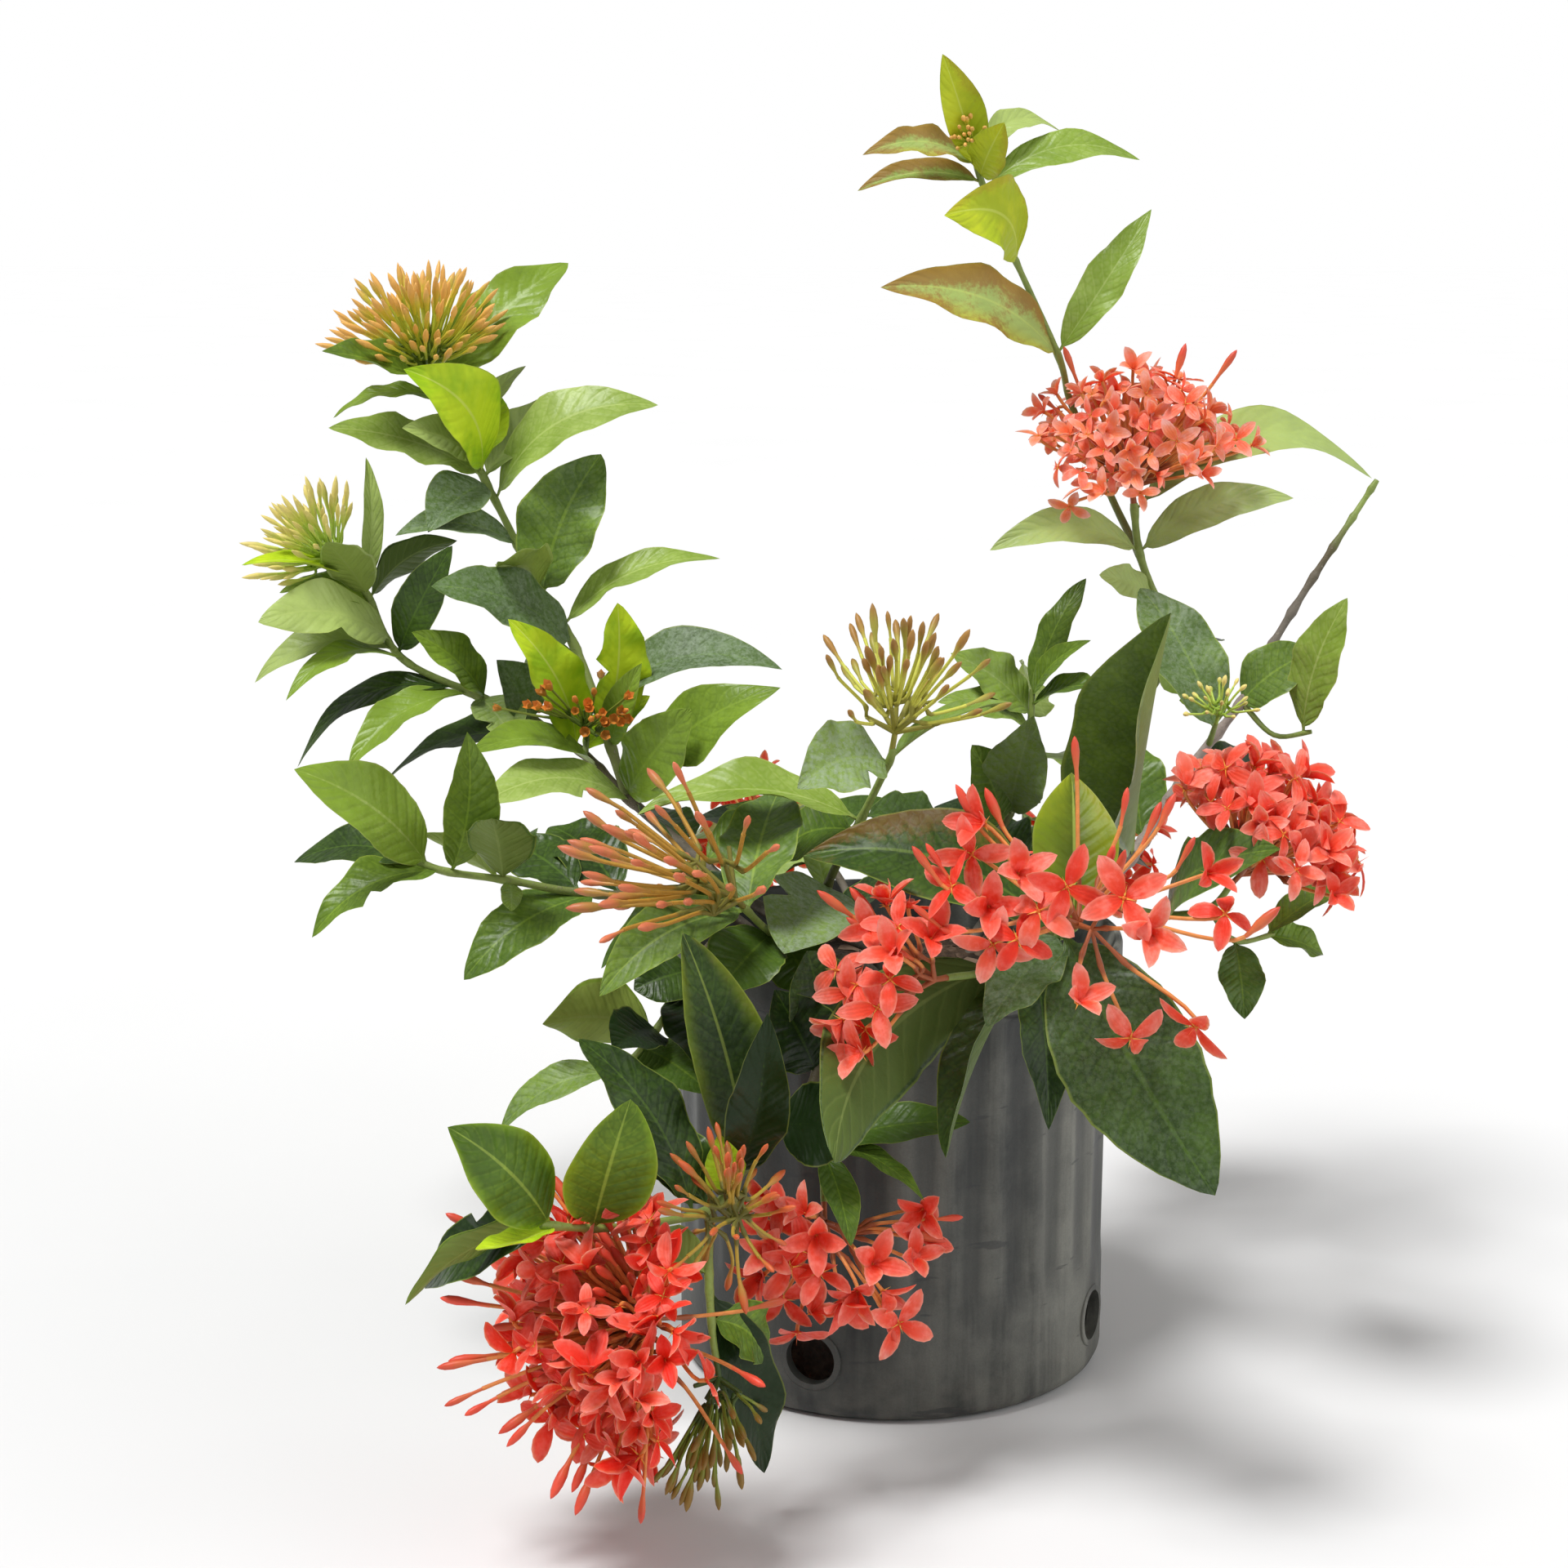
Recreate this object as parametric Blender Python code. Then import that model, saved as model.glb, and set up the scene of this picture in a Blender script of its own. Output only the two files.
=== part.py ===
"""A potted ixora: leafy stems in a fluted nursery pot, with a head of flowers, buds or old
calyces on the tip of most stems. Metres, +Z up, the origin under the middle of the pot."""

import math
import random

import bmesh
import bpy
from mathutils import Matrix, Vector
from mathutils.bvhtree import BVHTree

CM = 0.01
MM = 0.001
GAP = 0.3 * MM  # between pieces that touch on the real plant

# The pot
POT_HEIGHT = 24.5 * CM
POT_RADIUS = 12.1 * CM
POT_WALL = 2.0 * MM
RIM_RADIUS = 12.9 * CM
RIM_HEIGHT = 18 * MM
FOOT_BAND = 70 * MM
FLUTES = 28
FLUTE_DEPTH = 2.0 * MM
DRAIN_RADIUS = 14 * MM
DRAIN_HEIGHT = 34 * MM
DRAIN_ANGLES = (-113, -23, 67, 157)  # degrees from +X

# The soil, and how deep the stems stand in it
SOIL_TOP = 22.0 * CM
STEM_DEPTH = 3.0 * CM

# Leaves: the share of the length and of the width at each cross-section
LEAF_STATIONS = ((0.0, 0.09), (0.20, 0.66), (0.47, 1.0), (0.78, 0.64))
LEAF_THICKNESS = 1.4 * MM
LEAF_CURL = 0.07
LEAF_SET_BACK = 5 * MM  # from the end of a branch

# Flowers and buds
PETAL_LENGTH = 2.4 * CM
PETAL_NOTCH = 0.36
TUBE_RADIUS = 1.0 * MM
BUD_RADIUS = 2.0 * MM
CORE_RADIUS = 6 * MM
NECK_LENGTH = 1.0 * CM
GOLDEN_ANGLE = math.pi * (3 - math.sqrt(5))

# A leaf that would run into something is tried this much nearer or further, in cm, and a
# flower or bud at these shares of its reach
LEAF_SHIFTS = (0, 0.7, -0.7, 1.4, -1.4, 2.1, -2.1, 2.8, -2.8, 3.5, -3.5)
REACH_SHARES = (1, 0.92, 1.08, 0.84, 1.16, 0.76)
FLOOR_CLEARANCE = 1.0 * CM

# The plant was measured from one standing point. Every place on it is given as (u, v, y): u to
# the right and v up in cm on a picture plane in front of that eye, and y its real depth in cm.
EYE = Vector((-0.0616, -1.566, 0.645))
EYE_PITCH = math.radians(11.4)
PICTURE_DISTANCE = 1.75
FORWARD = Vector((0, math.cos(EYE_PITCH), -math.sin(EYE_PITCH)))
UPWARD = Vector((0, math.sin(EYE_PITCH), math.cos(EYE_PITCH)))

# Each stem: its foot (x, y) on the soil in cm, then its branches. A branch is its radius in mm
# at both ends and its route. All but the first start on a branch that comes before them.
STEMS = {
    "stem_back_left": ((-5, 3), {
        "trunk": (4.2, 1.8, [(-3, -6.5, 7), (-9.6, -0.8, 12), (-12.2, 1.8, 14), (-15.2, 3.8, 15),
                             (-19, 5.5, 15.5), (-23.5, 7.8, 16), (-25.5, 11.6, 16.5),
                             (-27.5, 13.5, 17)]),
        "tall": (3.2, 1.8, [(-9.6, -0.8, 12), (-11.5, 5, 14), (-13, 8.8, 16), (-14.8, 11.6, 17),
                            (-17.4, 16.8, 18.5), (-20, 22, 19.5), (-21.8, 25.5, 20)]),
        "spur": (2.2, 1.8, [(-12.2, 1.8, 14), (-12, 3.4, 12.5)]),
    }),
    "stem_left": ((-7, -0.5), {
        "trunk": (3.4, 1.8, [(-4, -7.6, -1), (-8, -7, -2), (-13, -6.6, -3), (-16.8, -5.9, -4),
                             (-20.5, -5.4, -4.5), (-22.4, -4.8, -4.5)]),
    }),
    "stem_bud_front": ((-3.5, -4.5), {
        "trunk": (3.0, 1.8, [(2, -11.2, -8), (0.2, -9.8, -12), (-1.2, -8.8, -15),
                             (-3, -7, -17.5)]),
    }),
    "stem_middle": ((-1, -1), {
        "trunk": (3.0, 1.8, [(3, -9, -4), (2.6, -6.5, -8), (4.8, -2, -12), (6.5, 1.5, -14),
                             (6.8, 3.2, -14.5)]),
    }),
    "stem_top_right": ((5, 4), {
        "trunk": (4.0, 2.2, [(16, -5, 9), (19.5, 0, 12), (22, 5, 14), (23.5, 8.5, 14.5),
                             (21.8, 14, 15), (21.3, 18.2, 15)]),
        "young": (2.4, 1.6, [(21.8, 14, 15), (20.3, 17, 18.5), (19, 20, 19.5), (17.5, 23.5, 18),
                             (16.8, 26.2, 16.5), (14.2, 32, 16), (12.2, 36.6, 16),
                             (11.4, 39.3, 16)]),
    }),
    "stem_right": ((8, 0.5), {
        "trunk": (3.8, 1.6, [(19, -7, 2), (22, -3.5, 4), (24.5, 0.5, 4.5), (28, 5, 5), (29, 7, 6),
                             (32, 12, 8), (35, 16.6, 10), (36.3, 18.6, 10.5)]),
        "bloom": (2.6, 1.8, [(19, -7, 2), (23, -8, -1), (26, -7.6, -5), (28, -5.5, -7.5)]),
        "spray": (1.8, 1.2, [(28, 5, 5), (30, 3, 3.5), (32.3, 3.2, 2.5)]),
        "spur": (2.0, 1.4, [(26, 2.4, 4.7), (26.6, 4.2, 1.5)]),
        "low": (1.8, 1.2, [(26, -7.6, -5), (27.6, -9.6, -4.5), (30, -9.2, -3.5)]),
    }),
    "stem_front_right": ((5.5, -5), {
        "trunk": (3.4, 1.9, [(14, -11, -9), (15.5, -9.8, -13), (17, -9.2, -20), (18, -8.6, -25)]),
        "side": (2.2, 1.8, [(15.5, -9.8, -13), (12.6, -11.4, -18), (9.2, -12, -21.5)]),
    }),
    "stem_low_front": ((-1, -6.8), {
        "trunk": (3.4, 1.8, [(4.5, -11, -11), (3.2, -11, -13.8), (2.3, -14.5, -16),
                             (1.9, -18, -17.5), (-0.2, -20.6, -20), (-2.8, -24, -22.5),
                             (-4.5, -26, -24.5), (-8, -26.9, -26.5), (-11.5, -27.2, -28.5),
                             (-14.9, -27, -30)]),
        "bloom": (2.4, 1.8, [(-8, -26.9, -26.5), (-7.8, -30, -27), (-8, -33, -27)]),
        "crown": (2.2, 1.8, [(-2.8, -24, -22.5), (-3, -25.4, -25.5), (-3.2, -26.6, -28.5)]),
        "hanging": (2.2, 1.8, [(-4.5, -26, -24.5), (-4.6, -30, -25), (-4.4, -33.5, -25.8),
                               (-4, -36.4, -26.2)]),
        "under": (2.2, 1.8, [(1.9, -18, -17.5), (2.3, -22, -17.8), (2.5, -26.8, -19.5)]),
    }),
    "stem_low_left": ((-8, -4), {
        "trunk": (2.6, 1.6, [(-3.6, -9.4, -7.2), (-5, -10.4, -9.3), (-6.6, -13, -10.5),
                             (-8.5, -16, -11.5), (-10.8, -18, -12.5)]),
    }),
    "stem_back_shoot": ((3, 7), {
        "trunk": (2.8, 1.6, [(11.6, -5, 10.4), (14, -1.5, 13), (15, 3, 14.5), (15.2, 5.8, 15)]),
    }),
    "stem_back_middle": ((-2, 8), {
        "trunk": (2.8, 1.8, [(3, -5.2, 11), (1, -3.8, 14.5), (-0.5, -3.4, 18.5), (-1.5, -3, 23)]),
    }),
    "stem_back_right": ((6.5, 7.5), {
        "trunk": (2.8, 1.8, [(13.4, -5.2, 10.4), (16.5, -4.3, 15), (18.6, -3.8, 22)]),
    }),
}

# Each leaf: where on the stem it grows (u, v), its tip (u, v, y), its width in cm, the way its
# upper face looks in degrees (0 at the eye, 90 at the sky, past 90 the underside shows) and how
# far its middle bows up from the straight line, as a share of its length.
LEAVES = {
    "stem_back_left": [
        (-21.5, 24.5, -13.2, 31.9, 24, 4.4, 35, 0.02), (-21, 24.3, -28.3, 26.5, 17, 3.2, 60, 0.06),
        (-19, 20.5, -15.8, 25.6, 23, 1.8, 45, 0.05), (-18.1, 18.8, -13, 23.8, 22, 2.8, 40, 0.04),
        (-17.6, 17.4, -7.7, 23.2, 20, 4.4, 50, 0.13), (-14.8, 11.6, -11.2, 20.2, 18, 4.8, 15, 0.05),
        (-14.8, 12, -17.2, 13.6, 12, 3.2, 150, 0.08), (-18, 18.5, -21.8, 15.4, 14, 3.4, 25, 0.04),
        (-18.3, 18.9, -27.9, 21.8, 15, 3.4, 50, 0.02), (-18.8, 19.6, -23.4, 21.8, 14, 2.6, 40, 0.04),
        (-20.6, 23.5, -27.6, 22.4, 19, 1.6, 60, 0.1), (-25.6, 12, -25.6, 20, 18, 1.3, 20, 0.03),
        (-25.4, 11.6, -28, 14.8, 13, 3.0, 150, 0.0), (-25.3, 11.4, -20, 14.9, 18, 2.8, 130, 0.08),
        (-16.3, 14.6, -23.8, 15.2, 14, 2.8, 50, 0.08), (-23.6, 8, -20.3, 14.6, 13, 2.8, 20, 0.0),
        (-12.9, 8.6, -21.6, 12.1, 13, 4.2, 40, 0.06), (-13.5, 9.7, -3.9, 13.8, 17, 3.0, 55, 0.07),
        (-10.4, 5, -0.1, 7, 12, 3.8, 45, 0.12), (-10.5, 2, -8.7, 7.4, 10, 2.2, 35, 0.0),
        (-9.7, -0.8, -5.7, 4.6, 8, 4.0, 25, 0.0), (-9.4, -0.9, -0.2, 5.9, 7, 4.4, 35, 0.06),
        (-24.4, 8.6, -32.2, 9.9, 12, 3.8, 35, 0.1), (-25.2, 11, -30.9, 11.7, 16, 2.6, 50, 0.1),
        (-24, 8, -32.4, 6.2, 15, 2.6, 50, 0.12), (-23, 7.6, -30.5, 5.1, 11, 2.0, 55, 0.14),
        (-18.2, 5.3, -22.8, 9.3, 13, 2.8, 40, 0.04), (-19.8, 5.7, -29.8, 1, 15, 2.6, 55, 0.14),
        (-19.3, 5.5, -26.7, 0.9, 11, 2.8, 50, 0.07), (-18.6, 5.4, -16.4, 2.4, 12, 3.2, 30, 0.0),
        (-15.3, 3.9, -17.6, 7.6, 14, 3.2, 30, 0.0), (-13, 8.2, -16.3, 5.6, 19, 2.8, 30, 0.0),
        (-11.4, 0.8, -19.4, 1.8, 8, 3.0, 60, 0.09), (-9.6, -1.4, -19.1, -1.6, 6, 3.8, 50, 0.1),
        (-12.4, 2, -24.4, 0.2, 17, 3.2, 55, 0.1), (-3, -6.4, 3.6, -5, 4, 3.8, 65, 0.05),
        (-5, -5, 0.8, -2.4, 9, 3.8, 60, 0.05), (-6.4, -3.8, -8.6, -1.6, 14, 3.8, 60, 0.05),
    ],
    "stem_left": [
        (-20.4, -5.4, -19.4, 3.2, -6, 3.0, 20, 0.04), (-22, -5, -30, 0.9, -8, 4.2, 30, 0.05),
        (-22, -5, -30, -4.8, -2, 3.2, 50, 0.07), (-20.8, -5.4, -28.9, -9.4, -7, 3.0, 50, 0.09),
        (-17.2, -6, -17.9, -2.1, -8.5, 3.6, 165, 0.0), (-17.4, -6, -22.3, -3, -3, 2.0, 120, 0.0),
        (-16.8, -6, -16.7, -7.8, -5, 1.2, 20, 0.0), (-11.3, -6.8, -19.6, -12, -7, 3.6, 40, 0.06),
        (-12.5, -6.7, -18.6, -3.6, 3, 3.8, 40, 0.05), (-10, -6.8, -14.3, -2.6, 4, 4.0, 30, 0.03),
        (-5, -7.4, -1, -5.2, 1, 3.6, 70, 0.05),
    ],
    "stem_bud_front": [
        (-2.6, -7.4, -11.3, -13, -20, 3.0, 25, 0.09), (-2.4, -7.6, -11.2, -11.3, -13, 3.4, 40, 0.06),
        (-2.5, -7.5, -0.3, -0.4, -9, 4.0, 25, 0.0), (-0.8, -9.2, -4.2, -13, -18.5, 3.8, 20, 0.0),
        (-0.2, -9.6, 2, -13.2, -15, 3.6, 30, 0.0),
    ],
    "stem_middle": [
        (2.7, -6.2, 0, -10.4, -17, 5.0, 10, 0.0), (4.6, -2.2, -9, -1.9, -13, 3.2, 55, 0.07),
        (6.4, 1.3, 0.8, -0.3, -17, 3.8, 15, 0.12), (6.6, 1.6, 14, 5, -11, 1.9, 70, 0.02),
        (4.4, -2.8, 0, -4.4, -6, 3.4, 40, 0.06), (2.8, -6.8, 1.1, -2, -5, 1.6, 20, 0.0),
        (4.9, -2, 11, -4.2, -9, 3.4, 55, 0.06),
        (3, -8.8, 8.2, -6.2, -4, 3.8, 70, 0.05),
    ],
    "stem_top_right": [
        (16.6, 26, 5.9, 30.4, 12, 3.8, 35, 0.09), (16.9, 26.4, 22.5, 35.2, 18, 2.6, 20, -0.03),
        (12.2, 36.4, 21.8, 38.2, 18, 2.2, 55, 0.12), (21.3, 17, 36, 18.7, 18, 3.4, 50, 0.2),
        (21.8, 14.2, 31.2, 17.5, 13, 2.6, 60, 0.1), (21.7, 14.2, 12.6, 14.3, 13, 2.4, 60, 0.12),
        (22.6, 11.4, 19.3, 12.8, 12, 2.2, 40, 0.0), (23.4, 8.8, 25.8, 4, 11, 4.0, 30, 0.0),
        (19.6, 0, 15.6, 1.4, 20, 3.4, 60, 0.06), (22.2, 5.2, 27, 8.8, 21, 3.4, 60, 0.06),
        (13.5, -6.4, 9.5, -4.2, 3, 3.8, 65, 0.05), (15.8, -5, 18.6, -1.8, 5, 3.6, 60, 0.05),
    ],
    "stem_right": [
        (21.4, -4.4, 23.7, 10.5, -7, 6.0, -25, 0.05), (26.4, 3.2, 21.8, 12, 10, 4.2, 30, 0.02),
        (23.4, -7.8, 30.4, -4, -14.5, 4.6, 45, 0.12), (32.3, 3.1, 34.5, 11.4, 1, 3.2, 15, 0.02),
        (28, 4.8, 32.6, 8.2, 2, 3.6, 35, 0.03), (27.4, -9.4, 28.2, -14.4, -7, 2.8, 15, 0.0),
        (30, -9.2, 33, -10.4, -2, 2.2, 50, 0.0), (30, -9.2, 34.4, -6.2, -1, 2.0, 45, 0.0),
        (22, -3.6, 20.6, 3.2, 9, 3.6, 20, 0.0), (24.4, 0.4, 31, -1, 12, 3.4, 60, 0.06),
        (17, -7.8, 13, -6, -2, 3.6, 70, 0.05),
    ],
    "stem_front_right": [
        (16.8, -9.2, 1.2, -4.4, -17, 5.2, 35, 0.1), (18, -8.8, 17.6, 0.7, -19, 4.0, 10, 0.0),
        (13.4, -11, 3.1, -23.2, -27, 5.4, 160, 0.12), (17, -9.4, 12.4, -14.9, -24, 3.2, 25, 0.0),
        (17.2, -9.2, 26.4, -25.2, -27, 6.4, 10, -0.03), (15.2, -10, 16.2, -21.2, -17.5, 2.8, 20, 0.0),
        (16.2, -9.6, 9.9, -22.9, -21.5, 2.6, 60, 0.0),
    ],
    "stem_low_front": [
        (-2.4, -23.4, -6.2, -9.1, -24, 3.8, 15, 0.02), (-2.8, -24, -1, -14, -27, 3.8, 10, 0.02),
        (-4.6, -26, -9.1, -20, -21.5, 3.2, 20, 0.0), (-5.6, -26.3, -12.6, -15.6, -24, 3.2, 30, 0.06),
        (-0.4, -20.8, 4.6, -20.9, -21, 4.0, 15, 0.0), (2.1, -14, 5, -18.6, -16.5, 3.8, 20, 0.0),
        (1.8, -17.6, -0.6, -12.6, -18, 3.8, 20, 0.0), (2.2, -15, 1.4, -10.2, -19, 4.2, 30, 0.0),
        (2.2, -21, 11.4, -20.7, -18, 2.6, 45, 0.0), (2.3, -22, 8.6, -25.5, -21, 1.8, 60, 0.04),
        (2.3, -22.4, 4.1, -28.3, -22, 1.9, 30, 0.0), (-4.7, -31, -1.2, -42.2, -22.6, 3.4, 30, 0.0),
        (-4.5, -32.8, -1.3, -35.4, -24, 3.0, 35, 0.12), (-4.7, -29, -9.4, -27.8, -28, 2.6, 150, 0.0),
        (-14.7, -27, -20.6, -21, -32, 4.8, 20, 0.04), (-11.7, -27.3, -9.4, -19.3, -31, 4.6, -18, 0.03),
        (-14.6, -27, -22, -30.9, -26, 3.2, 35, 0.05), (-14.8, -27, -23.2, -31.9, -30, 2.0, 125, 0.06),
    ],
    "stem_low_left": [
        (-8.3, -14.8, -14.8, -14.7, -13, 4.0, 150, 0.06), (-7.8, -15, -10.5, -16.2, -15, 3.2, 30, 0.0),
        (-10.8, -18, -17.4, -21.3, -13, 2.2, 40, 0.08), (-6.4, -12.6, -4.6, -18, -15.5, 3.6, 20, 0.0),
        (-5.6, -11.4, -9.2, -12.6, -11, 3.4, 30, 0.0), (-8.6, -16.2, -4.4, -19, -16, 3.4, 30, 0.0),
    ],
    "stem_back_shoot": [
        (15.2, 5.4, 18.5, 12.6, 17, 2.0, 30, 0.02), (15.2, 5.5, 18.8, 8.8, 13, 1.7, 45, 0.06),
        (15.1, 4.2, 10.2, 8, 13, 3.2, 40, 0.03), (15, 3.6, 9.4, 5, 11, 2.4, 50, 0.03),
        (15.1, 4.8, 20, 5.8, 12, 2.2, 60, 0.06), (14.6, 0.8, 15.3, 4.2, 7, 4.4, 10, 0.0),
        (13.4, -2.4, 11.5, 2.4, 9, 3.2, 30, 0.0), (13.2, -3, 9.2, -1.4, 14, 3.0, 50, 0.04),
        (14.9, 4, 14.6, 7.4, 21, 3.0, 60, 0.0),
    ],
    "stem_back_middle": [
        (0.4, -5.6, 5, -1.8, 19, 3.6, 60, 0.05), (0.2, -5.4, -6, -2.4, 19, 3.6, 60, 0.05),
        (-1.2, -4.6, 2.6, -1.4, 27, 3.6, 70, 0.05), (-1.2, -4.6, -6.4, -4.6, 28, 3.6, 70, 0.08),
        (2, -4.4, 6.6, -1, 16, 3.6, 60, 0.05), (2, -4.4, -3.6, -1.4, 14, 3.6, 60, 0.05),
    ],
    "stem_back_right": [
        (17.2, -5.8, 13, -3.4, 20, 3.6, 60, 0.05), (17.4, -5.6, 22.4, -5.2, 20, 3.6, 60, 0.05),
        (18.3, -4.6, 14.6, -2.6, 27, 3.6, 70, 0.05), (18.4, -4.6, 22.6, -3.4, 27, 3.6, 70, 0.08),
        (15, -4.8, 11.2, -2.4, 16, 3.6, 60, 0.05), (15.2, -4.6, 20.4, -2, 13, 3.6, 60, 0.05),
    ],
}

YOUNG_LEAVES = {
    "stem_back_left": [
        (-18.3, 19.2, -23.3, 25.4, 14, 4.8, 35, 0.14), (-18.6, 19.8, -17.6, 24, 20, 3.0, 20, 0.0),
        (-12.4, 2.6, -16.9, 10.1, 11, 3.4, 30, 0.06), (-12, 3, -10.2, 11.1, 11.5, 3.4, 25, 0.02),
        (-27, 13, -33.2, 13.4, 14, 1.8, 70, 0.03), (-12, 2.6, -8.2, 5.4, 11.5, 2.0, 30, 0.0),
    ],
    "stem_top_right": [
        (11.6, 38.6, 9.7, 44.7, 15, 2.4, 10, 0.0), (11.6, 38.2, 4.8, 38.5, 13, 2.2, 45, 0.1),
        (12, 36.8, 4.5, 36.3, 15, 1.8, 45, 0.06), (14.2, 32, 9.8, 34.8, 11, 4.4, 25, 0.22),
        (12, 37.2, 13.5, 40.5, 12, 2.4, 20, 0.0), (11.5, 38.8, 16.9, 40, 18, 1.8, 35, 0.24),
    ],
    "stem_front_right": [
        (16.6, -9.4, 9.2, -2.3, -14.5, 3.0, 30, 0.0),
    ],
    "stem_low_front": [
        (-14, -27.1, -18.9, -28.5, -33, 1.9, 65, -0.1), (-3.6, -25, -4, -21.4, -25, 2.0, 15, 0.0),
    ],
}

# Each head: the branch that it sits on, how far its flowers reach in cm, how much they turn to
# the eye (0 to 1), the dome it covers (the place it aims at, its half angle, flowers, buds) and
# the flowers and buds that stand out from it, by (u, v). Their depth follows from the reach.
HEADS = {
    "buds_tall_left": dict(
        on=("stem_back_left", "tall"), kind="young", reach=6.2, face=0.0,
        dome=((-22.8, 32, 19), 72, 0, 20)),
    "buds_pale_left": dict(
        on=("stem_back_left", "trunk"), kind="pale", reach=5.6, face=0.0,
        dome=((-32, 17.5, 15), 62, 0, 13)),
    "calyces_left": dict(
        on=("stem_back_left", "spur"), kind="calyx", reach=4.6, face=0.0,
        buds=[(-16.5, 6.7), (-15.4, 6.5), (-16.8, 5.5), (-17.8, 4.7), (-17, 4.1), (-15.2, 4.8),
              (-13.8, 5), (-12.8, 5.4), (-11.2, 6.8), (-10.4, 7), (-9.2, 6.8), (-10.8, 5.2),
              (-9.4, 5.5), (-9.5, 4), (-11.8, 4)]),
    "buds_front": dict(
        on=("stem_bud_front", "trunk"), kind="salmon", reach=8.6, face=0.0,
        buds=[(-12.4, -0.1), (-12.1, -1.8), (-11.2, -2.5), (-13.9, -3.8), (-12.4, -5.4),
              (-12.9, -6.5), (-13.4, -7.6), (-11.5, -9.8), (-8.4, 1), (-6.7, 1.2), (-7.8, -1.4),
              (-2.1, -1.8), (-0.2, -3.7), (-1.5, -4.8), (-10, -6.3), (-7.5, -4.5), (-10.5, -1),
              (-8.7, -8.8), (-6, -7.2)]),
    "buds_middle": dict(
        on=("stem_middle", "trunk"), kind="green", reach=6.6, face=0.0,
        buds=[(4.4, 10.5), (5.4, 11.1), (6.3, 10.8), (7.3, 10.4), (8.5, 9.8), (9.4, 10.3),
              (11.4, 9.5), (2.5, 9), (2.5, 8.1), (5, 8.5), (6.5, 7.8), (7.6, 7.8), (9.5, 8.3),
              (10.9, 7.5), (12.8, 7.8), (9, 6.5), (4.9, 5.8), (3.9, 4.6), (12.8, 5.5),
              (13.8, 4.9)]),
    "bloom_top_right": dict(
        on=("stem_top_right", "trunk"), kind="coral", reach=7.2, face=0.25,
        dome=((22.6, 25.4, 13.5), 84, 16, 2)),
    "buds_top": dict(
        on=("stem_top_right", "young"), kind="young", reach=1.7, face=0.0,
        dome=((11.6, 41, 15), 80, 0, 6)),
    "bloom_right": dict(
        on=("stem_right", "bloom"), kind="coral", reach=6.6, face=0.25,
        dome=((31.4, 2.5, -10.5), 82, 15, 1)),
    "buds_right": dict(
        on=("stem_right", "spur"), kind="pale", reach=2.4, face=0.0,
        dome=((26.6, 8, 0.5), 80, 0, 7)),
    "bloom_front_right": dict(
        on=("stem_front_right", "trunk"), kind="coral", reach=5.4, face=0.45,
        flowers=[(12.2, -2.6), (10.6, -6), (12.6, -7.4), (12.8, -10), (15.2, -5.6), (20.8, -7),
                 (22.4, -9.2), (25.9, -5.6), (18, -13.4), (21.2, -15.5), (25.2, -14.8)],
        buds=[(17.8, 2.7), (10.5, 0), (12.3, -0.2), (21, -0.4), (23, -1.2), (24, -0.5),
              (25.2, -3), (20.6, -3.9), (8, -4), (30.4, -7.5)]),
    "bloom_front_side": dict(
        on=("stem_front_right", "side"), kind="coral", reach=3.6, face=0.4,
        flowers=[(6.4, -7.4), (4.6, -9.4), (4.4, -12.2), (6.6, -12.2), (5, -15.2)],
        buds=[(2.2, -6.6), (3.8, -8), (9.4, -7.6)]),
    "bloom_low_left": dict(
        on=("stem_low_front", "bloom"), kind="coral", reach=6.6, face=0.25,
        dome=((-14.5, -37.5, -32.5), 90, 17, 0),
        buds=[(-12.8, -24.8), (-10.2, -26.6), (-14.6, -26.4), (-11.2, -28.3), (-20.5, -35.6),
              (-20.6, -38), (-19.8, -39.2), (-17, -40.9), (-14.2, -43.7), (-12.8, -44.7),
              (-8.8, -45.4), (-2.4, -42.4), (0.5, -31.5), (-19.8, -30.2)]),
    "buds_low_front": dict(
        on=("stem_low_front", "crown"), kind="salmon", reach=4.6, face=0.0,
        buds=[(-4.2, -20.5), (-7, -22.6), (-5.9, -22), (-2.4, -21.9), (-0.9, -21.9),
              (0.1, -23.6), (-8, -25.5), (-6.8, -24.5), (0.6, -25.9), (0.2, -28.2),
              (-0.5, -30), (-2.3, -32.5), (-3.6, -30.9), (-6.9, -31.2), (-7, -29.6)]),
    "buds_hanging": dict(
        on=("stem_low_front", "hanging"), kind="green", reach=4.6, face=0.0,
        buds=[(-7, -43.6), (-4.4, -43.8), (-5.6, -43), (-0.9, -38.5), (-1.3, -39.4),
              (-1.8, -41.2), (-3.2, -41.8), (-2.4, -40.2), (-7.6, -41.8), (-6.4, -41.3),
              (-5.6, -40.4), (-4.2, -40.4)]),
    "bloom_low_middle": dict(
        on=("stem_low_front", "under"), kind="coral", reach=4.4, face=0.5,
        flowers=[(1.2, -26.2), (-0.2, -28.6), (0.6, -31.4), (3.6, -31.4), (6, -30.8),
                 (8.4, -26.2), (8, -28.9)],
        buds=[(11.2, -26.5), (6.8, -33.4)]),
    "bloom_back_middle": dict(
        on=("stem_back_middle", "trunk"), kind="coral", reach=4.4, face=-0.3,
        dome=((-2.4, -2.5, 29), 72, 7, 2)),
    "bloom_back_right": dict(
        on=("stem_back_right", "trunk"), kind="coral", reach=4.4, face=-0.3,
        dome=((19.4, -2.5, 28), 72, 7, 2)),
}

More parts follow.
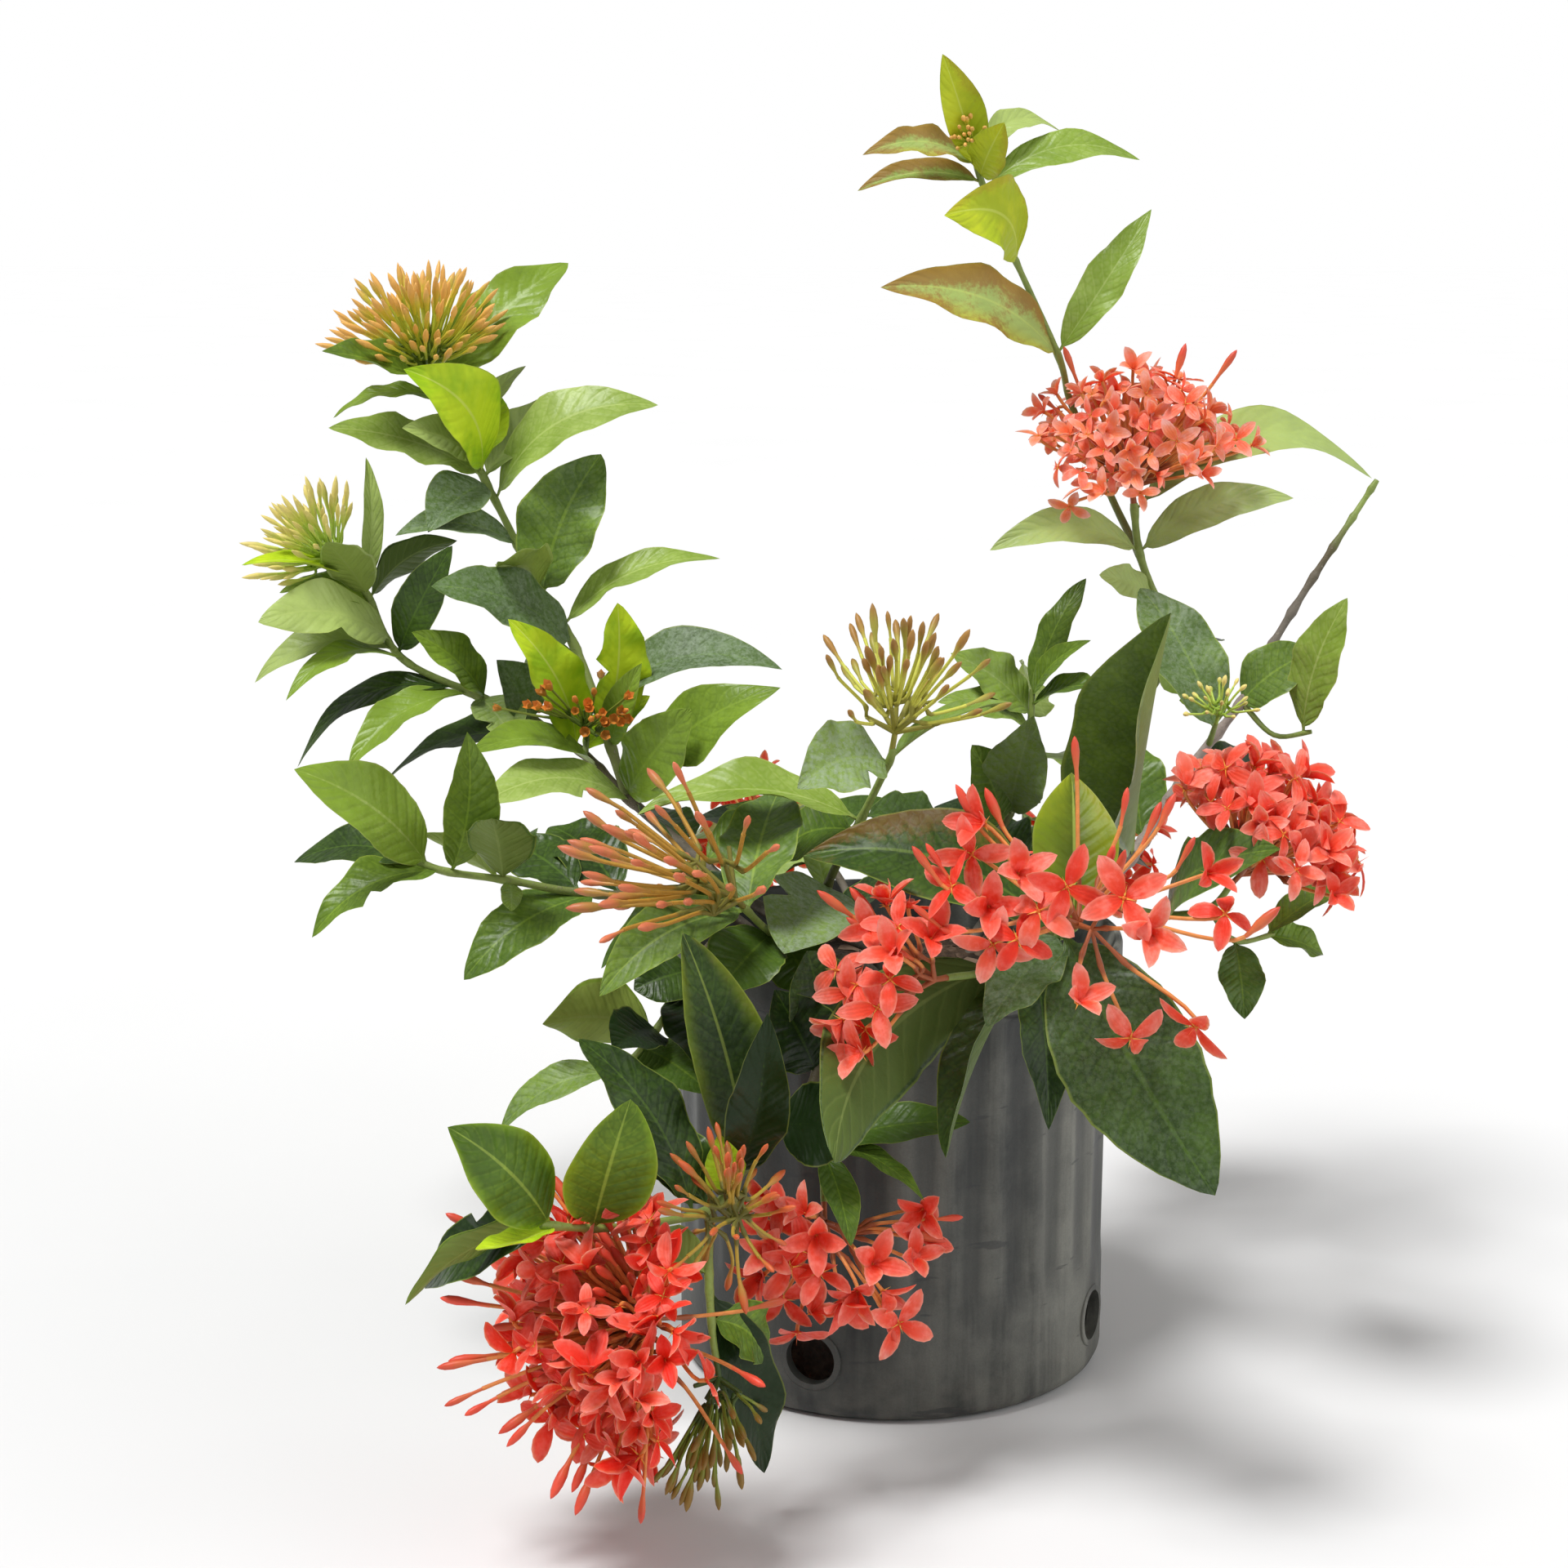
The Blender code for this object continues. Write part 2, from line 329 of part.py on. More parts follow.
# Colours (linear) and roughness of the plain materials
COLOURS = {
    "pot": ((0.055, 0.058, 0.056), 0.6),
    "soil": ((0.035, 0.022, 0.014), 0.95),
    "bark": ((0.10, 0.11, 0.04), 0.7),
    "leaf": ((0.045, 0.13, 0.025), 0.4),
    "young": ((0.36, 0.50, 0.02), 0.4),
    "stalk": ((0.62, 0.20, 0.05), 0.5),
    "petal": ((0.85, 0.07, 0.06), 0.5),
    "salmon": ((0.80, 0.16, 0.07), 0.5),
    "green_bud": ((0.20, 0.20, 0.03), 0.5),
    "young_bud": ((0.60, 0.25, 0.03), 0.5),
    "pale_bud": ((0.65, 0.45, 0.10), 0.5),
    "calyx": ((0.75, 0.17, 0.02), 0.6),
}
BUD_COLOURS = {"young": "young_bud", "pale": "pale_bud", "calyx": "calyx", "salmon": "salmon",
               "green": "green_bud", "coral": "salmon"}
STEM_SLOTS = ("bark", "leaf", "young")


def clear_scene():
    for thing in list(bpy.data.objects):
        bpy.data.objects.remove(thing, do_unlink=True)


def material(name):
    found = bpy.data.materials.get(name)
    if found:
        return found
    colour, roughness = COLOURS[name]
    made = bpy.data.materials.new(name)
    made.use_nodes = True
    shader = made.node_tree.nodes["Principled BSDF"]
    shader.inputs["Base Color"].default_value = (*colour, 1)
    shader.inputs["Roughness"].default_value = roughness
    shader.inputs["Metallic"].default_value = 0
    made.diffuse_color = (*colour, 1)
    return made


def solid(name, pieces, slots):
    """A mesh object from one piece or several: each is its points, its faces and its slot."""
    points, faces, indices = [], [], []
    for piece_points, piece_faces, slot in pieces:
        faces += [[len(points) + corner for corner in face] for face in piece_faces]
        indices += [slot] * len(piece_faces)
        points += [tuple(point) for point in piece_points]
    mesh = bpy.data.meshes.new(name)
    mesh.from_pydata(points, [], faces)
    for slot_name in slots:
        mesh.materials.append(material(slot_name))
    mesh.polygons.foreach_set("material_index", indices)
    shape = bpy.data.objects.new(name, mesh)
    bpy.context.scene.collection.objects.link(shape)
    facing = bmesh.new()
    facing.from_mesh(mesh)
    bmesh.ops.recalc_face_normals(facing, faces=facing.faces)
    bmesh.ops.triangulate(facing, faces=facing.faces)
    facing.to_mesh(mesh)
    facing.free()
    return shape


def evaluated_copy(shape):
    """What the object's modifiers make of it, as a plain mesh."""
    graph = bpy.context.evaluated_depsgraph_get()
    return bpy.data.meshes.new_from_object(shape.evaluated_get(graph), depsgraph=graph)


def combine(name, pieces, slots, operation, cutters=()):
    """One Boolean of the first piece with the rest, or with the cutters, applied."""
    shape = solid(name, pieces[:1] if operation == "UNION" else pieces, slots)
    others = pieces[1:] if operation == "UNION" else cutters
    group = bpy.data.collections.new(name + "_pieces")
    bpy.context.scene.collection.children.link(group)
    for other in others:
        helper = solid(name + "_piece", [other], slots)
        bpy.context.scene.collection.objects.unlink(helper)
        group.objects.link(helper)
    cut = shape.modifiers.new("combine", "BOOLEAN")
    cut.operand_type = "COLLECTION"
    cut.operation = operation
    cut.solver = "MANIFOLD"
    cut.collection = group
    mesh = evaluated_copy(shape)
    shape.modifiers.clear()
    shape.data = mesh
    shape.data.name = name
    for helper in list(group.objects):
        bpy.data.objects.remove(helper, do_unlink=True)
    bpy.data.collections.remove(group)
    tidy = bmesh.new()
    tidy.from_mesh(mesh)
    bmesh.ops.triangulate(tidy, faces=tidy.faces)
    tidy.to_mesh(mesh)
    tidy.free()
    return shape


class Placed:
    """The pieces that stand already, so that later ones can be kept out of them."""

    def __init__(self):
        self.pieces = []

    def add(self, node, kind, piece):
        points, faces, _ = piece
        low = [min(point[axis] for point in points) for axis in range(3)]
        high = [max(point[axis] for point in points) for axis in range(3)]
        self.pieces.append((node, kind, BVHTree.FromPolygons(points, faces), low, high))

    def meets(self, piece, wanted):
        """Whether the piece crosses one whose node and kind are wanted."""
        points, faces, _ = piece
        low = [min(point[axis] for point in points) for axis in range(3)]
        high = [max(point[axis] for point in points) for axis in range(3)]
        tree = None
        for node, kind, other, other_low, other_high in self.pieces:
            if not wanted(node, kind):
                continue
            if any(low[k] > other_high[k] or high[k] < other_low[k] for k in range(3)):
                continue
            tree = tree or BVHTree.FromPolygons(points, faces)
            if tree.overlap(other):
                return True
        return min(point.z for point in points) < FLOOR_CLEARANCE


def seen(u, v, y):
    """The point at depth y on the line of sight through (u, v) of the picture plane."""
    ray = FORWARD * PICTURE_DISTANCE + UPWARD * (v * CM) + Vector((u * CM, 0, 0))
    return EYE + ray * ((y * CM - EYE.y) / ray.y)


def as_seen(point):
    """The (u, v) at which a point shows on the picture plane."""
    from_eye = point - EYE
    scale = PICTURE_DISTANCE / from_eye.dot(FORWARD) / CM
    return Vector((from_eye.x * scale, from_eye.dot(UPWARD) * scale))


def smooth_route(points, spacing):
    """A smooth curve through the points, with a point about every `spacing` along it."""
    ends = [points[0] * 2 - points[1], *points, points[-1] * 2 - points[-2]]
    route = [points[0]]
    for a, b, c, d in zip(ends, ends[1:], ends[2:], ends[3:]):
        steps = max(1, round((c - b).length / spacing))
        for step in range(1, steps + 1):
            t = step / steps
            route.append(0.5 * (2 * b + (c - a) * t + (2 * a - 5 * b + 4 * c - d) * t ** 2
                                + (3 * b - a - 3 * c + d) * t ** 3))
    return route


def tube(route, radii, sides, slot=0):
    """A closed tube along a route. A last radius of 0 ends it in a point."""
    points, faces = [], []
    across = (route[1] - route[0]).orthogonal().normalized()
    for i, centre in enumerate(route):
        along = (route[min(i + 1, len(route) - 1)] - route[max(i - 1, 0)]).normalized()
        across = (across - along * across.dot(along)).normalized()
        if radii[i] == 0:
            points.append(centre)
            continue
        for side in range(sides):
            turned = Matrix.Rotation(math.tau * side / sides, 3, along) @ across
            points.append(centre + turned * radii[i])
    rings = len(route) - (radii[-1] == 0)
    for row in range(rings - 1):
        for side in range(sides):
            a = row * sides + side
            b = row * sides + (side + 1) % sides
            faces.append((a, b, b + sides, a + sides))
    faces.append(tuple(reversed(range(sides))))
    last = (rings - 1) * sides
    if radii[-1] == 0:
        faces += [(last + side, last + (side + 1) % sides, len(points) - 1)
                  for side in range(sides)]
    else:
        faces.append(tuple(range(last, last + sides)))
    return points, faces, slot


def lathe(profile, count):
    """A closed solid of rings: each is a height and a radius, or a radius for each point."""
    points, faces = [], []
    for height, radius in profile:
        for k in range(count):
            turn = math.tau * k / count
            reach = radius(k) if callable(radius) else radius
            points.append(Vector((reach * math.cos(turn), reach * math.sin(turn), height)))
    faces.append(tuple(reversed(range(count))))
    faces.append(tuple(range(len(points) - count, len(points))))
    for row in range(len(profile) - 1):
        for k in range(count):
            a = row * count + k
            b = row * count + (k + 1) % count
            faces.append((a, b, b + count, a + count))
    return points, faces, 0


def make_pot():
    """The blow-moulded shell: a plain foot band, flutes above it, a rim lip, open at the top."""
    flutes_foot = lambda k: POT_RADIUS - FLUTE_DEPTH * (k % 2)
    flutes_head = lambda k: POT_RADIUS + 1 * MM - FLUTE_DEPTH * (k % 2)
    lip_foot = POT_HEIGHT - RIM_HEIGHT
    inner = POT_RADIUS - POT_WALL - FLUTE_DEPTH
    shell = lathe([
        (0, POT_RADIUS - 8 * MM),
        (8 * MM, POT_RADIUS),
        (FOOT_BAND - 6 * MM, POT_RADIUS),
        (FOOT_BAND, flutes_foot),
        (lip_foot - 4 * MM, flutes_head),
        (lip_foot, RIM_RADIUS),
        (POT_HEIGHT, RIM_RADIUS),
        (POT_HEIGHT, RIM_RADIUS - 6 * MM),
        (lip_foot, inner + 1 * MM),
        (2.5 * MM, inner - 6 * MM),
    ], 2 * FLUTES)
    cutters = []
    for angle in DRAIN_ANGLES:
        out = Vector((math.cos(math.radians(angle)), math.sin(math.radians(angle)), 0))
        centre = out * POT_RADIUS + Vector((0, 0, DRAIN_HEIGHT))
        cutters.append(tube([centre - out * 12 * MM, centre + out * 12 * MM],
                            [DRAIN_RADIUS] * 2, 12))
    combine("pot", [shell], ("pot",), "DIFFERENCE", cutters)
    return shell


def make_soil():
    """The plug of potting soil, with a plain hole for the foot of each stem."""
    inner = POT_RADIUS - POT_WALL - FLUTE_DEPTH - 2 * GAP
    rough = random.Random(3)
    plug = lathe([
        (2.5 * MM + GAP, inner - 7 * MM),
        (SOIL_TOP - 2 * MM, inner - 0.4 * MM),
        (SOIL_TOP + 3 * MM, 0.8 * inner),
        (SOIL_TOP + 5 * MM, 0.35 * inner),
    ], FLUTES)
    for point in plug[0][2 * FLUTES:3 * FLUTES]:
        point.z += rough.uniform(-2, 2) * MM
    cutters = []
    for (x, y), branches in STEMS.values():
        foot = Vector((x * CM, y * CM, SOIL_TOP - STEM_DEPTH - GAP))
        radius = branches["trunk"][0] * MM + 2 * GAP
        cutters.append(tube([foot, foot + Vector((0, 0, 2 * STEM_DEPTH))], [radius] * 2, 6))
    combine("soil", [plug], ("soil",), "DIFFERENCE", cutters)
    return plug


def branch_routes(stem):
    """The smooth centre line of each branch of a stem, and its end radii. A branch with a head
    on it stops one neck's length short of its last point."""
    (x, y), branches = STEMS[stem]
    with_head = {head["on"][1] for head in HEADS.values() if head["on"][0] == stem}
    routes = {}
    for name, (start, end, places) in branches.items():
        points = [seen(*place) for place in places]
        if name == "trunk":
            foot = Vector((x * CM, y * CM, SOIL_TOP - STEM_DEPTH))
            points = [foot, foot + Vector((0, 0, STEM_DEPTH + 1.2 * CM)), *points]
        if name in with_head:
            back = (points[-2] - points[-1]).normalized()
            points[-1] = points[-1] + back * NECK_LENGTH
        routes[name] = (smooth_route(points, 3.6 * CM), start * MM, end * MM)
    return routes


def nearest_on(routes, u, v):
    """The point of a stem's centre lines that shows nearest to (u, v)."""
    wanted = Vector((u, v))
    found = []
    for route, _, _ in routes.values():
        for a, b in zip(route[1:], route[2:]):
            start, end = as_seen(a), as_seen(b)
            along = end - start
            most = 1 - LEAF_SET_BACK / (b - a).length if b == route[-1] else 1
            share = min(max((wanted - start).dot(along) / along.length_squared, 0), most)
            found.append(((start + along * share - wanted).length, a.lerp(b, share)))
    return min(found, key=lambda pair: pair[0])[1]


def leaf_frame(base, tip, look):
    """The leaf's sideways direction, its upper face's normal and its upward side."""
    along = (tip - base).normalized()
    to_eye = EYE - (base + tip) / 2
    to_eye = (to_eye - along * to_eye.dot(along)).normalized()
    side = to_eye.cross(along)
    if side.z < -0.2 or (abs(side.z) <= 0.2 and side.x < 0):
        side = -side
    turn = math.radians(look)
    normal = to_eye * math.cos(turn) + side * math.sin(turn)
    return normal.cross(along).normalized(), normal, side


def leaf(base, tip, width, look, bow, slot):
    """A thin blade with a flat upper face and a keel of a midrib below."""
    across, normal, side = leaf_frame(base, tip, look)
    length = (tip - base).length
    points, faces = [], []
    for t, share in LEAF_STATIONS:
        arch = 4 * t * (1 - t) * length
        middle = base.lerp(tip, t) + side * (bow * arch) + normal * (LEAF_CURL * arch)
        half = across * (share * width * CM / 2)
        points += [middle - half, middle + half, middle - normal * LEAF_THICKNESS]
    points.append(tip)
    rows = len(LEAF_STATIONS)
    faces.append((0, 2, 1))
    for row in range(rows - 1):
        left, right, keel = (3 * row + k for k in range(3))
        faces += [(left, right, right + 3), (left, right + 3, left + 3),
                  (right, keel, keel + 3), (right, keel + 3, right + 3),
                  (keel, left, left + 3), (keel, left + 3, keel + 3)]
    left, right, keel = (3 * (rows - 1) + k for k in range(3))
    faces += [(left, right, 3 * rows), (right, keel, 3 * rows), (keel, left, 3 * rows)]
    return points, faces, slot


def blade(piece):
    """The leaf without its stalk end, where neighbours on a stem may meet."""
    points, faces, slot = piece
    return points, faces[7:], slot


def place_leaf(stem, routes, row, slot, placed):
    """The leaf of a row, slid along the line of sight until it is clear of the rest."""
    u, v, tip_u, tip_v, tip_y, width, look, bow = row
    base = nearest_on(routes, u, v)
    tries = [leaf(base, seen(tip_u, tip_v, tip_y + shift), width, look, bow, slot)
             for shift in LEAF_SHIFTS]
    free = [one for one in tries
            if not placed.meets(one, lambda node, kind: node != stem and kind != "blade")]
    lone = [one for one in free
            if not placed.meets(blade(one), lambda node, kind: node == stem and kind != "leaf")]
    if not free:
        raise ValueError(f"no room for the leaf of {stem} with its tip at {tip_u}, {tip_v}")
    chosen = (lone or free)[0]
    placed.add(stem, "leaf", chosen)
    placed.add(stem, "blade", blade(chosen))
    return chosen


def bud(hub, tip, slot, belly):
    """A pointed club that widens from a thin stalk."""
    return tube([hub, hub.lerp(tip, 0.82), tip], [TUBE_RADIUS * 0.8, belly, 0], 3, slot)


def flower(hub, centre, facing, spin, slot):
    """A four-pointed star on a slender tube."""
    across = Matrix.Rotation(spin, 3, facing) @ facing.orthogonal().normalized()
    ways = [Matrix.Rotation(eighth * math.pi / 4, 3, facing) @ across for eighth in range(8)]
    points = [centre + facing * 0.6 * MM]
    for eighth, way in enumerate(ways):
        share = 1 if eighth % 2 else PETAL_NOTCH
        points.append(centre + way * (PETAL_LENGTH * share)
                      - facing * (0.16 * PETAL_LENGTH * share ** 2))
    points += [centre + way * (TUBE_RADIUS * 1.2) - facing * 1.2 * MM for way in ways[::2]]
    along = (centre - hub).normalized()
    first = (ways[0] - along * ways[0].dot(along)).normalized()
    points += [hub + (Matrix.Rotation(quarter * math.pi / 2, 3, along) @ first) * TUBE_RADIUS
               for quarter in range(4)]
    faces = [(0, 1 + k, 1 + (k + 1) % 8) for k in range(8)]
    for petal in range(4):
        notch, top, after = 1 + 2 * petal, 2 + 2 * petal, 1 + (2 * petal + 2) % 8
        near, far = 9 + petal, 9 + (petal + 1) % 4
        faces += [(near, top, notch), (near, far, top), (far, after, top),
                  (near, near + 4, far + 4), (near, far + 4, far)]
    faces.append((13, 16, 15, 14))
    return points, faces, slot


def dome_ways(axis, half_angle, count, spin):
    """Directions spread evenly over a cap round the axis."""
    across = axis.orthogonal().normalized()
    depth = 1 - math.cos(math.radians(half_angle))
    ways = []
    for i in range(count):
        tilt = math.acos(1 - depth * (i + 0.5) / count)
        turned = Matrix.Rotation(spin + GOLDEN_ANGLE * i, 3, axis) @ across
        ways.append(axis * math.cos(tilt) + turned * math.sin(tilt))
    return ways


def at_reach(hub, u, v, reach, nearer):
    """The point that shows at (u, v) and lies `reach` from the hub, on its near or far side."""
    ray = (seen(u, v, 0) - EYE).normalized()
    foot = EYE + ray * (hub - EYE).dot(ray)
    short = reach ** 2 - (foot - hub).length_squared
    return foot - ray * (math.sqrt(max(short, 0)) * (1 if nearer else -1))


def spots_of(head, hub, draw):
    """Where each flower and bud of a head may stand, first choice first."""
    reach = head["reach"] * CM
    flowers = [[at_reach(hub, u, v, reach * share, True) for share in REACH_SHARES]
               for u, v in head.get("flowers", ())]
    buds = []
    for i, (u, v) in enumerate(head.get("buds", ())):
        own = reach * draw.uniform(0.9, 1.05)
        buds.append([at_reach(hub, u, v, own * share, nearer == (i % 3 > 0))
                     for nearer in (True, False) for share in REACH_SHARES])
    if "dome" in head:
        aim, half_angle, flower_count, bud_count = head["dome"]
        total = flower_count + bud_count
        ways = dome_ways((seen(*aim) - hub).normalized(), half_angle, total,
                         draw.uniform(0, math.tau))
        for i, way in enumerate(ways):
            own = reach * draw.uniform(0.93, 1.07)
            spots = [hub + way * own * share for share in REACH_SHARES]
            is_bud = bud_count and (i + 1) * bud_count // total > i * bud_count // total
            (buds if is_bud else flowers).append(spots)
    return flowers, buds


def neck_of(head, routes):
    """The head's hub, and its neck and small core on the branch's flat end."""
    stem, branch = head["on"]
    route, _, radius = routes[stem][branch]
    along = (route[-1] - route[-2]).normalized()
    hub = route[-1] + along * NECK_LENGTH
    core = min(CORE_RADIUS, 0.25 * head["reach"] * CM)
    neck = tube([route[-1] + along * GAP, hub - along * core * 0.5, hub + along * core * 0.5,
                 hub + along * core], [radius, core * 0.87, core * 0.87, 0], 5)
    return hub, neck


def make_head(name, hub, neck, placed):
    """One head: its neck, and the flowers and buds that stand out of it."""
    head = HEADS[name]
    pieces = [neck]
    draw = random.Random(name)
    flowers, buds = spots_of(head, hub, draw)
    others = lambda node, kind: node != name and kind != "blade"
    for spots in flowers:
        spin = draw.uniform(0, math.tau)
        for spot in spots:
            outward = (spot - hub).normalized()
            to_eye = (EYE - spot).normalized() * math.copysign(1, head["face"])
            facing = outward.lerp(to_eye, abs(head["face"])).normalized()
            piece = flower(hub, spot, facing, spin, 1)
            if not placed.meets(piece, others):
                pieces.append(piece)
                break
    belly = BUD_RADIUS * (0.6 if head["reach"] < 3 else 1)
    for spots in buds:
        for spot in spots:
            piece = bud(hub, spot, 2, belly)
            if not placed.meets(piece, others):
                pieces.append(piece)
                break
    for piece in pieces[1:]:
        placed.add(name, "head", piece)
    combine(name, pieces, ("stalk", "petal", BUD_COLOURS[head["kind"]]), "UNION")


def main():
    clear_scene()
    placed = Placed()
    placed.add("pot", "pot", make_pot())
    placed.add("soil", "soil", make_soil())
    routes = {stem: branch_routes(stem) for stem in STEMS}
    pieces = {}
    for stem in STEMS:
        pieces[stem] = []
        for route, start, end in routes[stem].values():
            radii = [start + (end - start) * i / (len(route) - 1) for i in range(len(route))]
            pieces[stem].append(tube(route, radii, 5))
            placed.add(stem, "branch", pieces[stem][-1])
    necks = {name: neck_of(head, routes) for name, head in HEADS.items()}
    for name, (_, neck) in necks.items():
        placed.add(name, "neck", neck)
    for stem in STEMS:
        for slot, table in ((1, LEAVES), (2, YOUNG_LEAVES)):
            for row in table.get(stem, ()):
                pieces[stem].append(place_leaf(stem, routes[stem], row, slot, placed))
        combine(stem, pieces[stem], STEM_SLOTS, "UNION")
    for name in HEADS:
        make_head(name, *necks[name], placed)
    for shape in bpy.data.objects:
        shape.data.shade_smooth()
        shape.data.set_sharp_from_angle(angle=math.radians(35))


main()
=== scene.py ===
# %% [markdown]
# A potted ixora: a small evergreen shrub in a black nursery pot, with glossy leaves in pairs and
# a head of coral flowers, or of buds, on the tip of most stems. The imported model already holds
# its plain solids in the right places. This lesson dresses them: each solid is replaced by a
# finer piece that stands in the same place and has the finish of the real one.

import math
import random

import bmesh
import bpy
import numpy as np
from mathutils import Matrix, Vector
from mathutils.bvhtree import BVHTree
from mathutils.kdtree import KDTree


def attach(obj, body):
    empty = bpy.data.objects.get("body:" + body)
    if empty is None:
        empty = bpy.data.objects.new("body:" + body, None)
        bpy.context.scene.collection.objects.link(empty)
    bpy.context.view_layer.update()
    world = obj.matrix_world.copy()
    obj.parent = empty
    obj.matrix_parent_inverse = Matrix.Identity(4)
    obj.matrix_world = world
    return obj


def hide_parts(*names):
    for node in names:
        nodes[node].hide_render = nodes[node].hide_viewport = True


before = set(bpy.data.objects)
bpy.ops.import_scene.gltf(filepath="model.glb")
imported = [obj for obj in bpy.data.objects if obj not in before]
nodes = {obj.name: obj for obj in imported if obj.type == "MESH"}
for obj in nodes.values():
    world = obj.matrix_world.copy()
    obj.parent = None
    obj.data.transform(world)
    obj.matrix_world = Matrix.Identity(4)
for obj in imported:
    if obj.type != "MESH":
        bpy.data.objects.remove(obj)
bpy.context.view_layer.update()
CM, MM = 0.01, 0.001
print("the frame holds", len(nodes), "nodes")

# %% [markdown]
# Every place on the plant is given as (u, v, y): u to the right and v up, in cm on a picture
# plane in front of one standing point, and y its real depth in cm. The camera stands at the same
# point, so a leaf can be moved nearer or further without leaving its place in the picture.

# %% The standing point and the camera
EYE = Vector((-0.0616, -1.566, 0.645))
PITCH = math.radians(11.4)
PICTURE_DISTANCE = 1.75
SENSOR_WIDTH, LENS = 36, 65.625
FORWARD = Vector((0, math.cos(PITCH), -math.sin(PITCH)))
UPWARD = Vector((0, math.sin(PITCH), math.cos(PITCH)))


def seen(u, v, y):
    """The point at depth y on the line of sight through (u, v)."""
    ray = FORWARD * PICTURE_DISTANCE + UPWARD * (v * CM) + Vector((u * CM, 0, 0))
    return EYE + ray * ((y * CM - EYE.y) / ray.y)


def as_seen(point):
    """The (u, v) at which a point shows."""
    from_eye = point - EYE
    scale = PICTURE_DISTANCE / from_eye.dot(FORWARD) / CM
    return Vector((from_eye.x * scale, from_eye.dot(UPWARD) * scale))


camera_data = bpy.data.cameras.new("camera")
camera_data.sensor_width = SENSOR_WIDTH
camera_data.lens = LENS
camera = bpy.data.objects.new("camera", camera_data)
bpy.context.scene.collection.objects.link(camera)
camera.location = EYE
camera.rotation_euler = (math.pi / 2 - PITCH, 0, 0)
bpy.context.scene.camera = camera
print("the camera stands", round(-EYE.y, 2), "m in front of the pot")

# %% [markdown]
# The next cells list the plant as it grows: stems and their branches, then leaves, then heads.
# Each stem has its foot (x, y) on the soil in cm, then its branches. A branch is its radius in mm
# at both ends and the places that it passes. All but the first start on one that comes before.

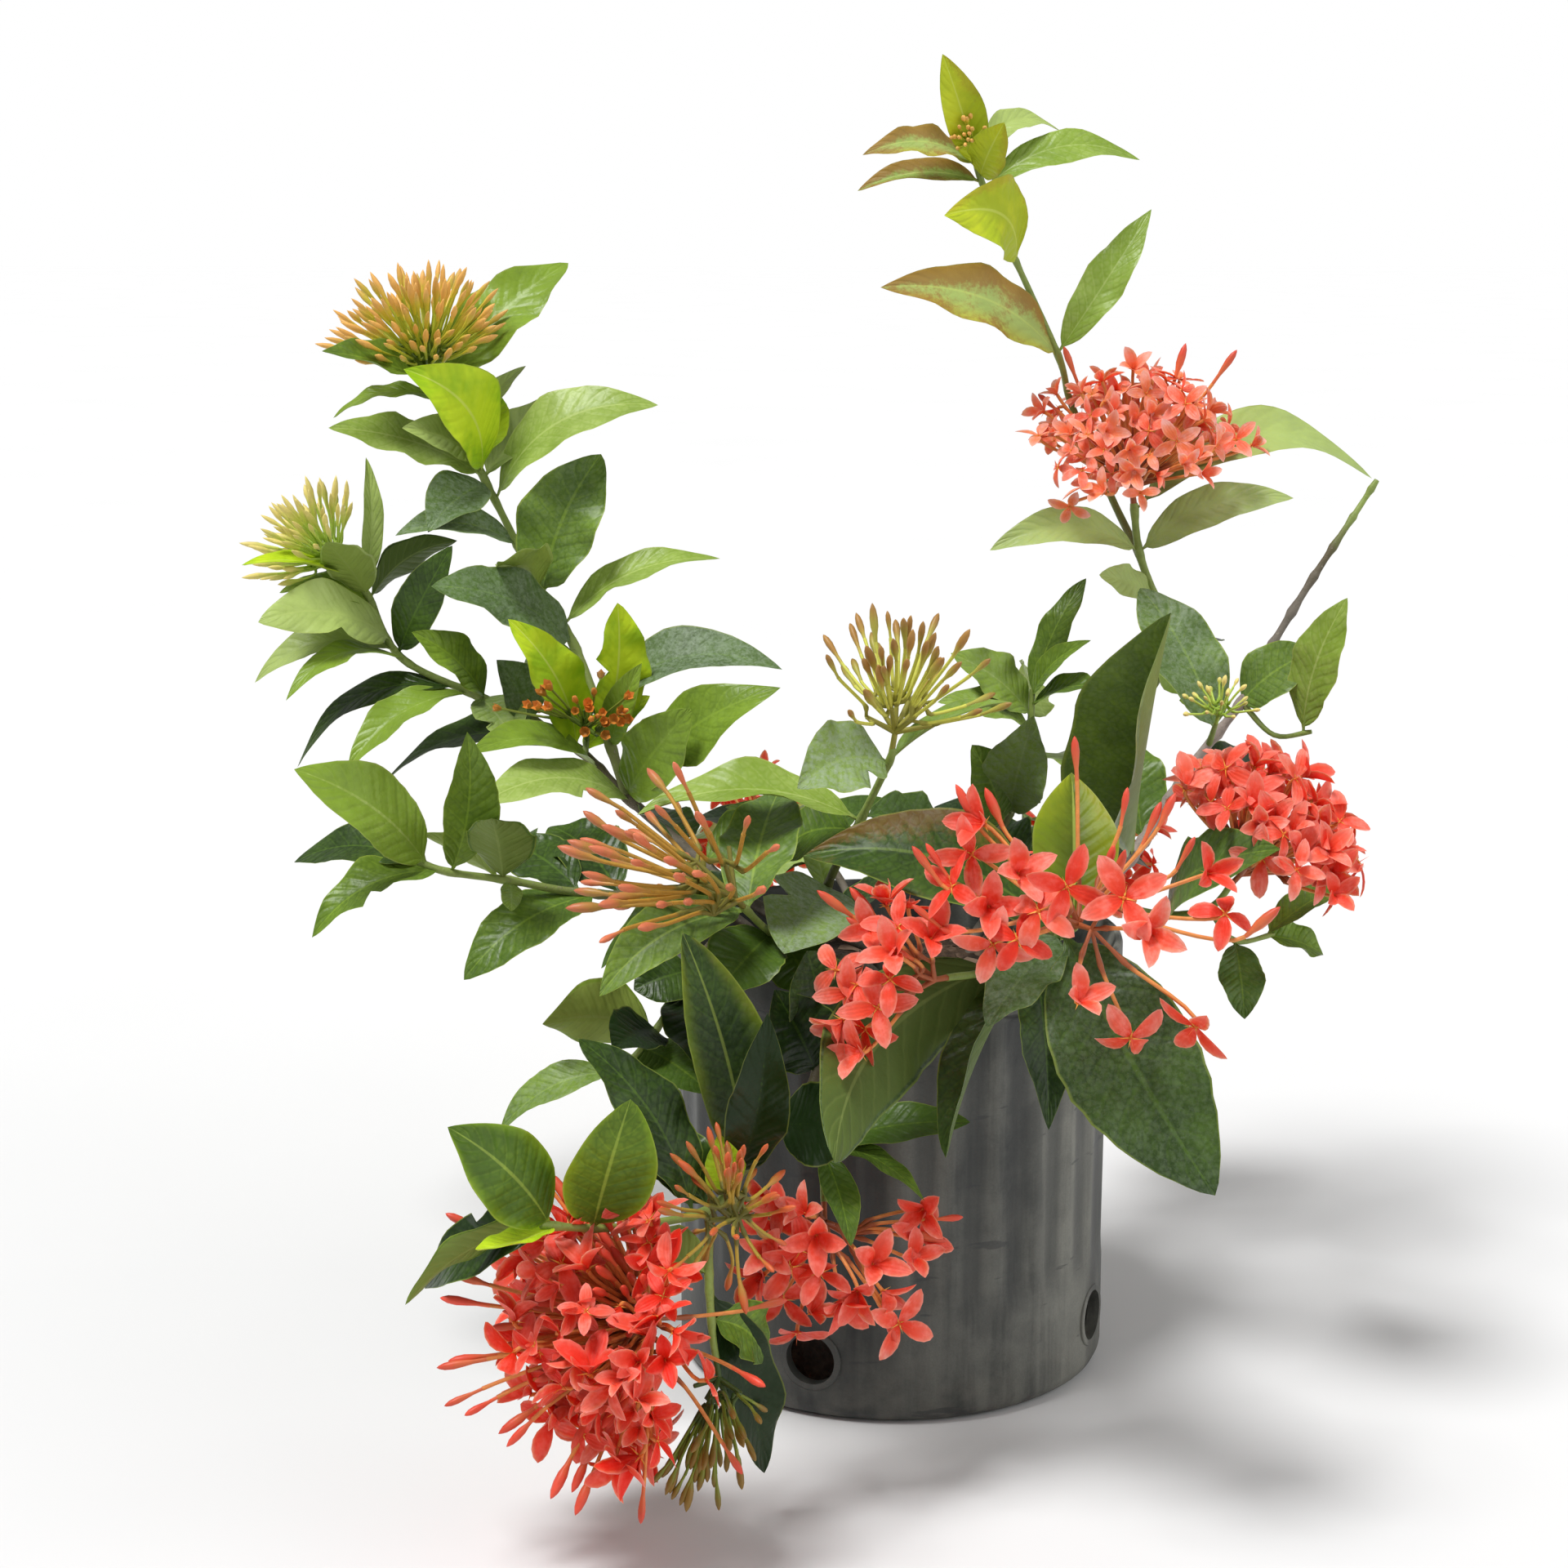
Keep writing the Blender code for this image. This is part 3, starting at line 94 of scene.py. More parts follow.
# %% Stems
STEMS = {
    "stem_back_left": ((-5, 3), {
        "trunk": (4.2, 1.8, [(-3, -6.5, 7), (-9.6, -0.8, 12), (-12.2, 1.8, 14), (-15.2, 3.8, 15),
                             (-19, 5.5, 15.5), (-23.5, 7.8, 16), (-25.5, 11.6, 16.5),
                             (-27.5, 13.5, 17)]),
        "tall": (3.2, 1.8, [(-9.6, -0.8, 12), (-11.5, 5, 14), (-13, 8.8, 16), (-14.8, 11.6, 17),
                            (-17.4, 16.8, 18.5), (-20, 22, 19.5), (-21.8, 25.5, 20)]),
        "spur": (2.2, 1.8, [(-12.2, 1.8, 14), (-12, 3.4, 12.5)]),
    }),
    "stem_left": ((-7, -0.5), {
        "trunk": (3.4, 1.8, [(-4, -7.6, -1), (-8, -7, -2), (-13, -6.6, -3), (-16.8, -5.9, -4),
                             (-20.5, -5.4, -4.5), (-22.4, -4.8, -4.5)]),
    }),
    "stem_bud_front": ((-3.5, -4.5), {
        "trunk": (3.0, 1.8, [(2, -11.2, -8), (0.2, -9.8, -12), (-1.2, -8.8, -15),
                             (-3, -7, -17.5)]),
    }),
    "stem_middle": ((-1, -1), {
        "trunk": (3.0, 1.8, [(3, -9, -4), (2.6, -6.5, -8), (4.8, -2, -12), (6.5, 1.5, -14),
                             (6.8, 3.2, -14.5)]),
    }),
    "stem_top_right": ((5, 4), {
        "trunk": (4.0, 2.2, [(16, -5, 9), (19.5, 0, 12), (22, 5, 14), (23.5, 8.5, 14.5),
                             (21.8, 14, 15), (21.3, 18.2, 15)]),
        "young": (2.4, 1.6, [(21.8, 14, 15), (20.3, 17, 18.5), (19, 20, 19.5), (17.5, 23.5, 18),
                             (16.8, 26.2, 16.5), (14.2, 32, 16), (12.2, 36.6, 16),
                             (11.4, 39.3, 16)]),
    }),
    "stem_right": ((8, 0.5), {
        "trunk": (3.8, 1.6, [(19, -7, 2), (22, -3.5, 4), (24.5, 0.5, 4.5), (28, 5, 5), (29, 7, 6),
                             (32, 12, 8), (35, 16.6, 10), (36.3, 18.6, 10.5)]),
        "bloom": (2.6, 1.8, [(19, -7, 2), (23, -8, -1), (26, -7.6, -5), (28, -5.5, -7.5)]),
        "spray": (1.8, 1.2, [(28, 5, 5), (30, 3, 3.5), (32.3, 3.2, 2.5)]),
        "spur": (2.0, 1.4, [(26, 2.4, 4.7), (26.6, 4.2, 1.5)]),
        "low": (1.8, 1.2, [(26, -7.6, -5), (27.6, -9.6, -4.5), (30, -9.2, -3.5)]),
    }),
    "stem_front_right": ((5.5, -5), {
        "trunk": (3.4, 1.9, [(14, -11, -9), (15.5, -9.8, -13), (17, -9.2, -20), (18, -8.6, -25)]),
        "side": (2.2, 1.8, [(15.5, -9.8, -13), (12.6, -11.4, -18), (9.2, -12, -21.5)]),
    }),
    "stem_low_front": ((-1, -6.8), {
        "trunk": (3.4, 1.8, [(4.5, -11, -11), (3.2, -11, -13.8), (2.3, -14.5, -16),
                             (1.9, -18, -17.5), (-0.2, -20.6, -20), (-2.8, -24, -22.5),
                             (-4.5, -26, -24.5), (-8, -26.9, -26.5), (-11.5, -27.2, -28.5),
                             (-14.9, -27, -30)]),
        "bloom": (2.4, 1.8, [(-8, -26.9, -26.5), (-7.8, -30, -27), (-8, -33, -27)]),
        "crown": (2.2, 1.8, [(-2.8, -24, -22.5), (-3, -25.4, -25.5), (-3.2, -26.6, -28.5)]),
        "hanging": (2.2, 1.8, [(-4.5, -26, -24.5), (-4.6, -30, -25), (-4.4, -33.5, -25.8),
                               (-4, -36.4, -26.2)]),
        "under": (2.2, 1.8, [(1.9, -18, -17.5), (2.3, -22, -17.8), (2.5, -26.8, -19.5)]),
    }),
    "stem_low_left": ((-8, -4), {
        "trunk": (2.6, 1.6, [(-3.6, -9.4, -7.2), (-5, -10.4, -9.3), (-6.6, -13, -10.5),
                             (-8.5, -16, -11.5), (-10.8, -18, -12.5)]),
    }),
    "stem_back_shoot": ((3, 7), {
        "trunk": (2.8, 1.6, [(11.6, -5, 10.4), (14, -1.5, 13), (15, 3, 14.5), (15.2, 5.8, 15)]),
    }),
    "stem_back_middle": ((-2, 8), {
        "trunk": (2.8, 1.8, [(3, -5.2, 11), (1, -3.8, 14.5), (-0.5, -3.4, 18.5), (-1.5, -3, 23)]),
    }),
    "stem_back_right": ((6.5, 7.5), {
        "trunk": (2.8, 1.8, [(13.4, -5.2, 10.4), (16.5, -4.3, 15), (18.6, -3.8, 22)]),
    }),
}
print(len(STEMS), "stems")

# %% [markdown]
# Each leaf is a row of numbers: where on its stem it grows (u, v), its tip (u, v, y), its width in
# cm, the way its upper face looks in degrees (0 at the eye, 90 at the sky, past 90 the underside
# shows) and how far its middle bows up, as a share of its length.

# %% Leaves
LEAVES = {
    "stem_back_left": [
        (-21.5, 24.5, -13.2, 31.9, 24, 4.4, 35, 0.02), (-21, 24.3, -28.3, 26.5, 17, 3.0, 60, -0.01),
        (-19, 20.5, -15.8, 25.6, 23, 1.8, 45, 0.05), (-18.1, 18.8, -13, 23.8, 22, 2.8, 40, 0.04),
        (-17.6, 17.4, -7.7, 23.2, 20, 4.4, 50, 0.13), (-14.8, 11.6, -11.2, 20.2, 18, 4.8, 15, 0.05),
        (-14.8, 12, -17.2, 13.6, 12, 3.2, 150, 0.08), (-18, 18.5, -21.8, 15.4, 14, 3.4, 25, 0.04),
        (-18.3, 18.9, -27.9, 21.8, 15, 3.4, 50, 0.02),
        (-18.8, 19.6, -23.4, 21.8, 14, 2.6, 40, 0.04),
        (-20.6, 23.5, -27.6, 22.4, 19, 1.6, 60, 0.1), (-25.6, 12, -25.6, 20, 18, 1.3, 20, 0.03),
        (-25.4, 11.6, -28, 14.8, 13, 3.0, 150, 0.0), (-25.3, 11.4, -20, 14.9, 18, 2.8, 130, 0.08),
        (-16.3, 14.6, -23.8, 15.2, 14, 2.8, 50, 0.08), (-23.6, 8, -20.3, 14.6, 13, 2.8, 20, 0.0),
        (-12.9, 8.6, -21.6, 12.1, 13, 4.2, 40, 0.06), (-13.5, 9.7, -3.9, 13.8, 17, 3.0, 55, 0.07),
        (-10.4, 5, -0.1, 7, 12, 3.8, 45, 0.12), (-10.5, 2, -8.7, 7.4, 10, 2.2, 35, 0.0),
        (-9.7, -0.8, -5.7, 4.6, 8, 4.0, 25, 0.0), (-9.4, -0.9, -0.2, 5.9, 7, 4.4, 35, 0.06),
        (-24.4, 8.6, -32.2, 9.9, 12, 3.8, 35, 0.1), (-25.2, 11, -30.9, 11.7, 16, 2.6, 50, 0.1),
        (-24, 8, -32.4, 6.2, 15, 2.6, 50, 0.12), (-23, 7.6, -30.5, 5.1, 11, 2.0, 55, 0.14),
        (-18.2, 5.3, -22.8, 9.3, 13, 2.8, 40, 0.04), (-19.8, 5.7, -29.8, 1, 15, 2.6, 55, 0.14),
        (-19.3, 5.5, -26.7, 0.9, 11, 2.8, 50, 0.07), (-18.6, 5.4, -16.4, 2.4, 12, 3.2, 30, 0.0),
        (-15.3, 3.9, -17.6, 7.6, 14, 3.2, 30, 0.0), (-13, 8.2, -16.3, 5.6, 19, 2.8, 30, 0.0),
        (-11.4, 0.8, -19.4, 1.8, 8, 3.0, 60, 0.09), (-9.6, -1.4, -19.1, -1.6, 6, 3.8, 50, 0.1),
        (-12.4, 2, -24.4, 0.2, 17, 3.2, 55, 0.1), (-3, -6.4, 3.6, -5, 4, 3.8, 65, 0.05),
        (-5, -5, 0.8, -2.4, 9, 3.8, 60, 0.05), (-6.4, -3.8, -8.6, -1.6, 14, 3.8, 60, 0.05),
    ],
    "stem_left": [
        (-20.4, -5.4, -19.4, 3.2, -6, 3.0, 20, 0.04), (-22, -5, -30, 0.9, -8, 4.2, 30, 0.05),
        (-22, -5, -30, -4.8, -2, 3.2, 50, 0.07), (-20.8, -5.4, -28.9, -9.4, -7, 3.0, 50, 0.09),
        (-17.2, -6, -17.9, -2.1, -8.5, 3.6, 165, 0.0), (-17.4, -6, -22.3, -3, -3, 2.0, 120, 0.0),
        (-16.8, -6, -16.7, -7.8, -5, 1.2, 20, 0.0), (-11.3, -6.8, -19.6, -12, -7, 3.6, 40, 0.06),
        (-12.5, -6.7, -18.6, -3.6, 3, 3.8, 40, 0.05), (-10, -6.8, -14.3, -2.6, 4, 4.0, 30, 0.03),
        (-5, -7.4, -1, -5.2, 1, 3.6, 70, 0.05),
    ],
    "stem_bud_front": [
        (-2.6, -7.4, -11.3, -13, -20, 3.0, 25, 0.09),
        (-2.4, -7.6, -11.2, -11.3, -13, 3.4, 40, 0.06),
        (-2.5, -7.5, -0.3, -0.4, -9, 4.0, 25, 0.0), (-0.8, -9.2, -4.2, -13, -18.5, 3.8, 20, 0.0),
        (-0.2, -9.6, 2, -13.2, -15, 3.6, 30, 0.0),
    ],
    "stem_middle": [
        (2.7, -6.2, 0, -10.4, -17, 5.0, 10, 0.0), (4.6, -2.2, -9, -1.9, -13, 3.2, 55, 0.07),
        (6.4, 1.3, 0.8, -0.3, -17, 3.8, 15, 0.12), (6.6, 1.6, 14, 5, -11, 1.9, 70, 0.02),
        (4.4, -2.8, 0, -4.4, -6, 3.4, 40, 0.06), (2.8, -6.8, 1.1, -2, -5, 1.6, 20, 0.0),
        (4.9, -2, 11, -4.2, -9, 3.4, 55, 0.06),
        (3, -8.8, 8.2, -6.2, -4, 3.8, 70, 0.05),
    ],
    "stem_top_right": [
        (16.6, 26, 5.9, 30.4, 12, 3.8, 35, 0.09), (16.9, 26.4, 22.5, 35.2, 18, 2.6, 20, -0.03),
        (12.2, 36.4, 21.8, 38.2, 18, 2.4, 40, 0.12), (21.3, 17, 36, 18.7, 18, 3.4, 38, 0.2),
        (21.8, 14.2, 31.2, 17.5, 13, 2.6, 25, 0.1), (21.7, 14.2, 12.6, 14.3, 13, 2.4, 30, 0.12),
        (22.6, 11.4, 19.3, 12.8, 12, 2.2, 40, 0.0), (23.4, 8.8, 25.8, 4, 11, 4.0, 30, 0.0),
        (19.6, 0, 15.6, 1.4, 20, 3.4, 60, 0.06), (22.2, 5.2, 27, 8.8, 21, 3.4, 60, 0.06),
        (13.5, -6.4, 9.5, -4.2, 3, 3.8, 65, 0.05), (15.8, -5, 18.6, -1.8, 5, 3.6, 60, 0.05),
    ],
    "stem_right": [
        (21.4, -4.4, 23.7, 10.5, -7, 5.6, -50, 0.04), (26.4, 3.2, 21.8, 12, 10, 4.2, 30, 0.02),
        (23.4, -7.8, 30.4, -4, -14.5, 4.1, 45, 0.03), (32.3, 3.1, 34.5, 11.4, 1, 3.2, 38, 0.02),
        (28, 4.8, 32.6, 8.2, 2, 3.6, 35, 0.03), (27.4, -9.4, 28.2, -14.4, -7, 2.4, 15, 0.0),
        (30, -9.2, 33, -10.4, -2, 2.2, 50, 0.0), (30, -9.2, 34.4, -6.2, -1, 2.0, 45, 0.0),
        (22, -3.6, 20.6, 3.2, 9, 3.6, 20, 0.0), (24.4, 0.4, 31, -1, 12, 3.4, 60, 0.06),
        (17, -7.8, 13, -6, -2, 3.6, 70, 0.05),
    ],
    "stem_front_right": [
        (16.8, -9.2, 1.2, -4.4, -17, 5.2, 35, 0.1), (18, -8.8, 17.6, 0.7, -19, 4.0, 10, 0.0),
        (13.4, -11, 3.1, -23.2, -27, 5.4, 160, 0.12), (17, -9.4, 12.4, -14.9, -24, 3.2, 25, 0.0),
        (17.2, -9.2, 26.4, -25.2, -27, 6.4, 10, -0.03),
        (15.2, -10, 16.2, -21.2, -17.5, 2.8, 20, 0.0),
        (16.2, -9.6, 9.9, -22.9, -21.5, 2.6, 60, 0.0),
    ],
    "stem_low_front": [
        (-2.4, -23.4, -6.2, -9.1, -24, 3.8, 15, 0.02), (-2.8, -24, -1, -14, -27, 2.9, 10, 0.02),
        (-4.6, -26, -9.1, -20, -21.5, 3.2, 20, 0.0),
        (-5.6, -26.3, -12.6, -15.6, -24, 3.2, 30, 0.06),
        (-0.4, -20.8, 4.6, -20.9, -21, 4.0, 2, 0.0), (2.1, -14, 5, -18.6, -16.5, 3.8, 20, 0.0),
        (1.8, -17.6, -0.6, -12.6, -18, 3.8, 20, 0.0), (2.2, -15, 1.4, -10.2, -19, 4.2, 30, 0.0),
        (2.2, -21, 11.4, -20.7, -18, 2.6, 45, 0.0), (2.3, -22, 8.6, -25.5, -21, 1.8, 60, 0.04),
        (2.3, -22.4, 4.1, -28.3, -22, 1.9, 30, 0.0), (-4.7, -31, -1.2, -42.2, -22.6, 3.4, 30, 0.0),
        (-4.5, -32.8, -1.3, -35.4, -24, 3.0, 35, 0.12),
        (-4.7, -29, -9.4, -27.8, -28, 2.6, 150, 0.0),
        (-14.7, -27, -20.6, -21, -32, 4.0, 20, 0.04),
        (-11.7, -27.3, -9.4, -19.3, -31, 4.1, -18, 0.03),
        (-14.6, -27, -22, -30.9, -26, 3.2, 35, 0.05),
        (-14.8, -27, -23.2, -31.9, -30, 2.0, 125, 0.06),
    ],
    "stem_low_left": [
        (-8.3, -14.8, -14.8, -14.7, -13, 4.0, 150, 0.06),
        (-7.8, -15, -10.5, -16.2, -15, 3.2, 30, 0.0),
        (-10.8, -18, -17.4, -21.3, -13, 2.2, 40, 0.08),
        (-6.4, -12.6, -4.6, -18, -15.5, 3.6, 20, 0.0),
        (-5.6, -11.4, -9.2, -12.6, -11, 3.4, 30, 0.0), (-8.6, -16.2, -4.4, -19, -16, 3.4, 30, 0.0),
    ],
    "stem_back_shoot": [
        (15.2, 5.4, 18.5, 12.6, 17, 2.0, 30, 0.02), (15.2, 5.5, 18.8, 8.8, 13, 1.7, 45, 0.06),
        (15.1, 4.2, 10.2, 8, 13, 3.2, 40, 0.03), (15, 3.6, 9.4, 5, 11, 2.4, 50, 0.03),
        (15.1, 4.8, 20, 5.8, 12, 2.2, 60, 0.06), (14, -1.9, 15.3, 4.2, 7, 3.8, 10, 0.0),
        (13.4, -2.4, 11.5, 2.4, 9, 3.2, 30, 0.0), (13.2, -3, 9.2, -1.4, 14, 3.0, 50, 0.04),
        (14.9, 4, 14.6, 7.4, 21, 3.0, 60, 0.0),
    ],
    "stem_back_middle": [
        (0.4, -5.6, 5, -1.8, 19, 3.6, 60, 0.05), (0.2, -5.4, -6, -2.4, 19, 3.6, 60, 0.05),
        (-1.2, -4.6, 2.6, -1.4, 27, 3.6, 70, 0.05), (-1.2, -4.6, -6.4, -4.6, 28, 3.6, 70, 0.08),
        (2, -4.4, 6.6, -1, 16, 3.6, 60, 0.05), (2, -4.4, -3.6, -1.4, 14, 3.6, 60, 0.05),
    ],
    "stem_back_right": [
        (17.2, -5.8, 13, -3.4, 20, 3.6, 60, 0.05), (17.4, -5.6, 22.4, -5.2, 20, 3.6, 60, 0.05),
        (18.3, -4.6, 14.6, -2.6, 27, 3.6, 70, 0.05), (18.4, -4.6, 22.6, -3.4, 27, 3.6, 70, 0.08),
        (15, -4.8, 11.2, -2.4, 16, 3.6, 60, 0.05), (15.2, -4.6, 20.4, -2, 13, 3.6, 60, 0.05),
    ],
}

YOUNG_LEAVES = {
    "stem_back_left": [
        (-18.3, 19.2, -23.3, 25.4, 14, 4.8, 35, 0.14), (-18.6, 19.8, -17.6, 24, 20, 3.0, 20, 0.0),
        (-12.4, 2.6, -16.9, 10.1, 11, 3.4, 30, 0.06), (-12, 3, -10.2, 11.1, 11.5, 3.4, 25, 0.02),
        (-27, 13, -33.2, 13.4, 14, 1.8, 70, 0.03), (-12, 2.6, -8.2, 5.4, 11.5, 2.0, 30, 0.0),
    ],
    "stem_top_right": [
        (11.6, 38.6, 9.7, 44.7, 15, 2.4, 10, 0.0), (11.6, 38.2, 4.8, 38.5, 13, 2.2, 45, 0.1),
        (12, 36.8, 4.5, 36.3, 15, 1.8, 45, 0.06), (14.2, 32, 9.8, 34.8, 11, 4.4, 25, 0.22),
        (12, 37.2, 13.5, 40.5, 12, 2.4, 20, 0.0), (11.5, 38.8, 16.9, 40, 18, 1.8, 35, 0.24),
    ],
    "stem_front_right": [
        (16.6, -9.4, 9.2, -2.3, -14.5, 3.0, 30, 0.0),
    ],
    "stem_low_front": [
        (-14, -27.1, -18.9, -28.5, -33, 1.9, 65, -0.1), (-3.6, -25, -4, -21.4, -25, 2.0, 15, 0.0),
    ],
}
print(sum(map(len, LEAVES.values())), "leaves and", sum(map(len, YOUNG_LEAVES.values())), "young")

# %% [markdown]
# The finish of each leaf is one letter, in the order of the rows above, the young leaves last:
# j darkest, k dark, n less dark, m middle, b bright, s sunlit, d dusty, p pale, w white with dust,
# l dull olive, q dark with lime margins, h half lime, g glossy with some lime, u olive lime,
# y lime, z bronze and o dark bronze. The steps from j to s are partly the leaf's own green and
# partly painted light and shade: s is a painted sunlit green. The dust of d, p and w is partly
# real dust and partly a painted sheen. The cell that makes the leaves has the numbers behind them.

# %% Leaf finishes
LEAF_FINISH = {
    "stem_back_left": "mmssbnbdbbmbskdkdbdmmmbmsmmkmpdmmbkpnk" "yyyyyy",
    "stem_left": "mbkmmspmkkk",
    "stem_bud_front": "lmlmm",
    "stem_middle": "wbwpmpnk",
    "stem_top_right": "zmmsppsnmkkk" "uzzuub",
    "stem_right": "ndnbnnmmnkk",
    "stem_front_right": "ohndnkk" "h",
    "stem_low_front": "qjkkjkknmmmjmpggkm" "yy",
    "stem_low_left": "bjpjkm",
    "stem_back_shoot": "mmppmwmkb",
    "stem_back_middle": "kkssmm",
    "stem_back_right": "kkmmkk",
}


def leaf_rows(stem):
    """The rows of a stem's leaves, the young ones last."""
    return LEAVES.get(stem, []) + YOUNG_LEAVES.get(stem, [])


assert all(len(leaf_rows(stem)) == len(LEAF_FINISH[stem]) for stem in STEMS)
print("each leaf has its letter, out of", len(set("".join(LEAF_FINISH.values()))))
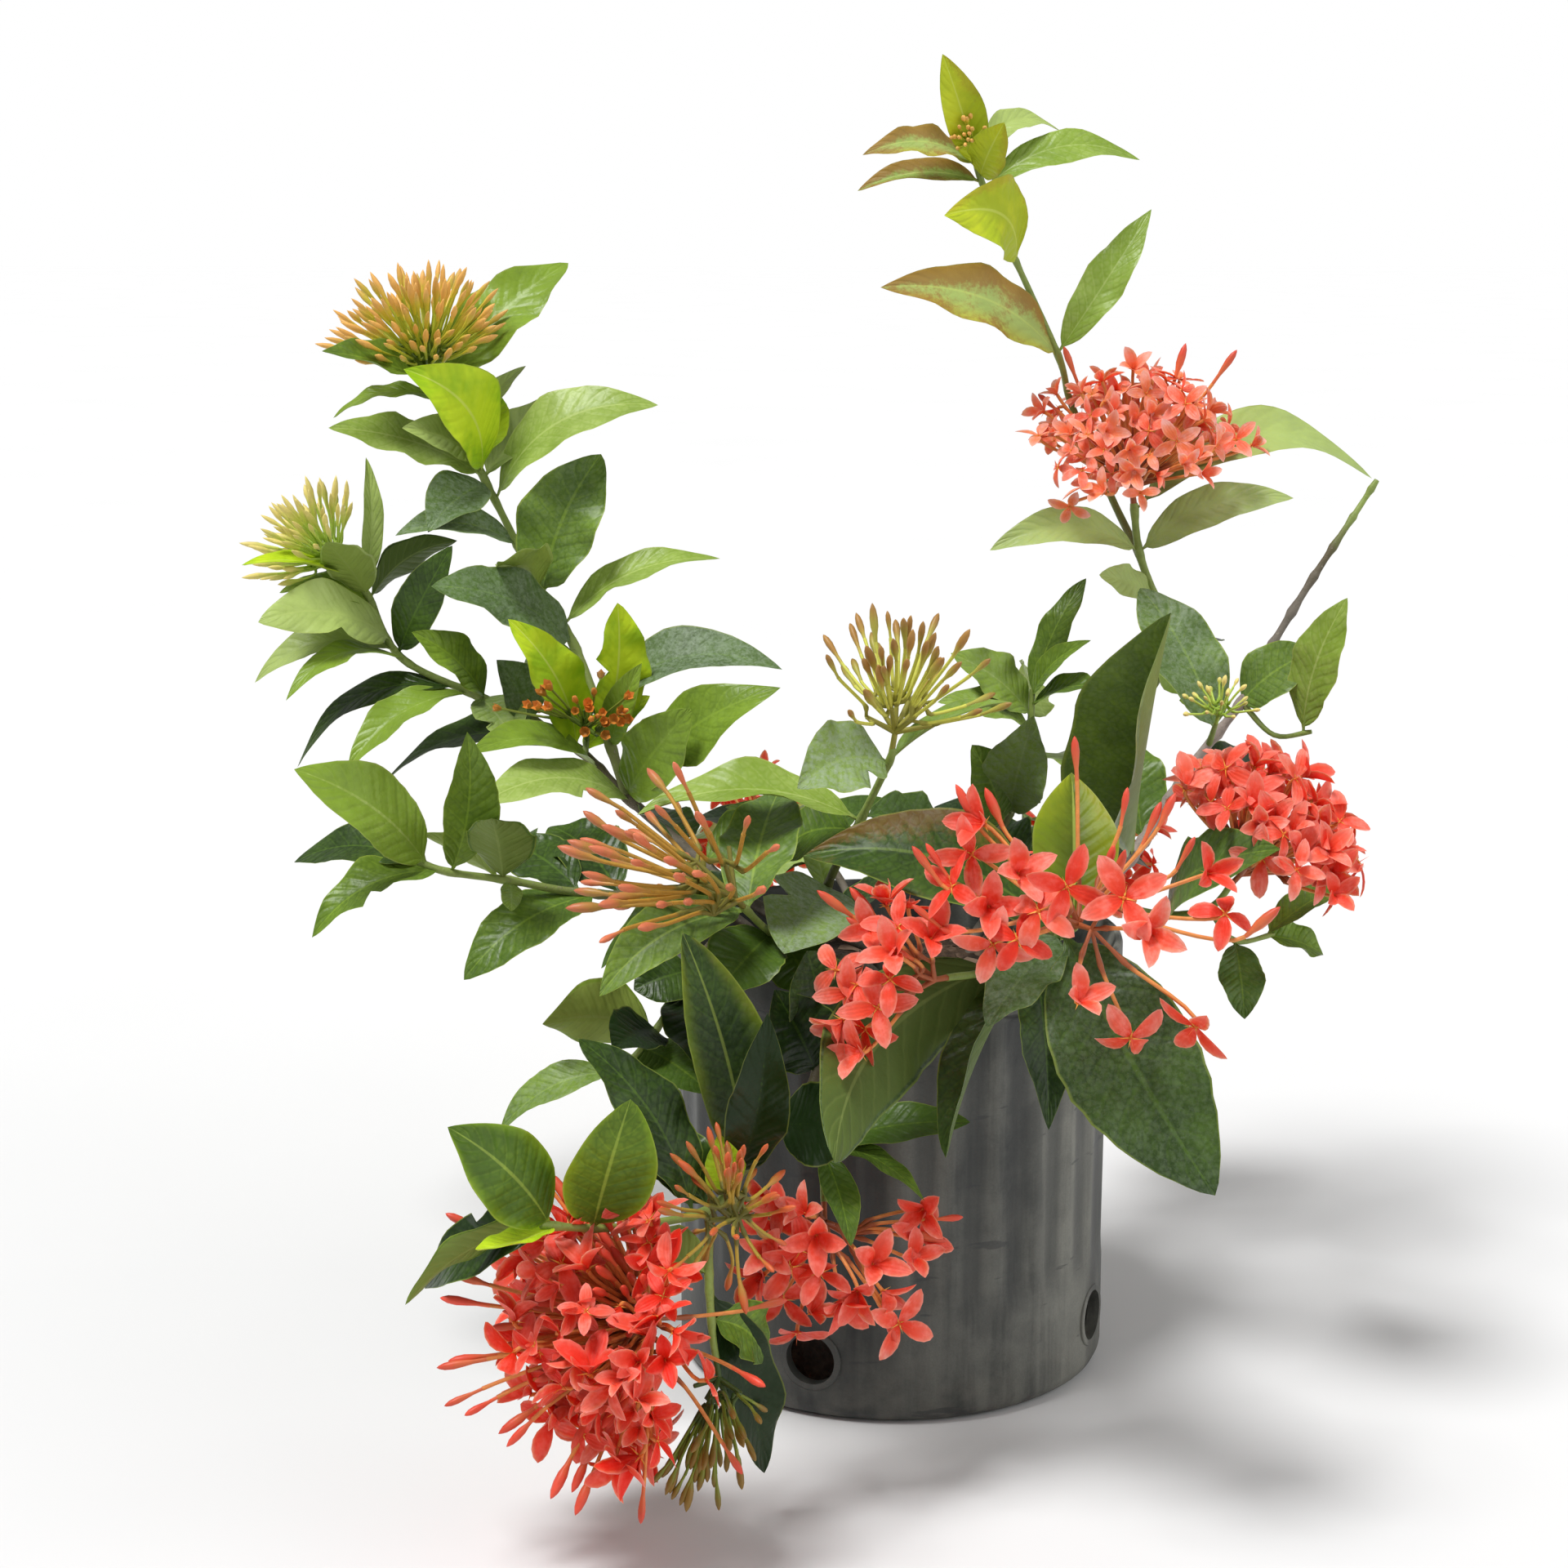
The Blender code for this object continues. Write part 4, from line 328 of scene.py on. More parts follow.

# %% [markdown]
# Each head is a table: the branch that it sits on, its kind, how far it reaches in cm, and how much
# its florets face the eye (a minus turns them away). A dome is the place that it aims at, its half
# angle and how many florets and buds it holds. Flowers and buds that stand out by themselves are
# given by (u, v), and `more` buds lie between those. Some heads say more: `lift` turns the buds
# upwards, `stray` turns the florets by chance, `size` and `tints_and_painted_light` are ranges,
# `bud_side` is where most are buds, nothing grows past the `edge` (a, b, most), where
# a * u + b * v > most, and a `crowded` head keeps all its buds, even those near a leaf. The range
# of
# tints also paints light and shade: it is high on a head in bright light and low on one in shade.

# %% Heads
HEADS = {
    "buds_tall_left": dict(
        on=("stem_back_left", "tall"), kind="young", reach=6.6,
        dome=((-22.8, 32, 19), 74, 0, 150)),
    "buds_pale_left": dict(
        on=("stem_back_left", "trunk"), kind="pale", reach=5.3,
        dome=((-32, 17.5, 15), 60, 0, 78)),
    "calyces_left": dict(
        on=("stem_back_left", "spur"), kind="calyx", reach=4.6, more=14,
        buds=[(-16.5, 6.8), (-15.6, 6.5), (-14.6, 6.2), (-16.8, 5.5), (-15, 5.8), (-17.8, 4.7),
              (-17, 4.1), (-16.2, 5), (-14.6, 4.8), (-13.8, 3.8), (-12.8, 5.2), (-12, 5),
              (-11.2, 6.8), (-10.4, 7), (-9.2, 6.8), (-10.8, 5.2), (-9.4, 5.5), (-12.8, 4.5),
              (-9.7, 4.5), (-9.5, 4), (-11.8, 4), (-11, 3.9), (-12.2, 3.2), (-10.9, 3)]),
    "buds_front": dict(
        on=("stem_bud_front", "trunk"), kind="salmon", reach=8.8, more=12,
        buds=[(-12.4, -0.1), (-12.1, -1.8), (-11.2, -2.5), (-12.3, -3.4), (-13.9, -3.8),
              (-12.4, -5.4), (-12.9, -6.5), (-13.4, -7.6), (-11.5, -9.8), (-8.4, 1), (-6.7, 1.2),
              (-7.8, -1.4), (-6.8, -0.8), (-2.1, -1.8), (-0.2, -3.7), (-1.5, -4.8), (-1.1, -6.3),
              (-10.5, -1.5), (-12.3, -6), (-10, -6.3), (-7.5, -4.5), (-6.1, -5.3), (-12, -3.8),
              (-8.8, -8.8), (-8, -6.2), (-6, -7.2), (-3.4, -6.3), (-10.8, -4.4), (-9.4, -2.9),
              (-11.4, -7.4)]),
    "buds_middle": dict(
        on=("stem_middle", "trunk"), kind="green", reach=6.8, more=14, lift=0.12,
        buds=[(4.4, 10.5), (5.4, 11.1), (6.3, 10.8), (6.8, 10.3), (7.3, 10.4), (8.5, 9.8),
              (9.4, 10.3), (9.3, 9.3), (11.4, 9.5), (2.5, 9), (2.5, 8.1), (5, 8.5), (5.8, 8.5),
              (6.5, 7.8), (7.6, 7.8), (9.5, 8.3), (10.9, 7.5), (12.8, 7.8), (9, 6.5),
              (4.9, 5.8), (3.9, 4.6), (12.8, 5.5), (13.8, 4.9), (12.3, 4.6), (8.5, 5),
              (7.9, 9.5), (10.2, 6.2), (3.6, 7.2)]),
    # Painted light: a high range of tints paints this head's florets lighter and more orange.
    "bloom_top_right": dict(
        on=("stem_top_right", "trunk"), kind="coral", reach=6.9, face=0.2, stray=0.8,
        dome=((24.6, 26.2, 13.5), 82, 112, 14), size=(0.62, 0.86), tints_and_painted_light=(0.9, 1.7),
        edge=(5, -8, -29),
        flowers=[(17.5, 17), (18.3, 18.2), (19.7, 17.8), (21.8, 17.8), (25.5, 19), (28.6, 20.7),
                 (15.6, 21.3), (16.8, 19.4), (20.8, 18.6), (17.6, 20.4)],
        buds=[(17.2, 26.6), (27.6, 26.4), (24.6, 27), (15.4, 24)]),
    "buds_top": dict(
        on=("stem_top_right", "young"), kind="young", reach=2.6, more=12, crowded=True,
        buds=[(10.3, 39.6), (10.7, 40.3), (11.2, 40.8), (11.7, 40.4), (11, 39.8), (11.5, 39.4),
              (12, 39.9), (12.4, 40.3), (10.5, 38.9), (12.2, 39.2), (11.1, 39.1), (10.9, 41)]),
    "bloom_right": dict(
        on=("stem_right", "bloom"), kind="coral", reach=6.1, face=0.35,
        edge=(-3.5, -4.5, -82),
        dome=((30, 2.8, -10.5), 82, 80, 5), size=(0.85, 1.15), tints_and_painted_light=(0.35, 1.0)),
    "buds_right": dict(
        on=("stem_right", "spur"), kind="pale", reach=2.4,
        dome=((26.6, 8, 0.5), 80, 0, 20)),
    "bloom_front_right": dict(
        on=("stem_front_right", "trunk"), kind="coral", reach=5.4, face=0.72, stray=0.5,
        size=(1.0, 1.22), lift=0.7,
        flowers=[(12.3, -2.5), (11.5, -4.3), (10.3, -6.3), (12.5, -7.5), (12.8, -9.8),
                 (14.3, -9.5), (14.3, -5.5), (17.3, -6.3), (20.8, -7), (22.3, -9),
                 (25.9, -5.5), (18, -13.4), (21.2, -15.5), (25.2, -14.8), (27, -8), (15.6, -7.8)],
        buds=[(17.8, 2.7), (10.5, 0), (12.3, -0.2), (21, -0.4), (23, -1.3), (24, -0.5),
              (25.3, -3), (20.3, -3.5), (20.9, -4), (8, -4), (8.8, -3.8), (30.4, -7.5),
              (8, -7.5), (9.5, -8.8)]),
    "bloom_front_side": dict(
        on=("stem_front_right", "side"), kind="coral", reach=3.8, face=0.45, size=(0.95, 1.15),
        flowers=[(6.3, -7.5), (5.3, -9), (4.5, -12.3), (6.5, -12), (4, -12.8), (5, -15),
                 (4.8, -16.5), (7, -8.8), (9, -9.5), (3.2, -11.4), (6.9, -10.4),
                 (5.7, -13.7), (3.6, -14.4), (7.6, -7.6)],
        buds=[(2, -6.5), (4, -6.3), (4, -8.3), (4.5, -7.8), (6.3, -10)]),
    # Painted shade: a low range of tints paints this head's florets deeper.
    "bloom_low_left": dict(
        on=("stem_low_front", "bloom"), kind="coral", reach=6.7, face=0.25,
        dome=((-18, -37, -32), 93, 176, 56), size=(0.72, 1.24), bud_side=(-1, -0.2, 0.2),
        tints_and_painted_light=(0, 0.75), stray=1.1, edge=(1, -0.05, -5.5),
        flowers=[(-4.8, -36.5), (-8.8, -35.4), (-6.8, -33.4)],
        buds=[(-12.8, -24.8), (-10.2, -26.6), (-14.6, -26.4), (-13.5, -25.5), (-11.3, -28.3),
              (-16, -22.5), (-14.3, -23.8), (-20.5, -26.4), (-20.5, -27.6), (-21, -35.7),
              (-20.6, -38), (-19.8, -38.8), (-20.3, -35.3), (-17.5, -39.8), (-17, -40.6),
              (-14.3, -43.8), (-13, -43.4), (-12.8, -44.8), (-8.8, -45.6), (-2.4, -42.5),
              (-1.3, -36.8), (0.5, -31.5), (-5, -33.8), (-20.3, -30), (-20.8, -31.5),
              (-17.8, -33.3), (-17, -32.3), (-17.3, -34.5), (-16.5, -35.3), (-12, -34),
              (-11.3, -38.8)]),
    "buds_low_front": dict(
        on=("stem_low_front", "crown"), kind="orange", reach=4.6, more=14,
        buds=[(-4.2, -20.5), (-7, -22.6), (-5.9, -22), (-3.5, -21.8), (-2.4, -21.9),
              (-0.9, -21.9), (0.1, -23.6), (-8, -25.5), (-6.8, -24.5), (-5.6, -24.1),
              (-4.3, -22), (0.6, -25.9), (0.3, -28.3), (-0.5, -30), (-2.3, -32.5),
              (-3.5, -30.9), (-6.9, -31.3), (-7, -30), (-5.8, -27.5), (-4.5, -27.6),
              (-7.6, -26.1), (-1.6, -23.4), (-3, -23), (-0.4, -25), (-5, -29.5)]),
    "buds_hanging": dict(
        on=("stem_low_front", "hanging"), kind="dark", reach=4.6, more=16,
        buds=[(-7, -44), (-4, -44.3), (-5.5, -43), (-0.9, -38.5), (-1.3, -39.3), (-1.8, -41.3),
              (-3.3, -41.8), (-4.7, -43), (-2.4, -40), (-7.5, -42.5), (-8.2, -43), (-5.6, -40.8),
              (-4, -40.3), (-6.5, -41.5), (-3, -39), (-6, -44.6), (-4.9, -41.8), (-2.6, -43)]),
    "bloom_low_middle": dict(
        on=("stem_low_front", "under"), kind="coral", reach=4.4, face=0.6, size=(0.9, 1.2),
        tints_and_painted_light=(0.3, 0.85),
        flowers=[(1.3, -26.3), (0, -25.5), (-0.8, -28.5), (1, -28.5), (0, -31.5), (0.8, -33.5),
                 (3.5, -31.5), (4.5, -31), (8.5, -26), (8.3, -27.8), (6, -31), (7.8, -29),
                 (7, -33), (-1, -25.5), (2.2, -30), (-0.6, -27), (-1.2, -30),
                 (0.4, -29.6), (1.6, -32.4), (5.4, -29.4), (2, -27.6)],
        buds=[(11.2, -26.5), (6.8, -34), (10, -28)]),
    "bloom_back_middle": dict(
        on=("stem_back_middle", "trunk"), kind="coral", reach=4.4, face=-0.3,
        dome=((-2.4, -2.5, 29), 76, 34, 4), size=(0.75, 1.0)),
    "bloom_back_right": dict(
        on=("stem_back_right", "trunk"), kind="coral", reach=4.4, face=-0.3,
        dome=((19.4, -2.5, 28), 76, 34, 4), size=(0.75, 1.0)),
}
print(len(HEADS), "heads")

# %% [markdown]
# The branches follow smooth curves through their places. Two versions of each curve are kept: a
# coarse one, which is where the solids' leaves grow from, and a fine one, for the bark. A branch
# that carries a head stops a little short of its last place, to leave room for the head's neck.

# %% Centre lines of the branches
SOIL_TOP = 22 * CM
STEM_DEPTH = 3 * CM
NECK_LENGTH = 1 * CM
LEAF_SET_BACK = 5 * MM
UPRIGHT_FOOT = 1.2 * CM
COARSE_STEP = 3.6 * CM
WOOD_STEP = 4 * MM


def smooth_route(points, spacing):
    """A smooth curve through the points, with a point about every `spacing` along it."""
    ends = [points[0] * 2 - points[1], *points, points[-1] * 2 - points[-2]]
    route = [points[0]]
    for a, b, c, d in zip(ends, ends[1:], ends[2:], ends[3:]):
        steps = max(1, round((c - b).length / spacing))
        for step in range(1, steps + 1):
            t = step / steps
            route.append(0.5 * (2 * b + (c - a) * t + (2 * a - 5 * b + 4 * c - d) * t ** 2
                                + (3 * b - a - 3 * c + d) * t ** 3))
    return route


def branch_routes(stem, spacing):
    """The centre line of each branch of a stem, and its end radii."""
    (x, y), branches = STEMS[stem]
    with_head = {head["on"][1] for head in HEADS.values() if head["on"][0] == stem}
    routes = {}
    for name, (start, end, places) in branches.items():
        points = [seen(*place) for place in places]
        if name == "trunk":
            foot = Vector((x * CM, y * CM, SOIL_TOP - STEM_DEPTH))
            points = [foot, foot + Vector((0, 0, STEM_DEPTH + UPRIGHT_FOOT)), *points]
        if name in with_head:
            back = (points[-2] - points[-1]).normalized()
            points[-1] = points[-1] + back * NECK_LENGTH
        routes[name] = (smooth_route(points, spacing), start * MM, end * MM)
    return routes


def nearest_on(routes, u, v):
    """The point of a stem's centre lines that shows nearest to (u, v), and the way it runs."""
    wanted = Vector((u, v))
    found = []
    for route, _, _ in routes.values():
        for a, b in zip(route[1:], route[2:]):
            start, end = as_seen(a), as_seen(b)
            along = end - start
            most = 1 - LEAF_SET_BACK / (b - a).length if b == route[-1] else 1
            share = min(max((wanted - start).dot(along) / along.length_squared, 0), most)
            miss = (start + along * share - wanted).length
            found.append((miss, a.lerp(b, share), (b - a).normalized()))
    return min(found, key=lambda one: one[0])[1:]


coarse = {stem: branch_routes(stem, COARSE_STEP) for stem in STEMS}
fine = {stem: branch_routes(stem, WOOD_STEP) for stem in STEMS}
print("centre lines:", sum(len(route[0]) for stem in fine.values() for route in stem.values()),
      "points")

# %% [markdown]
# Materials and Geometry Nodes are both trees of nodes, and a small pair of classes builds either.
# A Wire is an output socket that can be used in sums, so that shader maths reads like ordinary
# maths. A Board adds any other node: its kind, then its settings, then its sockets. What is
# wanted often, such as a mix of two colours or noise, has a short name of its own.

# %% Wires and boards


class Wire:
    """An output socket that can be used in sums."""

    def __init__(self, board, socket):
        self.board, self.socket = board, socket

    def __add__(self, other):
        return self.board.maths("ADD", self, other)

    def __mul__(self, other):
        return self.board.maths("MULTIPLY", self, other)

    def __sub__(self, other):
        return self.board.maths("SUBTRACT", self, other)

    def __rsub__(self, other):
        return self.board.maths("SUBTRACT", other, self)

    def __abs__(self):
        return self.board.maths("ABSOLUTE", self)

    __radd__ = __add__
    __rmul__ = __mul__

    def share(self):
        """What is left after the whole number."""
        return self.board.maths("FRACT", self)

    def rise(self, low, high):
        """0 before low, 1 past high, with a soft step between. Low may be the larger."""
        return self.board.node("ShaderNodeMapRange", dict(interpolation_type="SMOOTHSTEP"),
                               {0: self, 1: low, 2: high})


class Board:
    """A node tree, and short ways to add to it."""

    def __init__(self, tree):
        self.tree = tree

    def node(self, kind, settings=None, sockets=None, out=0):
        made = self.tree.nodes.new(kind)
        for name, value in (settings or {}).items():
            setattr(made, name, value)
        for key, value in (sockets or {}).items():
            if isinstance(value, Wire):
                self.tree.links.new(value.socket, made.inputs[key])
            else:
                made.inputs[key].default_value = value
        return Wire(self, made.outputs[out])

    def maths(self, operation, *values):
        return self.node("ShaderNodeMath", dict(operation=operation), dict(enumerate(values)))

    def threefold(self, number):
        """A vector of one number, three times."""
        return self.node("ShaderNodeCombineXYZ", None, dict.fromkeys(range(3), number))

    def parts(self, vector):
        """The three numbers of a vector."""
        split = self.node("ShaderNodeSeparateXYZ", None, {0: vector})
        return [Wire(self, out) for out in split.socket.node.outputs]

    def mix(self, factor, first, second):
        """From the first colour to the second."""
        ends = {6: first, 7: second}
        colours = {k: (*c, 1) if isinstance(c, tuple) else c for k, c in ends.items()}
        return self.node("ShaderNodeMix", dict(data_type="RGBA"), {0: factor, **colours}, 2)

    def tinted(self, colour, amount):
        """The colour made lighter or darker by an amount that varies."""
        return self.node("ShaderNodeVectorMath", dict(operation="MULTIPLY"),
                         {0: colour, 1: self.threefold(amount)})

    def place(self, stretch=None):
        """Where a point lies on its object, each way times a number if the place is stretched."""
        own = self.node("ShaderNodeTexCoord", None, None, 3)
        return self.node("ShaderNodeMapping", None, {0: own, 3: stretch}) if stretch else own

    def noise(self, place, scale, detail=2.0, roughness=0.5):
        return self.node("ShaderNodeTexNoise", None,
                         {0: place, 2: scale, 3: detail, 4: roughness})

    def attribute(self, name, out=1):
        """A value that the mesh carries: 0 a colour, 1 a vector, 2 a number, 3 its alpha."""
        return self.node("ShaderNodeAttribute", dict(attribute_name=name), None, out)

    def bump(self, strength, depth, height):
        """A bent normal from a height that varies, `depth` deep in metres."""
        return self.node("ShaderNodeBump", None, {0: strength, 1: depth, 3: height})


print("wires and boards are ready")

# %% [markdown]
# A material begins with the sockets of its shader that stay plain, and its varying ones are fed by
# wires. A Geometry Nodes tree begins with named inputs and ends by turning its copies into one
# plain mesh. The tree of an object is run as a modifier, and the mesh that comes out is kept.

# %% Materials and Geometry Nodes trees


def new_material(name, **constants):
    """A material with its shader's plain sockets set, its board, and a way to feed the rest."""
    made = bpy.data.materials.new(name)
    made.use_nodes = True
    shader = made.node_tree.nodes["Principled BSDF"]
    for socket, value in constants.items():
        shader.inputs[socket.replace("_", " ")].default_value = value
    board = Board(made.node_tree)

    def feed(**wires):
        for socket, wire in wires.items():
            made.node_tree.links.new(wire.socket, shader.inputs[socket.replace("_", " ")])

    return made, board, feed


class TreeBoard(Board):
    """A board for a Geometry Nodes tree."""

    def named(self, name, kind="FLOAT"):
        """A value that the points carry."""
        return self.node("GeometryNodeInputNamedAttribute", dict(data_type=kind), {0: name})

    def chance(self, low, high, seed):
        """A number between low and high for each point."""
        return self.node("FunctionNodeRandomValue", None, {2: low, 3: high, 8: seed}, 1)

    def turned(self, rotation, axis, angle):
        """A rotation, and then a turn about an axis of its own."""
        turn = self.node("FunctionNodeAxisAngleToRotation", None, {0: axis, 1: angle})
        return self.node("FunctionNodeRotateRotation", dict(rotation_space="LOCAL"),
                         {0: rotation, 1: turn})

    def copies(self, points, shape, rotation, size, chosen=True):
        """Copies of an object on the chosen points."""
        piece = self.node("GeometryNodeObjectInfo", None, {0: shape}, 4)
        return self.node("GeometryNodeInstanceOnPoints", None, {
            0: points, 1: chosen, 2: piece, 5: rotation, 6: self.threefold(size)})

    def close(self, result, material):
        """Ends the tree: all copies become one plain mesh with one material."""
        plain = self.node("GeometryNodeRealizeInstances", None, {0: result})
        done = self.node("GeometryNodeSetMaterial", None, {0: plain, 2: material})
        self.tree.links.new(done.socket, self.tree.nodes.new("NodeGroupOutput").inputs[0])
        return self.tree


def new_tree(name, *numbers):
    """A board with a geometry input and named numbers, and the wires from them."""
    tree = bpy.data.node_groups.new(name, "GeometryNodeTree")
    tree.interface.new_socket("Geometry", in_out="INPUT", socket_type="NodeSocketGeometry")
    for number, kind in numbers:
        tree.interface.new_socket(number, in_out="INPUT", socket_type="NodeSocket" + kind)
    tree.interface.new_socket("Geometry", in_out="OUTPUT", socket_type="NodeSocketGeometry")
    board = TreeBoard(tree)
    entry = tree.nodes.new("NodeGroupInput")
    return board, [Wire(board, entry.outputs[i]) for i in range(len(numbers) + 1)]


def evaluated(shape):
    """What an object's modifiers make of it, as a plain mesh."""
    graph = bpy.context.evaluated_depsgraph_get()
    return bpy.data.meshes.new_from_object(shape.evaluated_get(graph), depsgraph=graph)


def run_tree(shape, tree, **inputs):
    """What a tree makes of an object, as a plain mesh. The object is used up."""
    modifier = shape.modifiers.new("tree", "NODES")
    modifier.node_group = tree
    for item in tree.interface.items_tree:
        if item.in_out == "INPUT" and item.name in inputs:
            modifier[item.identifier] = inputs[item.name]
    mesh = evaluated(shape)
    bpy.data.objects.remove(shape, do_unlink=True)
    return mesh


print("materials and trees can be made")

# %% [markdown]
# The plain shapes that this script builds point by point are mostly rings round an axis. These
# helpers place a ring, join rings with faces, and make objects and finished pieces of the result.

# %% Meshes, objects and pieces


def around(count):
    """The cosine and sine of each of `count` even steps round a circle."""
    return [(math.cos(math.tau * k / count), math.sin(math.tau * k / count))
            for k in range(count)]


def ring_faces(rings, count):
    """The faces between rings of `count` points, where each ring follows the one before."""
    faces = []
    for first in range(0, (rings - 1) * count, count):
        for k in range(count):
            a, b = first + k, first + (k + 1) % count
            faces.append((a, b, b + count, a + count))
    return faces


def fan(first, count):
    """The faces from a ring that starts at `first` to the one point that follows it."""
    return [(first + k, first + (k + 1) % count, first + count) for k in range(count)]


def bottom(count):
    """The face that closes the first ring."""
    return tuple(reversed(range(count)))


def new_object(name, points, faces=(), edges=(), **attributes):
    """An object of a plain mesh. An attribute is its type and one value for each point."""
    mesh = bpy.data.meshes.new(name)
    mesh.from_pydata([tuple(point) for point in points], edges, faces)
    fields = {"FLOAT": "value", "FLOAT_VECTOR": "vector", "FLOAT_COLOR": "color"}
    for label, (kind, values) in attributes.items():
        layer = mesh.attributes.new(label, kind, "POINT")
        layer.data.foreach_set(fields[kind], np.array(values, np.float32).ravel())
    shape = bpy.data.objects.new(name, mesh)
    bpy.context.scene.collection.objects.link(shape)
    return shape


def face_outwards(shape):
    """Turns every face of a closed shape to look out of it."""
    facing = bmesh.new()
    facing.from_mesh(shape.data)
    bmesh.ops.recalc_face_normals(facing, faces=facing.faces)
    facing.to_mesh(shape.data)
    facing.free()


def shade(mesh, sharp):
    """Smooth shading, with edges sharper than `sharp` degrees left crisp."""
    mesh.shade_smooth()
    mesh.set_sharp_from_angle(angle=math.radians(sharp))


made_pieces = []


def finish_piece(name, mesh, node, sharp=None):
    """Names a finished mesh, sets it on the root body and hides the solid that it stands for."""
    mesh.name = name
    piece = bpy.data.objects.new(name, mesh)
    bpy.context.scene.collection.objects.link(piece)
    if sharp:
        shade(mesh, sharp)
    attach(piece, "root")
    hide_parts(node)
    made_pieces.append(piece)


print("meshes and pieces can be made")

# %% [markdown]
# The pot is blow-moulded black plastic, grey with dust and old watering. A real one is one thin
# wall with shallow flutes, a plain band at the foot, a rolled lip and drain holes round the foot,
# each in a slightly raised ring. A turned profile gives all of that, since only the flutes change
# round the pot: each ring of points is pushed in and out by a smooth wave.

# %% The pot's wall
POT_HEIGHT = 24.5 * CM
POT_RADIUS = 12.1 * CM
POT_WALL = 2 * MM
RIM_RADIUS = 12.9 * CM
RIM_HEIGHT = 18 * MM
FOOT_BAND = 70 * MM
FLUTES = 28
FLUTE_DEPTH = 2 * MM
FLUTE_BREADTH = 0.7
DRAIN_RADIUS = 14 * MM
DRAIN_HEIGHT = 34 * MM
DRAIN_ANGLES = (-113, -23, 67, 157)
ROUND = FLUTES * 12


def closed_faces(rings, count):
    """The faces of a closed shape of rings: its two ends and what lies between."""
    top = tuple(range((rings - 1) * count, rings * count))
    return [bottom(count), top, *ring_faces(rings, count)]


def turned(profile, count):
    """A closed shape of rings: each is a height, a radius and how deep the flutes are there."""
    points = []
    for height, radius, depth in profile:
        for k, (cosine, sine) in enumerate(around(count)):
            wave = 0.5 - 0.5 * math.cos(FLUTES * (math.tau * k / count))
            reach = radius - depth * wave ** FLUTE_BREADTH
            points.append(Vector((reach * cosine, reach * sine, height)))
    return points, closed_faces(len(profile), count)


def pot_profile():
    """The rings from the bottom up the outside, over the lip and down the inside."""
    lip_foot = POT_HEIGHT - RIM_HEIGHT
    inner = POT_RADIUS - POT_WALL - FLUTE_DEPTH
    rows = [(0.0, POT_RADIUS - 8 * MM, 0), (0.6 * MM, POT_RADIUS - 6 * MM, 0),
            (3 * MM, POT_RADIUS - 2.4 * MM, 0), (7 * MM, POT_RADIUS - 0.4 * MM, 0),
            (9 * MM, POT_RADIUS, 0), (30 * MM, POT_RADIUS, 0),
            (FOOT_BAND - 12 * MM, POT_RADIUS, 0)]
    for step in range(1, 7):
        rows.append((FOOT_BAND - 12 * MM + 3 * step * MM, POT_RADIUS, FLUTE_DEPTH * step / 6))
    for step in range(1, 9):
        height = FOOT_BAND + 6 * MM + (lip_foot - 16 * MM - FOOT_BAND) * step / 8
        rows.append((height, POT_RADIUS + 1 * MM * step / 8, FLUTE_DEPTH))
    rows += [(lip_foot - 5 * MM, POT_RADIUS + 1 * MM, FLUTE_DEPTH * 0.6),
             (lip_foot - 2 * MM, POT_RADIUS + 2 * MM, 0), (lip_foot, RIM_RADIUS - 2 * MM, 0),
             (lip_foot + 1.5 * MM, RIM_RADIUS - 0.3 * MM, 0), (lip_foot + 4 * MM, RIM_RADIUS, 0),
             (POT_HEIGHT - 3 * MM, RIM_RADIUS, 0), (POT_HEIGHT - 1 * MM, RIM_RADIUS - 0.6 * MM, 0),
             (POT_HEIGHT, RIM_RADIUS - 2.2 * MM, 0),
             (POT_HEIGHT - 0.8 * MM, RIM_RADIUS - 4 * MM, 0),
             (POT_HEIGHT - 4 * MM, RIM_RADIUS - 5.4 * MM, 0), (lip_foot, inner + 1 * MM, 0),
             (12 * MM, inner - 2 * MM, 0), (2.5 * MM, inner - 6 * MM, 0)]
    return rows


pot_points, pot_faces = turned(pot_profile(), ROUND)
pot_wall = new_object("pot_wall", pot_points, pot_faces)
print("pot wall:", len(pot_faces), "faces")

# %% [markdown]
# Each drain hole has a ring round it that stands a little proud, where the mould pinched the
# plastic. Booleans add the rings and then cut the holes through both.

# %% Rings and drain holes
HOLE_ROUND = 40


def hole_piece(angle, radius, reach_in, reach_out, rounding):
    """A short plug that points out of the pot, with a rounded outer edge."""
    out = Vector((math.cos(math.radians(angle)), math.sin(math.radians(angle)), 0))
    side = out.cross(Vector((0, 0, 1)))
    centre = Vector((0, 0, DRAIN_HEIGHT)) + out * POT_RADIUS
    rows = [(-reach_in, 1.0), (reach_out - rounding, 1.0), (reach_out, 1 - rounding / radius)]
    points = []
    for along, share in rows:
        for cosine, sine in around(HOLE_ROUND):
            way = side * cosine + Vector((0, 0, 1)) * sine
            points.append(centre + out * along + way * radius * share)
    shape = new_object("hole_piece", points, closed_faces(len(rows), HOLE_ROUND))
    face_outwards(shape)
    return shape


def combine(shape, others, operation):
    """Adds the others to a shape, or cuts them away. The others are used up."""
    group = bpy.data.collections.new("others")
    bpy.context.scene.collection.children.link(group)
    for other in others:
        bpy.context.scene.collection.objects.unlink(other)
        group.objects.link(other)
    change = shape.modifiers.new("change", "BOOLEAN")
    change.operand_type = "COLLECTION"
    change.operation = operation
    change.solver = "MANIFOLD"
    change.collection = group
    mesh = evaluated(shape)
    shape.modifiers.clear()
    shape.data = mesh
    for other in others:
        bpy.data.objects.remove(other, do_unlink=True)
    bpy.data.collections.remove(group)


